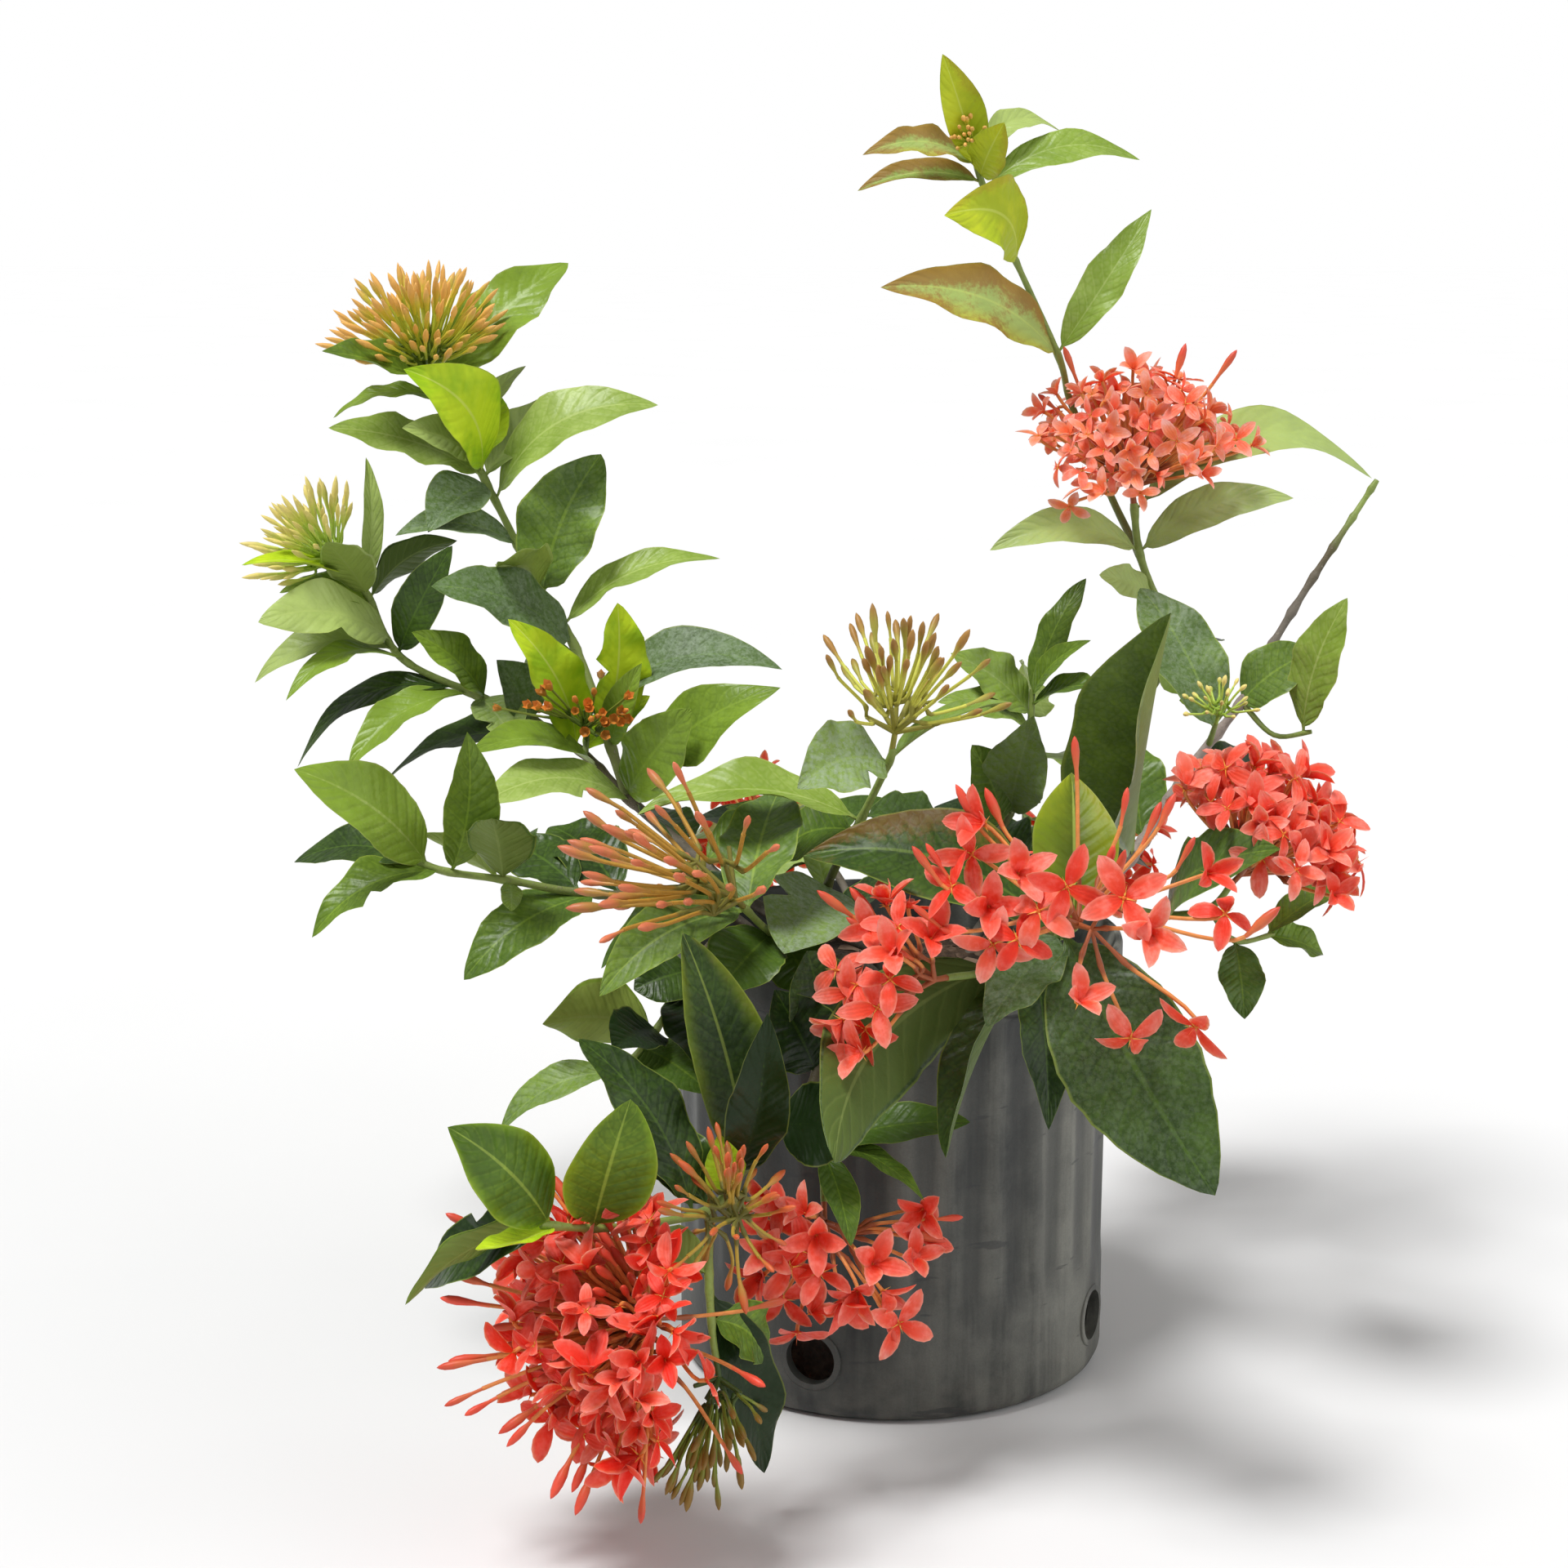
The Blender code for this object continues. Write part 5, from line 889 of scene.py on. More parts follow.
rings = [hole_piece(angle, DRAIN_RADIUS + 3.5 * MM, 3 * MM, 0.5 * MM, 0.45 * MM)
         for angle in DRAIN_ANGLES]
combine(pot_wall, rings, "UNION")
plugs = [hole_piece(angle, DRAIN_RADIUS, 14 * MM, 12 * MM, 0.1 * MM) for angle in DRAIN_ANGLES]
combine(pot_wall, plugs, "DIFFERENCE")
print("pot with holes:", len(pot_wall.data.polygons), "faces")

# %% [markdown]
# Dusty plastic is charcoal below a film of pale dust. The dust lies in tall streaks, because water
# runs down the wall, and in soft blotches, and it is kept out of the flutes between the ribs, so
# the flutes are darker. The film is also laid on more thickly towards the right, which paints that
# side
# lighter: a painted light. It also makes the plastic less glossy, so the same mask drives the
# colour and the roughness. Stretched noise makes the streaks, and a sharper one a few dark scuffs.

# %% Dusty plastic
plastic, board, feed = new_material("dusty_plastic", Roughness=0.5, Specular_IOR_Level=0.4)
place = board.place()
long_places = board.place((1, 1, 0.08))
streaks = board.noise(long_places, 55, 4, 0.6).rise(0.40, 0.62)
wide_streaks = board.noise(long_places, 16, 2).rise(0.42, 0.60)
blotches = board.noise(place, 22, 5, 0.65).rise(0.38, 0.68)
grain = board.noise(place, 900, 3, 0.7)
x, y, z = board.parts(place)
# Painted light: the film grows towards the right, painting that side of the pot lighter.
painted_light_right = (x * 7.0 + 0.45).rise(0.0, 1.2)
valley = board.maths("COSINE", board.maths("ARCTAN2", y, x) * FLUTES).rise(0.6, -0.9)
valley = valley * z.rise(FOOT_BAND - 20 * MM, FOOT_BAND + 10 * MM)
dust_and_painted_light = (streaks * 0.40 + wide_streaks * 0.45 + blotches * 0.35) * (painted_light_right * 0.70 + 0.24)
dust_and_painted_light = dust_and_painted_light * (1.24 - valley * 0.75)
foot_splash = z.rise(0.05, 0.0) * board.noise(place, 60, 3).rise(0.35, 0.65)
scuffs = board.noise(board.place((0.5, 0.5, 2.4)), 48, 3, 0.55).rise(0.645, 0.69)
colour = board.mix(dust_and_painted_light * 0.85, (0.017, 0.019, 0.018), (0.19, 0.19, 0.165))
colour = board.mix(foot_splash * 0.30, colour, (0.16, 0.15, 0.125))
colour = board.mix(scuffs * 0.55, colour, (0.022, 0.024, 0.026))
colour = board.tinted(colour, grain * 0.5 + 0.75)
bump = board.bump(0.35, 0.8 * MM, grain * 0.25 + blotches)
feed(Base_Color=colour, Roughness=dust_and_painted_light * 0.22 + 0.42, Normal=bump)
pot_wall.data.materials.clear()
pot_wall.data.materials.append(plastic)
pot_mesh = pot_wall.data.copy()
bpy.data.objects.remove(pot_wall, do_unlink=True)
finish_piece("pot_shell", pot_mesh, "pot", sharp=38)
print("dust streaks run down the wall")

# %% [markdown]
# The soil fills the pot to 25 mm below the lip. It is a bark mix: a dark, crumbly mound with chips
# of pine bark on top. The mound is a grid of rings with waves in its heights, which are cheap and
# come out the same each time, and the finest crumbs are left to the material.

# %% The mound of soil
SOIL_ROUND = 96
MOUND_HEIGHT, MOUND_SUNK = 5 * MM, 1.5 * MM
MOUND_RINGS = (0.97, 0.9, 0.8, 0.7, 0.6, 0.5, 0.4, 0.3, 0.2, 0.1)
soil_inner = POT_RADIUS - POT_WALL - FLUTE_DEPTH - 0.6 * MM


def lumps(x, y):
    """The height of the lumps at a place, from a few waves."""
    return (1.6 * math.sin(61 * x + 1.3) * math.cos(53 * y) + 1.1 * math.sin(127 * y + 40 * x)
            + 0.8 * math.sin(210 * x - 90 * y) + 0.5 * math.cos(333 * y + 150 * x)) * MM


def soil_mesh():
    """The points and faces of the plug: four rings up its side, then the rings of the mound."""
    rows = [(2.8 * MM, soil_inner - 7 * MM), (60 * MM, soil_inner - 5 * MM),
            (120 * MM, soil_inner - 3 * MM), (SOIL_TOP - 6 * MM, soil_inner - 0.5 * MM)]
    points = [(radius * cosine, radius * sine, height)
              for height, radius in rows for cosine, sine in around(SOIL_ROUND)]
    for share in MOUND_RINGS:
        rise = SOIL_TOP + MOUND_HEIGHT * (1 - share ** 2) - MOUND_SUNK
        for cosine, sine in around(SOIL_ROUND):
            x, y = soil_inner * share * cosine, soil_inner * share * sine
            points.append((x, y, rise + lumps(x, y)))
    points.append((0, 0, SOIL_TOP + MOUND_HEIGHT - MOUND_SUNK))
    rings = len(rows) + len(MOUND_RINGS)
    last = (rings - 1) * SOIL_ROUND
    return points, [bottom(SOIL_ROUND), *ring_faces(rings, SOIL_ROUND), *fan(last, SOIL_ROUND)]


soil_stuff, board, feed = new_material("bark_mix", Specular_IOR_Level=0.25)
place = board.place()
crumbs = board.node("ShaderNodeTexVoronoi", None, {0: place, 2: 220})
fine_crumbs = board.noise(place, 420, 5, 0.7)
patches = board.noise(place, 34, 3, 0.6).rise(0.35, 0.65)
colour = board.mix(patches, (0.018, 0.011, 0.007), (0.070, 0.042, 0.025))
colour = board.tinted(colour, crumbs * 0.9 + fine_crumbs * 0.8 + 0.1)
bump = board.bump(0.9, 3 * MM, crumbs + fine_crumbs * 0.6)
feed(Base_Color=colour, Roughness=fine_crumbs * 0.2 + 0.78, Normal=bump)

soil_shape = new_object("soil_shape", *soil_mesh())
soil_shape.data.materials.append(soil_stuff)
mound_mesh = soil_shape.data.copy()
finish_piece("soil_mound", mound_mesh, "soil", sharp=50)
print("soil mound:", len(mound_mesh.polygons), "faces")

# %% [markdown]
# Bark chips are flat, bent splinters, dark brown with paler patches. One rough chip is enough: the
# tree below spreads points over the top of the mound, sets a copy on each, turned and sized by
# chance, and turns the set into one plain mesh.

# %% Bark chips
CHIP_LENGTH = 7 * MM
CHIP_BELOW = (6.4, 6.2)          # mm, for its length and breadth
CHIP_BEND, CHIP_THICK = 0.9, 1.2
CHIPS_PER_SQUARE_METRE = 5200.0
STEEPEST = 0.5


def chip():
    """One splinter: a bent, uneven slab, a little smaller below."""
    outline = [(-1, -0.25), (-0.55, -0.5), (0.2, -0.42), (0.85, -0.5), (1.05, 0.05), (0.7, 0.45),
               (0.0, 0.52), (-0.7, 0.38)]
    points = [(x * CHIP_LENGTH, y * CHIP_LENGTH, (CHIP_BEND - x * x * CHIP_BEND) * MM)
              for x, y in outline]
    length, breadth = CHIP_BELOW
    points += [(x * length * MM, y * breadth * MM, (-CHIP_THICK - x * x * CHIP_BEND) * MM)
               for x, y in outline]
    count = len(outline)
    faces = [tuple(range(count)), tuple(range(2 * count - 1, count - 1, -1))]
    faces += [(k, k + count, (k + 1) % count + count, (k + 1) % count) for k in range(count)]
    return new_object("chip", points, faces)


def chip_tree():
    """Chips on the faces that look up, each spun, tilted and sized by chance."""
    board, (shape, chips, material, density, smallest, largest) = new_tree(
        "chips_on_soil", ("Chip", "Object"), ("Material", "Material"), ("Density", "Float"),
        ("Smallest", "Float"), ("Largest", "Float"))
    upward = board.parts(board.node("GeometryNodeInputNormal"))[2]
    spread = board.node("GeometryNodeDistributePointsOnFaces", None, {
        0: shape, 1: board.maths("GREATER_THAN", upward, STEEPEST), 4: density, 6: 11})
    rotation = Wire(board, spread.socket.node.outputs[2])
    rotation = board.turned(rotation, (0, 0, 1), board.chance(0.0, math.tau, 3))
    rotation = board.turned(rotation, (1, 0, 0), board.chance(-0.5, 0.5, 5))
    size = board.chance(smallest, largest, 7)
    return board.close(board.copies(spread, chips, rotation, size), material)


chip_stuff, board, feed = new_material("pine_bark", Specular_IOR_Level=0.3)
layers = board.noise(board.place((1, 1, 3)), 260, 4, 0.7)
patches = board.noise(board.place(), 70, 2).rise(0.38, 0.62)
colour = board.mix(patches, (0.045, 0.024, 0.013), (0.16, 0.105, 0.07))
colour = board.tinted(colour, layers + 0.5)
feed(Base_Color=colour, Roughness=layers * 0.25 + 0.68, Normal=board.bump(0.7, 1 * MM, layers))

chip_shape = chip()
chips_mesh = run_tree(soil_shape, chip_tree(), Chip=chip_shape, Material=chip_stuff,
                      Density=CHIPS_PER_SQUARE_METRE, Smallest=0.45, Largest=1.15)
bpy.data.objects.remove(chip_shape, do_unlink=True)
finish_piece("bark_chips", chips_mesh, "soil", sharp=40)
print("bark chips:", len(chips_mesh.polygons), "faces")

# %% [markdown]
# Stems and flower stalks are both tubes along paths. One Geometry Nodes tree makes them all: it
# turns the edges of a plain wire mesh into curves, sweeps a circle along each, and reads the
# thickness from the wire's points, so a stem can taper and swell at its joints.

# %% Tubes along paths


def tube_tree():
    """A round, closed tube along every path of a wire mesh."""
    board, (wires, sides, material) = new_tree(
        "tubes_along_paths", ("Sides", "Int"), ("Material", "Material"))
    curves = board.node("GeometryNodeMeshToCurve", None, {0: wires})
    ring = board.node("GeometryNodeCurvePrimitiveCircle", None, {0: sides, 4: 1.0})
    tubes = board.node("GeometryNodeCurveToMesh", None,
                       {0: curves, 1: ring, 2: board.named("thick"), 3: True})
    smooth = board.node("GeometryNodeSetShadeSmooth", None, {0: tubes, 2: True})
    return board.close(smooth, material)


class Paths:
    """Paths gathered for one run of the tube tree. Each point has its thickness and its age."""

    def __init__(self):
        self.points, self.edges, self.thick, self.age = [], [], [], []

    def add(self, route, thick, age):
        first = len(self.points)
        self.points += route
        self.thick += thick
        self.age += age
        self.edges += [(first + i, first + i + 1) for i in range(len(route) - 1)]

    def tubes(self, sides, material):
        wires = new_object("wires", self.points, (), self.edges, thick=("FLOAT", self.thick),
                           age=("FLOAT", self.age))
        return run_tree(wires, tube_paths, Sides=sides, Material=material)


tube_paths = tube_tree()
print("the tube tree has", len(tube_paths.nodes), "nodes")

# %% [markdown]
# Young wood is green and smooth. Towards the foot it turns brown and then grey, with fine cracks
# along it and pale corky dots. The age of each point, from 0 at the tip to 1 in the soil, is
# carried on the mesh and mixes the colours. Leaves grow in pairs, and the stem swells at each pair.
# The bare twig at the right is older than 1: it has weathered paler than the grey of the others,
# and has a knot wherever a pair of leaves fell off.

# %% Bark
bark, board, feed = new_material("bark", Specular_IOR_Level=0.35)
place = board.place()
age = board.attribute("age", 2)
rough = board.noise(place, 140, 4, 0.65)
dots = board.noise(place, 620, 2, 0.5).rise(0.62, 0.70)
uneven = age + rough * 0.3 - 0.15
colour = board.mix(uneven.rise(0.25, 0.6), (0.22, 0.29, 0.065), (0.085, 0.068, 0.032))
colour = board.mix(uneven.rise(0.5, 0.9), colour, (0.15, 0.13, 0.105))
colour = board.mix(uneven.rise(0.9, 1.5), colour, (0.30, 0.25, 0.22))
colour = board.mix(dots * uneven.rise(0.1, 0.5) * 0.6, colour, (0.26, 0.23, 0.18))
colour = board.tinted(colour, rough * 0.8 + 0.6)
bump = board.bump(0.6, 1.5 * MM, rough + dots * 0.3)
feed(Base_Color=colour, Roughness=uneven.rise(0.0, 1.0) * 0.3 + 0.45, Normal=bump)

BARE_TWIG = ("stem_right", "trunk")
KNOT_SPACING = 22 * MM
SWELL_LENGTH = 3.5 * MM
AGE_AND_SWELL = {"trunk": (1.0, 0.28), "branch": (0.45, 0.28), "bare": (2.6, 0.5)}
AGE_FADING = 0.8
BARK_SIDES = 10


def tree_of(points):
    """A search tree that finds the nearest of the points."""
    tree = KDTree(len(points))
    for i, point in enumerate(points):
        tree.insert(point, i)
    tree.balance()
    return tree


def wood_of(stem):
    """The tubes of a stem's branches, swollen where leaves grow."""
    joints = tree_of([nearest_on(coarse[stem], *row[:2])[0] for row in leaf_rows(stem)])
    paths = Paths()
    draw = random.Random(stem)
    for name, (route, start, end) in fine[stem].items():
        bare = (stem, name) == BARE_TWIG
        oldest, knots = AGE_AND_SWELL["bare" if bare else "trunk" if name == "trunk" else "branch"]
        thick, age = [], []
        for i, point in enumerate(route):
            t = i / (len(route) - 1)
            near = joints.find(point)[2]
            if bare:
                near = min(near, abs((i * WOOD_STEP) % KNOT_SPACING - KNOT_SPACING / 2))
            swell = knots * math.exp(-(near / SWELL_LENGTH) ** 2)
            thick.append((start + (end - start) * t) * (1 + swell + draw.uniform(-0.03, 0.03)))
            age.append(oldest * (1 - t) ** AGE_FADING)
        paths.add(route, thick, age)
    return paths.tubes(BARK_SIDES, bark)


print("the bark has", len(bark.node_tree.nodes), "nodes")

# %% [markdown]
# An ixora leaf is a smooth oval with a short stalk and a pointed tip. It is folded a little along
# the midrib, its margins wave, and the midrib stands out below. Each blade here is a grid of points
# bent along the line from its base to its tip, with an upper and a lower skin that share the
# margin, so that every leaf is a thin closed solid. It carries where each point lies on the blade,
# for the veins, and the leaf's own finish. Two leaves are folded almost shut, a few have calm
# margins, and insects have nicked the margins of many on the left stems.

# %% The shape of a leaf
LEAF_CURL = 0.07
LEAF_BREADTH = 1.06
LEAF_ROWS = (0, 0.025, 0.055, 0.09, 0.13, 0.175, 0.22, 0.27, 0.32, 0.37, 0.42, 0.47, 0.52, 0.57,
             0.62, 0.67, 0.72, 0.77, 0.815, 0.86, 0.9, 0.935, 0.97)
LEAF_ACROSS = (-1, -0.8, -0.52, -0.22, 0, 0.22, 0.52, 0.8, 1)
LEAF_THICKNESS = 0.5 * MM
MIDRIB_DEPTH = 0.9 * MM
NICK_LENGTH = 0.045
STALK_SHARE = 0.055
FOLDED = {("stem_right", 0): 1.15, ("stem_front_right", 6): 0.9}
CALM_MARGIN = "gh"
OFTEN_NICKED, SELDOM_NICKED = {"stem_back_left": 0.3, "stem_left": 0.3}, 0.06


def leaf_frame(base, tip, look):
    """The leaf's sideways direction, its upper face's normal and its upward side."""
    along = (tip - base).normalized()
    to_eye = EYE - (base + tip) / 2
    to_eye = (to_eye - along * to_eye.dot(along)).normalized()
    side = to_eye.cross(along)
    if side.z < -0.2 or (abs(side.z) <= 0.2 and side.x < 0):
        side = -side
    turn = math.radians(look)
    normal = to_eye * math.cos(turn) + side * math.sin(turn)
    return normal.cross(along).normalized(), normal, side


def step_between(value, low, high):
    """A soft step from 0 at low to 1 at high."""
    t = min(max((value - low) / (high - low), 0), 1)
    return t * t * (3 - 2 * t)


class Blades:
    """The leaves of one stem, gathered into one mesh."""

    def __init__(self):
        self.points, self.faces, self.blade, self.finish = [], [], [], []

    def add(self, base, tip, width, look, bow, finish, nicked, folded, calm, draw):
        """The points of one leaf, row by row from its base, with chances of its own."""
        across, normal, side = leaf_frame(base, tip, look)
        along = (tip - base).normalized()
        length = (tip - base).length
        fold, wave = draw.uniform(0.08, 0.36), draw.uniform(0.04, 0.2)
        waves, phase = draw.uniform(1.6, 3.6), draw.uniform(0, math.tau)
        ragged = draw.uniform(0.004, 0.02)
        nick_at, nick_side = draw.uniform(0.3, 0.8), draw.choice((-1, 1))
        fold = folded or fold
        if calm:
            wave, ragged = wave * 0.3, 0
        nick = draw.uniform(0.25, 0.6) if draw.random() < nicked else 0
        twist, blunt = draw.uniform(-0.35, 0.35), draw.uniform(0.7, 0.95)
        uneven = draw.uniform(-0.06, 0.06)
        first = len(self.points)
        for t in LEAF_ROWS:
            arch = 4 * t * (1 - t) * length
            middle = base.lerp(tip, t) + side * (bow * arch) + normal * (LEAF_CURL * arch)
            oval = max(math.sin(math.pi * t ** 0.93), 0) ** blunt
            oval = max(STALK_SHARE, oval * step_between(t, 0.015, 0.11))
            half = LEAF_BREADTH * width * CM / 2 * oval
            turn = Matrix.Rotation(twist * (t - 0.4), 3, along)
            right, up = turn @ across, turn @ normal
            top, below = [], []
            for s in LEAF_ACROSS:
                edge = 1 + ragged * math.sin(57 * t + phase + 2 * s) * abs(s)
                if s * nick_side > 0.4:
                    edge -= nick * math.exp(-((t - nick_at) / NICK_LENGTH) ** 2) * abs(s)
                lift = fold * abs(s) ** 1.3
                lift += wave * s * s * math.sin(math.tau * waves * t + phase + 1.3 * (s > 0))
                place = middle + right * (s * half * edge * (1 + uneven * s)) + up * (lift * half)
                top.append(place)
                if abs(s) < 1:
                    rib = MIDRIB_DEPTH * (1 - 0.75 * t) if s == 0 else 0
                    below.append(place - up * (LEAF_THICKNESS * (1 - s * s) ** 0.5 + rib))
            self.points += top + below
            self.blade += [(s, t, 0) for s in LEAF_ACROSS]
            self.blade += [(s, t, 1) for s in LEAF_ACROSS[1:-1]]
        self.points.append(tip)
        self.blade.append((0, 1, 0.5))
        self.add_faces(first)
        self.finish += [finish] * (len(self.points) - first)

    def add_faces(self, first):
        """The two skins of a leaf whose points start at `first`. They share the margin."""
        columns = len(LEAF_ACROSS)
        ring = 2 * columns - 2
        for row in range(len(LEAF_ROWS)):
            upper = [first + row * ring + k for k in range(columns)]
            lower = [upper[0]] + [first + row * ring + columns + k for k in range(columns - 2)]
            lower.append(upper[-1])
            if row == 0:
                self.faces.append(upper + lower[-2:0:-1])
            else:
                for k in range(columns - 1):
                    self.faces.append((old_upper[k], upper[k], upper[k + 1], old_upper[k + 1]))
                    self.faces.append((old_lower[k], old_lower[k + 1], lower[k + 1], lower[k]))
            old_upper, old_lower = upper, lower
        last = len(self.points) - 1
        for k in range(columns - 1):
            self.faces.append((old_upper[k], last, old_upper[k + 1]))
            self.faces.append((old_lower[k + 1], last, old_lower[k]))

    def mesh(self, name):
        """All the leaves as one mesh whose faces look outwards."""
        shape = new_object(name, self.points, self.faces,
                           blade=("FLOAT_VECTOR", self.blade),
                           finish=("FLOAT_COLOR", self.finish))
        face_outwards(shape)
        mesh = shape.data.copy()
        bpy.data.objects.remove(shape, do_unlink=True)
        return mesh


print("a leaf has", 2 * (len(LEAF_ACROSS) - 1) * len(LEAF_ROWS) + 1, "faces")

# %% [markdown]
# A mature leaf is deep green and glossy, with a pale midrib, about eleven pairs of side veins that
# bend towards the tip, and a hair-thin pale margin. The blade is puffed up between the veins.
# A fine net of small veins lies between them. Below, it is duller and olive. Young leaves are lime,
# and the newest are bronze. Old dusty ones are mottled with grey, a film that is partly real dust
# and partly a painted sheen. The four numbers of the finish choose between all of these: how light,
# with painted light and shade in it, how lime, how dusty and how bronze.

# %% Leaf surface
VEIN_PAIRS = 11
NET_SCALE = 230
leaf_skin, board, feed = new_material("leaf_skin", Roughness=0.4, Specular_IOR_Level=0.18)
place = board.place()
across, along, under = board.parts(board.attribute("blade"))
tone, lime, dust_and_painted_light = board.parts(board.attribute("finish"))
bronze = board.attribute("finish", 3)
side = abs(across)
cloud = board.noise(place, 38, 3, 0.6)
vein_place = ((along - side * 0.17 + cloud * 0.07) * VEIN_PAIRS).share()
from_vein = abs(vein_place - 0.5)
vein = from_vein.rise(0.13, 0.02) * side.rise(0.93, 0.80) * along.rise(0.06, 0.12)
midrib = board.maths("MAXIMUM", side.rise(0.055, 0.02), along.rise(0.07, 0.04))
margin = side.rise(0.945, 0.985)
mottle = board.noise(place, 300, 5, 0.72)
specks = board.noise(place, 760, 2, 0.6)
ripples = board.noise(place, 16, 2, 0.5)
net = board.node("ShaderNodeTexVoronoi", dict(feature="DISTANCE_TO_EDGE"),
                 {0: place, 2: NET_SCALE}).rise(0.0, 0.26)
puffed = from_vein.rise(0.0, 0.35) * side.rise(0.02, 0.3) * side.rise(1.0, 0.85)
lighter = (tone + net * 0.08 + puffed * 0.04 + vein * 0.09 + midrib * 0.2 + margin * 0.25
           + cloud * 0.3 + ripples * 0.4 - 0.35)
green = board.mix(lighter.rise(-0.05, 0.5), (0.010, 0.026, 0.004), (0.064, 0.126, 0.011))
green = board.mix(lighter.rise(0.45, 1.0), green, (0.20, 0.31, 0.027))
green = board.mix(lighter.rise(1.0, 1.5), green, (0.36, 0.46, 0.13))
green = board.tinted(green, cloud * 0.6 + 0.7)
yellowed = lime * 1.5 - (1 - side) * (1 - lime) * 1.6
yellow = board.mix(cloud.rise(0.35, 0.65), (0.30, 0.50, 0.012), (0.52, 0.68, 0.02))
yellow = board.mix(bronze * 0.8, yellow, (0.52, 0.40, 0.03))
yellow = board.tinted(yellow, tone.rise(0.0, 0.8) * 0.5 + 0.5)
green = board.mix(yellowed.rise(0.0, 1.0), green, yellow)
blush = along * 0.5 + side * 0.45 - across * 0.25 + mottle * 0.9 + cloud * 0.9 + bronze * 0.7
blush = (blush - 1.78).rise(0.0, 0.4) * bronze
green = board.mix(blush * 0.8, green, (0.27, 0.090, 0.022))
# The pale film is partly real dust and partly a painted sheen.
dust_and_sheen_film = dust_and_painted_light * (mottle.rise(0.40, 0.62) * 0.34 + specks.rise(0.62, 0.72) * 0.28 + net * 0.07 + 0.13)
green = board.mix(dust_and_sheen_film, green, (0.30, 0.37, 0.27))
green = board.mix(midrib * lime * 0.5, green, (0.62, 0.70, 0.16))
green = board.mix(margin * 0.35, green, (0.30, 0.34, 0.07))
olive = board.mix(tone, (0.066, 0.105, 0.022), (0.24, 0.32, 0.062))
olive = board.mix(lime * 0.8, olive, (0.50, 0.62, 0.06))
olive = board.mix(bronze * 0.55, olive, (0.30, 0.15, 0.05))
olive = board.tinted(olive, cloud * 0.5 + 0.75)
olive = board.mix(vein * 0.10 + midrib * 0.35, olive, (0.28, 0.35, 0.10))
below = under.rise(0.35, 0.65)
height = puffed * 0.42 + cloud * 1.6 + ripples * 5 + mottle * 0.06 + net * 0.07
bump = board.bump(0.5, 1.2 * MM, height)
roughness = dust_and_painted_light * 0.16 + mottle * 0.10 + below * 0.20 + lime * 0.2 + bronze * 0.12 + 0.25
feed(Base_Color=board.mix(below, green, olive), Roughness=roughness, Normal=bump)
print("the leaf's surface has", len(leaf_skin.node_tree.nodes), "nodes")

# %% [markdown]
# Each leaf of the imported solids may stand a little nearer or further than its row says, because
# it was slid there to keep clear of its neighbours. Looking for the row's tip among the solid's
# own corners finds which place it took, and the finer leaf takes the same one. On the stems in
# bright light the leaves are painted lighter than their letter says, a painted light, but for the
# darkest and the dusty ones.

# %% Stems and leaves
# The first number, how light, is partly the leaf's own green and partly painted light and shade; s
# is a painted sunlit green.
FINISH = {"j": (-0.22, 0, 0.03, 0), "k": (0.03, 0, 0.08, 0), "n": (0.24, 0, 0.3, 0),
          "m": (0.45, 0, 0.12, 0), "b": (0.85, 0.1, 0.08, 0), "s": (1.2, 0, 0.3, 0),
          "d": (0.36, 0, 1.0, 0), "p": (0.75, 0, 0.6, 0), "w": (0.7, 0, 1.5, 0),
          "l": (0.62, 0.15, 0.35, 0), "q": (0.06, 0.36, 0.1, 0.1), "h": (0.14, 0.62, 0, 0.2),
          "g": (0.56, 0.3, 0, 0), "u": (0.85, 0.80, 0, 0.42), "y": (0.9, 1.0, 0, 0),
          "z": (0.75, 0.45, 0.05, 0.92), "o": (0.30, 0.12, 0.05, 0.52)}
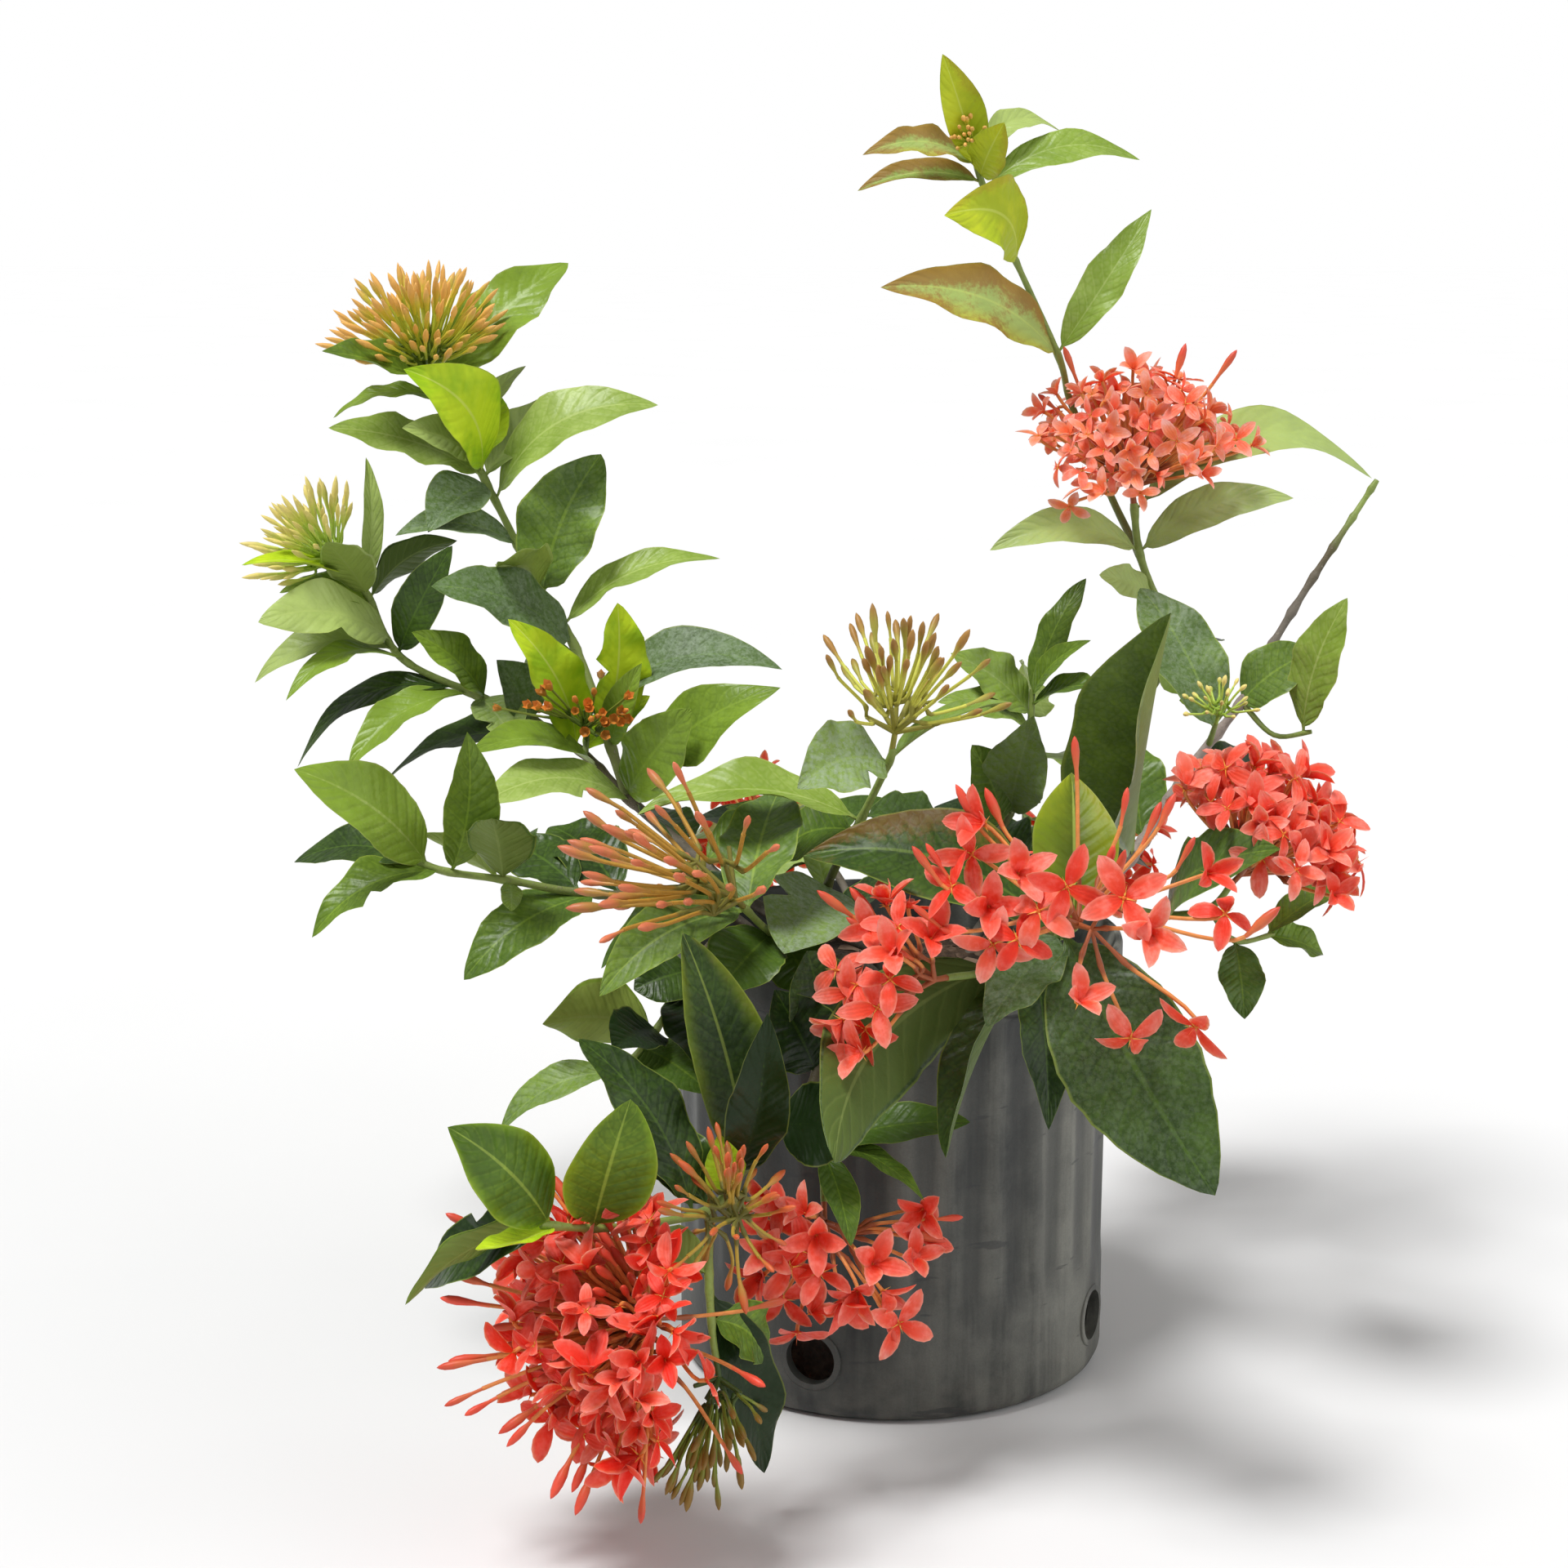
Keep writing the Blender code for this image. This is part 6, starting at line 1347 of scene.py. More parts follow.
# Painted light: how much lighter the leaves of each stem in bright light are painted.
PAINTED_LIGHT_BY_STEM = {"stem_back_left": 0.38, "stem_left": 0.16, "stem_top_right": 0.62,
                   "stem_right": 0.28, "stem_back_shoot": 0.2, "stem_middle": 0.1}
NOT_PAINTED_LIGHTER = "jkd"
LEAF_SHIFTS = (0, 0.7, -0.7, 1.4, -1.4, 2.1, -2.1, 2.8, -2.8, 3.5, -3.5)
SAME_PLACE = 0.4 * MM
leaf_points, leaf_faces = [], []
unmatched = []
for stem in STEMS:
    corners = tree_of([corner.co for corner in nodes[stem].data.vertices])
    blades = Blades()
    for i, (row, letter) in enumerate(zip(leaf_rows(stem), LEAF_FINISH[stem])):
        u, v, tip_u, tip_v, tip_y, width, look, bow = row
        places = [seen(tip_u, tip_v, tip_y + shift) for shift in LEAF_SHIFTS]
        near = [place for place in places if corners.find(place)[2] < SAME_PLACE]
        if not near:
            unmatched.append((stem, i))
        tip = (near or places)[0]
        draw = random.Random(f"{stem} {i}")
        tone, lime, dust_and_painted_light, bronze = FINISH[letter]
        # The stem's painted light is added to the leaf's tone.
        painted_light = 0 if letter in NOT_PAINTED_LIGHTER else PAINTED_LIGHT_BY_STEM.get(stem, 0)
        tone += draw.uniform(-0.14, 0.14) + painted_light
        finish = (tone, lime, dust_and_painted_light * draw.uniform(0.6, 1.1), bronze)
        nicked = OFTEN_NICKED.get(stem, SELDOM_NICKED)
        base = nearest_on(coarse[stem], u, v)[0]
        blades.add(base, tip, width, look, bow, finish, nicked, FOLDED.get((stem, i)),
                   letter in CALM_MARGIN, draw)
    leaf_faces += [[corner + len(leaf_points) for corner in face] for face in blades.faces]
    leaf_points += blades.points
    mesh = blades.mesh(stem + "_leaves")
    mesh.materials.append(leaf_skin)
    finish_piece(stem + "_leaves", mesh, stem, sharp=62)
    wood = wood_of(stem)
    finish_piece(stem + "_bark", wood, stem)
    print(stem, "has", i + 1, "leaves and", len(wood.polygons), "faces of bark")
print("leaves without a solid at their tip:", unmatched)
leaf_field = BVHTree.FromPolygons(leaf_points, leaf_faces)

# %% [markdown]
# A floret is four pointed petals on a long thin tube, with an orange throat, four stamens that lie
# between the petals, and a thread of a style. It is repeated hundreds of times, so it has few
# faces: six rows of points for a petal and a single point below each row. Three kinds, one flat,
# one cupped and one folded back, keep a head from looking stamped.

# %% Floret shapes
PETAL_LENGTH = 19 * MM
PETAL_WIDTH = 8.6 * MM
PETAL_THICKNESS = 0.45 * MM
PETAL_ROWS = ((0.03, 0.18), (0.18, 0.58), (0.36, 0.92), (0.54, 1.0), (0.74, 0.84), (0.90, 0.48))
THROAT_RADIUS = 1.5 * MM
THROAT_RIM, THROAT_TOP, THROAT_FOOT = 0.1 * MM, 1.5 * MM, -1.8 * MM
STAMEN_FROM, STAMEN_TO = (1.0, 0.7), (5.4, 1.3)    # mm outwards and mm up
STYLE_FROM, STYLE_TO = (0, 0, 0.9 * MM), (0.4 * MM, 0.3 * MM, 7.5 * MM)
STAMEN_RADIUS, STYLE_RADIUS = 0.42 * MM, 0.28 * MM
THROAT, STAMEN, STYLE = 1, 2, 3


def spike(points, faces, petal, part, start, end, radius):
    """Adds a thin closed spike of three sides, marked as a part of the floret."""
    first = len(points)
    way = (end - start).normalized()
    across = way.orthogonal().normalized()
    points += [start + (Matrix.Rotation(math.tau * k / 3, 3, way) @ across) * radius
               for k in range(3)] + [end]
    faces.append((first, first + 1, first + 2))
    faces += fan(first, 3)
    petal += [(0, 0, part)] * 4


def add_petals(points, faces, petal, opening, curl, cup, draw):
    """Four petals that rise at `opening` from the throat, bend by `curl` and are cupped."""
    upward = Vector((0, 0, 1))
    for k in range(4):
        turn = math.tau * k / 4 + draw.uniform(-0.12, 0.12)
        out = Vector((math.cos(turn), math.sin(turn), 0))
        side = Vector((-math.sin(turn), math.cos(turn), 0))
        lean, skew = draw.uniform(-0.28, 0.28), draw.uniform(-0.45, 0.45)
        first = len(points)
        middle, before = Vector(), 0
        for t, share in (*PETAL_ROWS, (1, 0)):
            rise = opening + lean + curl * t
            way = out * math.cos(rise) + upward * math.sin(rise)
            normal = upward * math.cos(rise) - out * math.sin(rise)
            step, before = t - before, t
            middle = middle + way * (step * PETAL_LENGTH) + side * (skew * step * 2 * MM)
            if t == 1:
                break
            half = PETAL_WIDTH / 2 * share
            edge = normal * (cup * half)
            tilt = normal * (skew * t * half * 1.2)
            below = normal * (PETAL_THICKNESS * min(1, 2 * (1 - t) + 0.2))
            points += [middle + side * half + edge + tilt, middle,
                       middle - side * half + edge - tilt, middle - below]
            petal += [(1, t, 0), (0, t, 0), (-1, t, 0), (0, t, 0.4)]
        points.append(middle)
        petal.append((0, 1, 0))
        for row in range(len(PETAL_ROWS) - 1):
            a = first + 4 * row
            faces += [(a, a + 4, a + 5, a + 1), (a + 1, a + 5, a + 6, a + 2),
                      (a + 2, a + 6, a + 7, a + 3), (a + 3, a + 7, a + 4, a)]
        a, tip = len(points) - 5, len(points) - 1
        faces += [(a, tip, a + 1), (a + 1, tip, a + 2), (a + 2, tip, a + 3), (a + 3, tip, a),
                  (first, first + 1, first + 2, first + 3)]


def floret(name, opening, curl, cup, seed):
    """Petals with a throat between them, a stamen in each gap and the style in the middle."""
    points, faces, petal = [], [], []
    add_petals(points, faces, petal, opening, curl, cup, random.Random(seed))
    first = len(points)
    gaps = [math.tau * (k + 0.5) / 4 for k in range(4)]
    points += [Vector((THROAT_RADIUS * math.cos(turn), THROAT_RADIUS * math.sin(turn), THROAT_RIM))
               for turn in gaps]
    points += [Vector((0, 0, THROAT_TOP)), Vector((0, 0, THROAT_FOOT))]
    for k in range(4):
        a, b = first + k, first + (k + 1) % 4
        faces += [(a, b, first + 4), (b, a, first + 5)]
    petal += [(0, 0, THROAT)] * 6
    for turn in gaps:
        out = Vector((math.cos(turn), math.sin(turn), 0))
        ends = [out * outwards * MM + Vector((0, 0, up * MM))
                for outwards, up in (STAMEN_FROM, STAMEN_TO)]
        spike(points, faces, petal, STAMEN, *ends, STAMEN_RADIUS)
    spike(points, faces, petal, STYLE, Vector(STYLE_FROM), Vector(STYLE_TO), STYLE_RADIUS)
    shape = new_object(name, points, faces, petal=("FLOAT_VECTOR", petal))
    face_outwards(shape)
    shade(shape.data, 75)
    return shape


FLORETS = [floret("flat_floret", 0.22, -0.42, 0.26, 1), floret("cupped_floret", 0.9, -0.5, 0.42, 2),
           floret("folded_floret", -0.05, -0.95, 0.20, 3)]
print("a floret has", len(FLORETS[0].data.polygons), "faces")

# %% [markdown]
# A bud is a slim club with a blunt point, on the same long tube. Old flowers leave only their
# calyx, a small cup with four teeth. Both are solids of a few rings.

# %% Bud and calyx shapes
CUP_SIDES, CUP_RADIUS, CUP_HEIGHT, CUP_FLOOR = 8, 1.35 * MM, 3.4 * MM, 0.9 * MM


def club(name, rings, sides, length, radius):
    """A closed club along +Z. Each ring is a share of the length and of the radius."""
    points = [Vector((radius * share * cosine, radius * share * sine, length * t))
              for t, share in rings for cosine, sine in around(sides)]
    points.append(Vector((0, 0, length)))
    reach = [t for t, _ in rings for _ in range(sides)] + [1]
    last = (len(rings) - 1) * sides
    faces = [*ring_faces(len(rings), sides), *fan(last, sides), bottom(sides)]
    shape = new_object(name, points, faces, reach=("FLOAT", reach))
    shade(shape.data, 80)
    return shape


def cup(name):
    """A calyx: a little cup whose rim is four teeth round a hollow."""
    points, reach = [], []
    rows = ((0, 0.45, 0), (0.45, 1.0, 0), (0.62, 1.15, 0.38), (0.5, 0.7, 0.0))
    for t, share, tooth in rows:
        for k, (cosine, sine) in enumerate(around(CUP_SIDES)):
            reach.append(t + (tooth if k % 2 else 0))
            points.append(Vector((CUP_RADIUS * share * cosine, CUP_RADIUS * share * sine,
                                  reach[-1] * CUP_HEIGHT)))
    points.append(Vector((0, 0, CUP_FLOOR)))
    reach.append(0)
    last = (len(rows) - 1) * CUP_SIDES
    faces = [*ring_faces(len(rows), CUP_SIDES), *fan(last, CUP_SIDES), bottom(CUP_SIDES)]
    return new_object(name, points, faces, reach=("FLOAT", reach))


SLIM = ((0, 0.48), (0.26, 0.50), (0.46, 0.78), (0.66, 1.0), (0.84, 0.84), (0.95, 0.40))
PLUMP = ((0, 0.42), (0.18, 0.54), (0.40, 0.96), (0.62, 1.0), (0.82, 0.76), (0.94, 0.34))
SPIKY = ((0, 0.42), (0.3, 0.62), (0.55, 1.0), (0.78, 0.74), (0.92, 0.34))
BUDS = {
    "spiky": [club("spiky_bud", SPIKY, 6, 23 * MM, 2.1 * MM),
              club("fine_bud", SPIKY, 6, 20 * MM, 1.8 * MM),
              club("stout_bud", SPIKY, 6, 17 * MM, 2.2 * MM)],
    "long": [club("slim_bud", SLIM, 6, 22 * MM, 2.15 * MM),
             club("plump_bud", PLUMP, 6, 20 * MM, 2.45 * MM),
             club("short_bud", SLIM, 6, 18 * MM, 2.0 * MM)],
    "small": [club("small_bud", PLUMP, 5, 7 * MM, 1.5 * MM),
              club("tiny_bud", SLIM, 5, 6.5 * MM, 1.2 * MM),
              club("round_bud", PLUMP, 5, 5 * MM, 1.5 * MM)],
    "calyx": [cup("cup_a"), cup("cup_b"), club("dry_bud", PLUMP, 5, 5 * MM, 1.0 * MM)],
}
BUD_LENGTH = {"spiky": 20 * MM, "long": 20 * MM, "small": 6 * MM, "calyx": 3 * MM}
print("a bud has", len(BUDS["long"][0].data.polygons), "faces")

# %% [markdown]
# One tree sets florets, buds or cups out on points. Every point says which way its copy faces,
# how it is spun, how big it is and which of the three kinds it is. The copies are made real at the
# end, and each keeps the tint of its own point.

# %% Setting copies out on points


def setting_tree():
    """Three kinds of copy, each on the points that ask for it."""
    board, (points, *kinds, material) = new_tree(
        "set_out_on_points", ("First", "Object"), ("Second", "Object"), ("Third", "Object"),
        ("Material", "Material"))
    facing = board.node("FunctionNodeAlignRotationToVector", dict(axis="Z"),
                        {2: board.named("way", "FLOAT_VECTOR")})
    rotation = board.turned(facing, (0, 0, 1), board.named("spin"))
    joined = board.node("GeometryNodeJoinGeometry")
    for k, shape in enumerate(kinds):
        chosen = board.maths("COMPARE", board.named("kind"), k, 0.4)
        placed = board.copies(points, shape, rotation, board.named("size"), chosen)
        board.tree.links.new(placed.socket, joined.socket.node.inputs[0])
    return board.close(joined, material)


set_out = setting_tree()


class Spots:
    """Points for one run of the setting tree."""

    def __init__(self):
        self.places, self.ways, self.spins, self.sizes = [], [], [], []
        self.kinds, self.tints_and_painted_light = [], []

    def add(self, place, way, size, kind, draw, tints_and_painted_light=(0, 1)):
        self.places.append(place)
        self.ways.append(tuple(way))
        self.sizes.append(size)
        self.kinds.append(kind)
        self.spins.append(draw.uniform(0, math.tau))
        self.tints_and_painted_light.append(draw.uniform(*tints_and_painted_light))

    def copies(self, shapes, material):
        cloud = new_object("cloud", self.places, way=("FLOAT_VECTOR", self.ways),
                           spin=("FLOAT", self.spins), size=("FLOAT", self.sizes),
                           kind=("FLOAT", self.kinds), tint=("FLOAT", self.tints_and_painted_light))
        return run_tree(cloud, set_out, First=shapes[0], Second=shapes[1], Third=shapes[2],
                        Material=material)


print("the setting tree has", len(set_out.nodes), "nodes")

# %% [markdown]
# Petals are coral, deeper and redder towards the throat, and paler and pinker along their edges,
# towards their tips and in soft patches, on some florets more than others: partly their own colour
# and partly a painted highlight. Each floret's tint sets how pale it is, and its range is set per
# head, so it also paints light and shade: heads in bright light lighter, heads in shade deeper.
# They are satin, with faint lines along them, and let a little light through. The throat is
# orange, the stamens are orange-yellow and the style is red. The petal's own attribute says where
# each point is.

# %% Petals
petals, board, feed = new_material(
    "coral_petals", Roughness=0.5, Specular_IOR_Level=0.15, Subsurface_Weight=0.35,
    Subsurface_Radius=(1.0, 0.14, 0.07), Subsurface_Scale=4 * MM)
across, along, part = board.parts(board.attribute("petal"))
tint = board.attribute("tint", 2)
side = abs(across)
cloud = board.noise(board.place(), 160, 3, 0.6)
# The tint holds each floret's own paleness and the painted light and shade of its head.
coral = board.mix(tint, (0.82, 0.022, 0.009), (1.0, 0.130, 0.066))
coral = board.mix(along.rise(0.55, 0.0) * 0.65, coral, (0.72, 0.018, 0.003))
# Painted light: florets tinted past 0.8, on the heads in brightest light, are painted a lighter
# orange.
coral = board.mix(tint.rise(0.8, 1.6) * 0.75, coral, (1.0, 0.26, 0.10))
# Paler edges, tips and patches: partly the petals' own colour and partly a painted highlight.
pale_and_painted_highlight = side.rise(0.5, 1.1) * along.rise(0.2, 0.5) * 0.2 + along.rise(0.4, 1.0) * tint * 0.45
pale_and_painted_highlight = pale_and_painted_highlight + cloud.rise(0.42, 0.72) * (tint * 0.35 + 0.06)
coral = board.mix(pale_and_painted_highlight, coral, (0.98, 0.42, 0.36))
coral = board.tinted(coral, cloud * 0.35 + 0.83)
colour = board.mix(part.rise(THROAT - 0.4, THROAT - 0.2), coral, (0.80, 0.17, 0.03))
colour = board.mix(part.rise(STAMEN - 0.4, STAMEN - 0.2), colour, (0.85, 0.38, 0.07))
colour = board.mix(part.rise(STYLE - 0.4, STYLE - 0.2), colour, (0.78, 0.13, 0.05))
lines = board.maths("SINE", across * 14.0)
bump = board.bump(0.25, 0.4 * MM, lines * 0.5 + cloud)
feed(Base_Color=colour, Roughness=cloud * 0.15 + 0.40, Normal=bump)
print("the petals have", len(petals.node_tree.nodes), "nodes")

# %% [markdown]
# Buds change with age, from green through orange to salmon, and each cluster is at its own stage.
# Two small functions make a bud finish and a stalk finish from two colours each: for the bud, at
# its tip and at its base, and for the stalk, on the slender tube and on the darker rays.

# %% Buds and stalks
STAGES = {
    "coral": ((0.66, 0.070, 0.036), (0.74, 0.17, 0.06), (0.76, 0.28, 0.075), (0.34, 0.09, 0.03)),
    "salmon": ((0.60, 0.165, 0.075), (0.48, 0.26, 0.050), (0.48, 0.26, 0.035), (0.20, 0.18, 0.03)),
    "orange": ((0.54, 0.105, 0.030), (0.42, 0.22, 0.035), (0.40, 0.27, 0.035), (0.13, 0.12, 0.02)),
    "green": ((0.34, 0.175, 0.040), (0.48, 0.45, 0.075), (0.60, 0.60, 0.095), (0.30, 0.28, 0.045)),
    "dark": ((0.22, 0.125, 0.020), (0.21, 0.25, 0.030), (0.16, 0.21, 0.02), (0.05, 0.08, 0.012)),
    "young": ((0.75, 0.41, 0.105), (0.66, 0.58, 0.050), (0.52, 0.55, 0.050), (0.20, 0.27, 0.03)),
    "pale": ((0.72, 0.60, 0.19), (0.60, 0.66, 0.12), (0.48, 0.62, 0.10), (0.30, 0.44, 0.05)),
    "calyx": ((0.62, 0.21, 0.030), (0.46, 0.20, 0.025), (0.20, 0.24, 0.03), (0.10, 0.15, 0.02)),
}


def bud_finish(kind):
    """Green at the base and riper at the tip, further along on some buds than on others."""
    tip, base = STAGES[kind][:2]
    made, board, feed = new_material(kind + "_bud", Roughness=0.45, Specular_IOR_Level=0.4)
    reach, tint = board.attribute("reach", 2), board.attribute("tint", 2)
    cloud = board.noise(board.place(), 330, 3, 0.6)
    colour = board.mix((reach + cloud * 0.4 + tint * 0.6 - 0.5).rise(0.1, 0.8), base, tip)
    colour = board.tinted(colour, tint * 0.35 + cloud * 0.3 + 0.7)
    feed(Base_Color=colour, Roughness=cloud * 0.2 + 0.36, Normal=board.bump(0.2, 0.4 * MM, cloud))
    return made


def stalk_finish(kind):
    """Dark on the old rays and paler on the young tubes."""
    tube, ray = STAGES[kind][2:]
    made, board, feed = new_material(kind + "_stalk", Roughness=0.5, Specular_IOR_Level=0.35)
    age = board.attribute("age", 2)
    cloud = board.noise(board.place(), 260, 3, 0.6)
    colour = board.mix((age + cloud * 0.3 - 0.15).rise(0.25, 0.75), tube, ray)
    colour = board.tinted(colour, cloud * 0.6 + 0.7)
    feed(Base_Color=colour, Roughness=cloud * 0.2 + 0.4, Normal=board.bump(0.3, 0.5 * MM, cloud))
    return made


bud_finishes = {kind: bud_finish(kind) for kind in STAGES}
stalk_finishes = {kind: stalk_finish(kind) for kind in STAGES}
print("finishes for", len(STAGES), "stages of bud")

# %% [markdown]
# A head grows from a hub at the end of its branch. A few short dark rays leave the hub, and from
# each ray several slender tubes curve out to their florets, each from a small dark calyx. The
# florets of a dome are spread evenly by the golden angle. One whose way is barred by a leaf is
# tried nearer and further, and left out if nothing is free.

# %% Where the florets and buds of a head go
GOLDEN_ANGLE = math.pi * (3 - math.sqrt(5))
REACH_SHARES = (1, 0.92, 1.08, 0.84, 0.76)
CLEAR_OF_LEAF, CLEAR_OF_FLOOR = 3.5 * MM, 1.2 * CM
NEAR_HUB = 0.3
BETWEEN_MARKS = 0.6
ON_BUD_SIDE, BUD_SIDE_SHARE = 0.3, 0.62


def dome_ways(axis, half_angle, count, spin):
    """Directions spread evenly over a cap round the axis."""
    across = axis.orthogonal().normalized()
    depth = 1 - math.cos(math.radians(half_angle))
    ways = []
    for i in range(count):
        tilt = math.acos(1 - depth * (i + 0.5) / count)
        turned = Matrix.Rotation(spin + GOLDEN_ANGLE * i, 3, axis) @ across
        ways.append(axis * math.cos(tilt) + turned * math.sin(tilt))
    return ways


def at_reach(hub, u, v, reach, nearer):
    """The point that shows at (u, v) and lies `reach` from the hub, on its near or far side."""
    ray = (seen(u, v, 0) - EYE).normalized()
    foot = EYE + ray * (hub - EYE).dot(ray)
    short = reach ** 2 - (foot - hub).length_squared
    return foot - ray * (math.sqrt(max(short, 0)) * (1 if nearer else -1))


def is_free(hub, spot):
    """Whether no leaf is in the way from the hub to the spot, or too near the spot."""
    way = spot - hub
    start = hub + way * NEAR_HUB
    if leaf_field.ray_cast(start, way, way.length * (1 - NEAR_HUB))[0] is not None:
        return False
    return leaf_field.find_nearest(spot, CLEAR_OF_LEAF)[0] is None and spot.z > CLEAR_OF_FLOOR


def free_spot(hub, spots):
    """The first free one of some spots, or nothing."""
    return next((spot for spot in spots if is_free(hub, spot)), None)


print("a place is tried at", len(REACH_SHARES), "distances from the hub")

# %% [markdown]
# A head's table places some florets and buds by (u, v), which fixes the line of sight, and the
# reach fixes how far along it they are. A dome fills the rest. Every floret and bud gets a few
# spots to try, and takes the first that is free.

# %% The spots of a head's florets and buds


def marked_spots(head, hub, reach, draw):
    """Spots to try for each floret and each bud that the head's table places by (u, v)."""
    florets = [[at_reach(hub, u, v, reach * share, True) for share in REACH_SHARES]
               for u, v in head.get("flowers", ())]
    buds, marked = [], list(head.get("buds", ()))
    for _ in range(head.get("more", 0)):
        (u, v), (other_u, other_v) = draw.sample(marked, 2)
        marked.append(((u + other_u) / 2 + draw.uniform(-BETWEEN_MARKS, BETWEEN_MARKS),
                       (v + other_v) / 2 + draw.uniform(-BETWEEN_MARKS, BETWEEN_MARKS)))
    for i, (u, v) in enumerate(marked):
        own = reach * draw.uniform(0.92, 1.06)
        buds.append([at_reach(hub, u, v, own * share, nearer == (i % 3 > 0))
                     for nearer in (True, False) for share in REACH_SHARES])
    return florets, buds


def dome_spots(head, hub, reach, draw):
    """Spots to try for each floret and each bud of the head's dome."""
    florets, buds = [], []
    aim, half_angle, floret_count, bud_count = head["dome"]
    total = floret_count + bud_count
    a, b, most = head.get("edge", (0, 0, 1))
    bud_side = Vector(head.get("bud_side", (0, 0, 0)))
    axis = (seen(*aim) - hub).normalized()
    for i, way in enumerate(dome_ways(axis, half_angle, total, draw.uniform(0, 6))):
        own = reach * draw.uniform(0.76, 1.05)
        spots = [hub + way * own * share for share in REACH_SHARES]
        u, v = as_seen(spots[0])
        if a * u + b * v > most:
            continue
        is_bud = (i + 1) * bud_count // total > i * bud_count // total
        if way.dot(bud_side) > ON_BUD_SIDE:
            is_bud = draw.random() < BUD_SIDE_SHARE
        (buds if is_bud else florets).append(spots)
    return florets, buds


def spots_of(head, hub, draw):
    """The free places of a head's florets and of its buds."""
    reach = head["reach"] * CM
    florets, buds = marked_spots(head, hub, reach, draw)
    if "dome" in head:
        more_florets, more_buds = dome_spots(head, hub, reach, draw)
        florets, buds = florets + more_florets, buds + more_buds
    if head.get("crowded"):
        return [[spots[0] for spots in group] for group in (florets, buds)]
    found = [[free_spot(hub, spots) for spots in group] for group in (florets, buds)]
    return [[spot for spot in group if spot] for group in found]


print(sum("dome" in head for head in HEADS.values()), "heads have a dome")

# %% [markdown]
# With the places known, each head is two or three pieces: its stalks, and its florets or buds or
# both. A stalk is laid path by path, like the wood. The tables hold what differs between the
# kinds: how thick their tubes are, how strongly these bend, and how big their buds are.

# %% Heads of florets and buds
NECK_OVERLAP = 3                 # mm
RAY_SHARE, RAY_SPREAD = 0.30, 70
RAY_THICK = (1.7, 1.4, 1.2)      # mm, at the hub, halfway and at its end
FLORETS_PER_RAY = 5
CALYX_SHARE = 23 / 45
CALYX_LENGTH = 1.6               # mm
FULL_SIZE_REACH, SMALL_BUD_REACH = 3.2 * CM, 3 * CM
STALK_SIDES = 5
TUBE_STEPS = 6
BEND, OTHER_BEND = {"salmon": 0.3, "green": 0.3, "dark": 0.4}, 0.6
TUBE_THICK = {"coral": 1.05 * MM, "salmon": 1.15 * MM, "orange": 0.95 * MM, "green": 0.95 * MM,
              "dark": 0.8 * MM, "young": 0.8 * MM, "pale": 0.7 * MM, "calyx": 0.8 * MM}
BUD_SIZE = {"coral": 1.0, "salmon": 1.02, "orange": 0.78, "green": 0.9, "dark": 0.8, "young": 1.0,
            "pale": 0.95, "calyx": 1.9}


def bent(start, start_way, end, end_way, bend, steps):
    """A smooth path between two points that leaves and arrives in the given directions."""
    length = bend * (end - start).length
    path = []
    for i in range(steps + 1):
        s = i / steps
        path.append(start * (2 * s ** 3 - 3 * s ** 2 + 1)
                    + start_way * (length * (s ** 3 - 2 * s ** 2 + s))
                    + end * (3 * s ** 2 - 2 * s ** 3) + end_way * (length * (s ** 3 - s ** 2)))
    return path


def nearest(places, spot):
    """The place that is nearest to a spot."""
    return min(places, key=lambda place: (place - spot).length)


def chance_way(draw):
    """A direction and length by chance."""
    return Vector([draw.uniform(-1, 1) for _ in range(3)])


def grow_stalk(paths, hub, ray_end, end, way, kind):
    """A slender tube from a ray to the foot of a floret or bud, with a calyx on it."""
    calyx = ray_end.lerp(hub.lerp(end, CALYX_SHARE), 0.7)
    leave = (calyx - ray_end).normalized().lerp((end - calyx).normalized(), 0.5).normalized()
    bend = BEND.get(kind, OTHER_BEND)
    tube = bent(calyx + leave * CALYX_LENGTH * MM, leave, end, way, bend, TUBE_STEPS)
    own = TUBE_THICK[kind]
    thick = [own * 1.05, own, own * 1.55, own * 1.3] + [own] * 5 + [own * 1.1]
    age = [1, 1, 1, 0.8, 0.35, 0.1, 0, 0, 0, 0]
    paths.add([ray_end, ray_end.lerp(calyx, 0.6), calyx, *tube], thick, age)


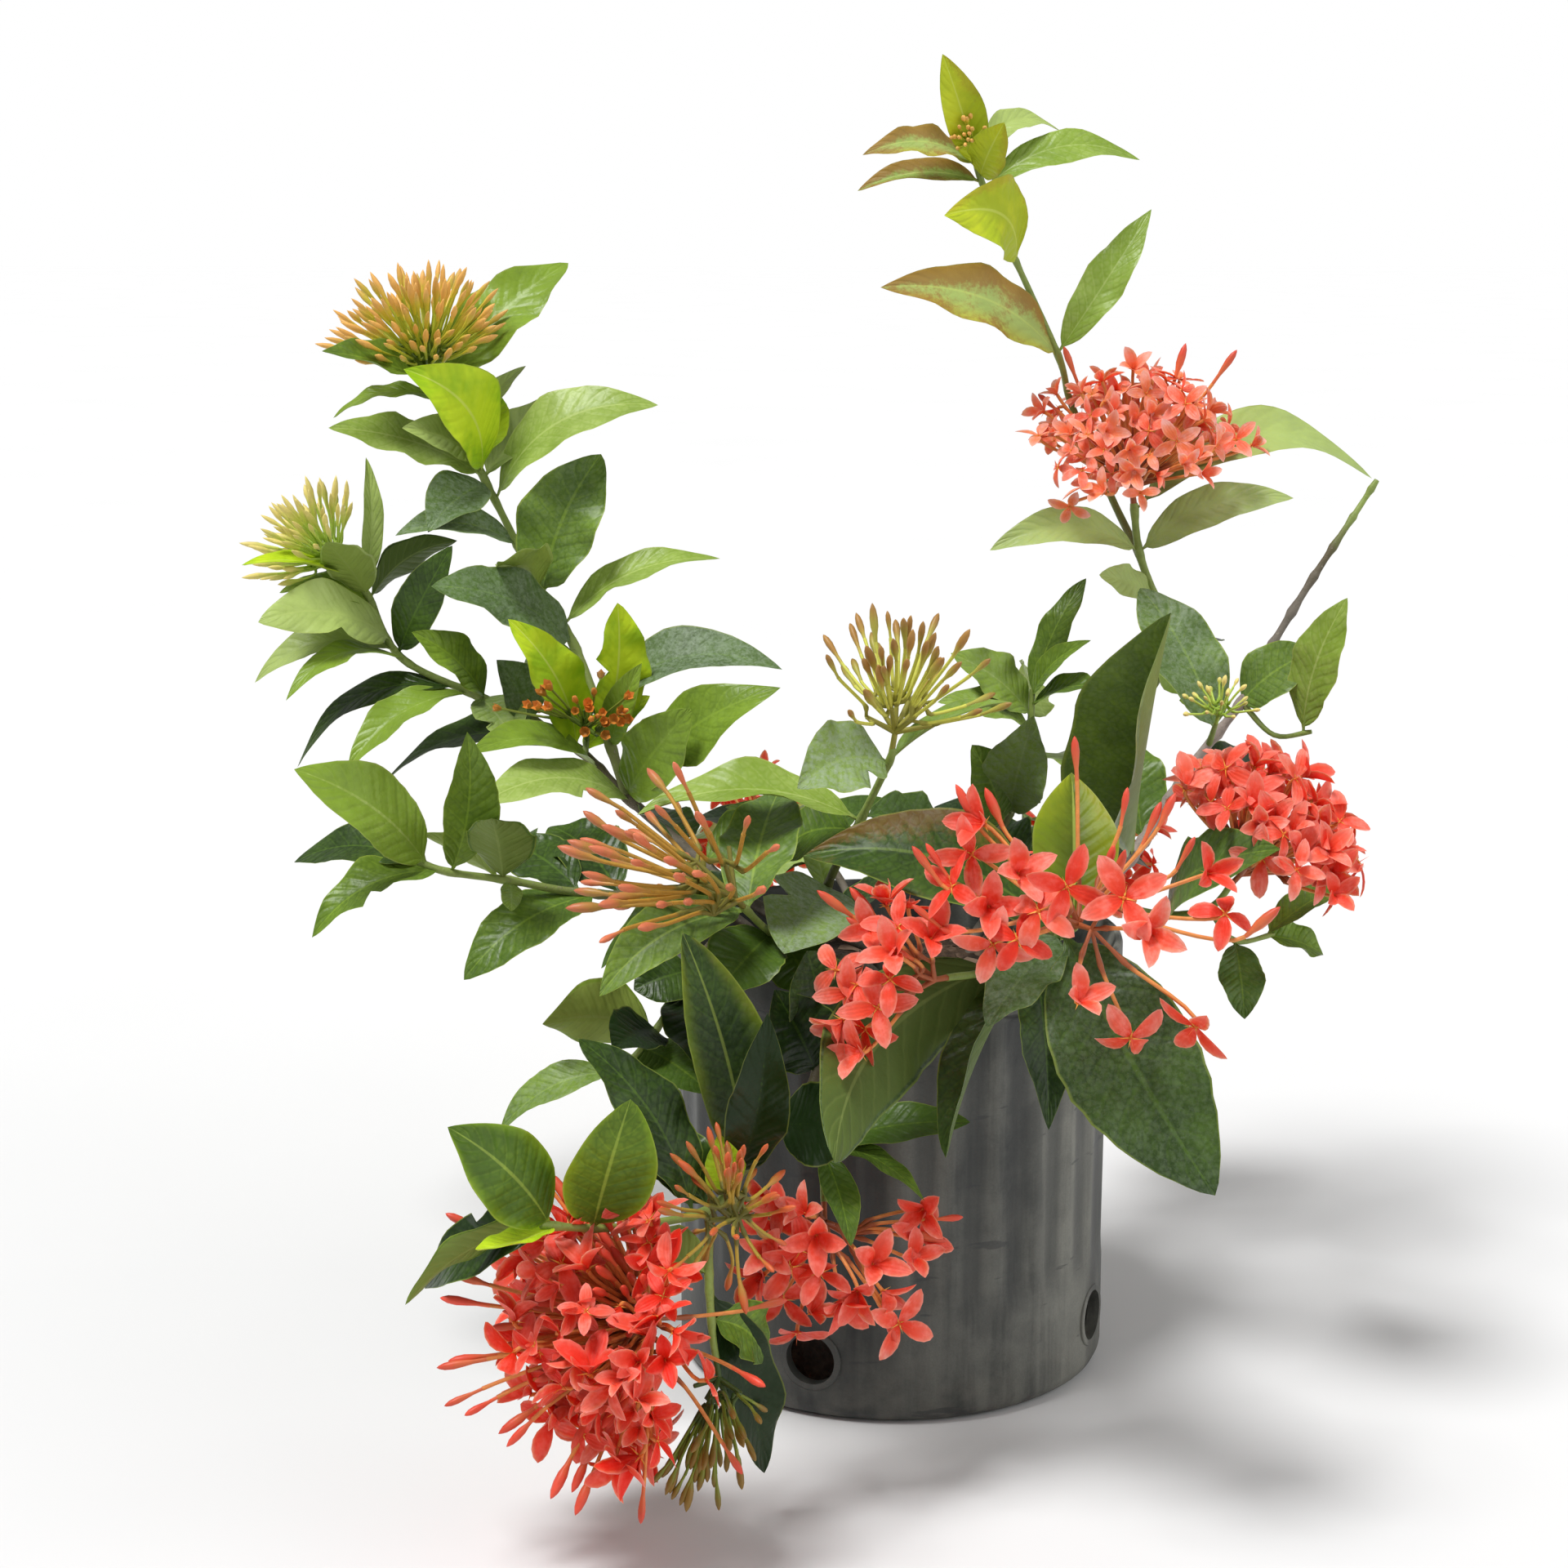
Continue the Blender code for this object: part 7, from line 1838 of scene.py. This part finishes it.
def make_head(name):
    """Makes the pieces of a head: its neck and rays first, then each floret and bud on a tube."""
    head = HEADS[name]
    kind, reach = head["kind"], head["reach"] * CM
    stem, branch = head["on"]
    route, _, radius = coarse[stem][branch]
    along = (route[-1] - route[-2]).normalized()
    hub = route[-1] + along * NECK_LENGTH
    draw = random.Random(name)
    florets, buds = spots_of(head, hub, draw)
    size = min(1, reach / FULL_SIZE_REACH)
    mean = sum(((spot - hub).normalized() for spot in florets + buds), Vector()).normalized()
    ray_count = max(5, len(florets + buds) // FLORETS_PER_RAY)
    ray_ends = [hub + way * reach * RAY_SHARE
                for way in dome_ways(mean, RAY_SPREAD, ray_count, 1.0)]
    paths = Paths()
    overlap = along * NECK_OVERLAP * MM
    neck = [route[-1] - overlap, route[-1] + overlap, hub]
    paths.add([*neck, hub + mean * 2 * MM],
              [radius, radius * 0.9, radius * 0.85, RAY_THICK[-1] * MM * size], [1] * 4)
    for end in ray_ends:
        thick = [mm * MM * size for mm in RAY_THICK]
        paths.add([hub, hub.lerp(end, 0.5), end], thick, [1] * 3)

    floret_spots, bud_spots = Spots(), Spots()
    for spot in florets:
        outward = (spot - hub).normalized()
        to_eye = (EYE - spot).normalized() * math.copysign(1, head["face"])
        stray = chance_way(draw) * head.get("stray", 0.6)
        facing = (outward.lerp(to_eye, abs(head["face"])) + stray).normalized()
        own = draw.uniform(*head.get("size", (0.85, 1.1)))
        tints_and_painted_light = head.get("tints_and_painted_light", (0.15, 0.85))
        floret_spots.add(spot, facing, own, draw.choice((0, 0, 1, 1, 2)), draw, tints_and_painted_light)
        grow_stalk(paths, hub, nearest(ray_ends, spot), spot, facing, kind)
    bud_shapes = "calyx" if kind == "calyx" else "spiky" if kind in ("young", "pale") else "long"
    if reach < SMALL_BUD_REACH:
        bud_shapes = "small"
    for spot in buds:
        stray = chance_way(draw) * 0.12
        lift = Vector((0, 0, head.get("lift", 0)))
        facing = ((spot - hub).normalized() + stray + lift).normalized()
        own = draw.uniform(0.85, 1.12) * BUD_SIZE[kind]
        foot = spot - facing * BUD_LENGTH[bud_shapes] * own
        bud_spots.add(foot, facing, own, draw.choice((0, 1, 2)), draw)
        grow_stalk(paths, hub, nearest(ray_ends, spot), foot, facing, kind)

    made = [("_stalks", paths.tubes(STALK_SIDES, stalk_finishes[kind]))]
    if florets:
        made.append(("_florets", floret_spots.copies(FLORETS, petals)))
    if buds:
        made.append(("_buds", bud_spots.copies(BUDS[bud_shapes], bud_finishes[kind])))
    for ending, mesh in made:
        finish_piece(name + ending, mesh, name)
    print(name, len(florets), "florets and", len(buds), "buds")


for name in HEADS:
    make_head(name)
for shape in [*FLORETS, *(shape for group in BUDS.values() for shape in group)]:
    bpy.data.objects.remove(shape, do_unlink=True)

# %% [markdown]
# The plant stands on a plain pale floor in a pale room, which lights it from all round. The room
# looks brighter to the eye than it shines. A broad sun stands high at the left and a weaker, much
# broader one low at the right. A sun that spans many degrees has soft shadows, as on a hazy day.

# %% Floor and light
floor_stuff, board, feed = new_material("floor", Roughness=0.9, Specular_IOR_Level=0.1)
patches = board.noise(board.place(), 3, 2)
feed(Base_Color=board.mix(patches, (0.73, 0.73, 0.73), (0.76, 0.76, 0.76)))
FLOOR_REACH, FLOOR_HEIGHT = 30, -0.5 * MM
corners = [(-1, -1), (1, -1), (1, 1), (-1, 1)]
floor = new_object("floor", [(x * FLOOR_REACH, y * FLOOR_REACH, FLOOR_HEIGHT)
                             for x, y in corners], [(0, 1, 2, 3)])
floor.data.materials.append(floor_stuff)

ROOM_LIGHT, BACKDROP = 0.36, 1.0
world = bpy.data.worlds.new("pale_room")
world.use_nodes = True
board = Board(world.node_tree)
to_the_eye = board.node("ShaderNodeLightPath")
strength = to_the_eye * (BACKDROP - ROOM_LIGHT) + ROOM_LIGHT
background = world.node_tree.nodes["Background"]
background.inputs["Color"].default_value = (1, 1, 1, 1)
world.node_tree.links.new(strength.socket, background.inputs["Strength"])
bpy.context.scene.world = world


def soft_sun(name, place, angle, strength):
    """Light from far away that comes from the direction of a place, softened by its angle."""
    data = bpy.data.lights.new(name, "SUN")
    data.angle, data.energy = math.radians(angle), strength
    lamp = bpy.data.objects.new(name, data)
    lamp.rotation_euler = Vector(place).to_track_quat("Z", "Y").to_euler()
    bpy.context.scene.collection.objects.link(lamp)


soft_sun("high_left", (-0.7, -0.5, 2.0), 20, 3.1)
soft_sun("right_side", (2.0, -0.9, 0.9), 50, 0.9)
bpy.context.scene.view_settings.view_transform = "Standard"
print("the floor is pale and the light is soft")

# %% Sizes and the end
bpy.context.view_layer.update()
faces = sum(len(piece.data.polygons) for piece in made_pieces)
print(len(made_pieces), "pieces,", faces, "faces")
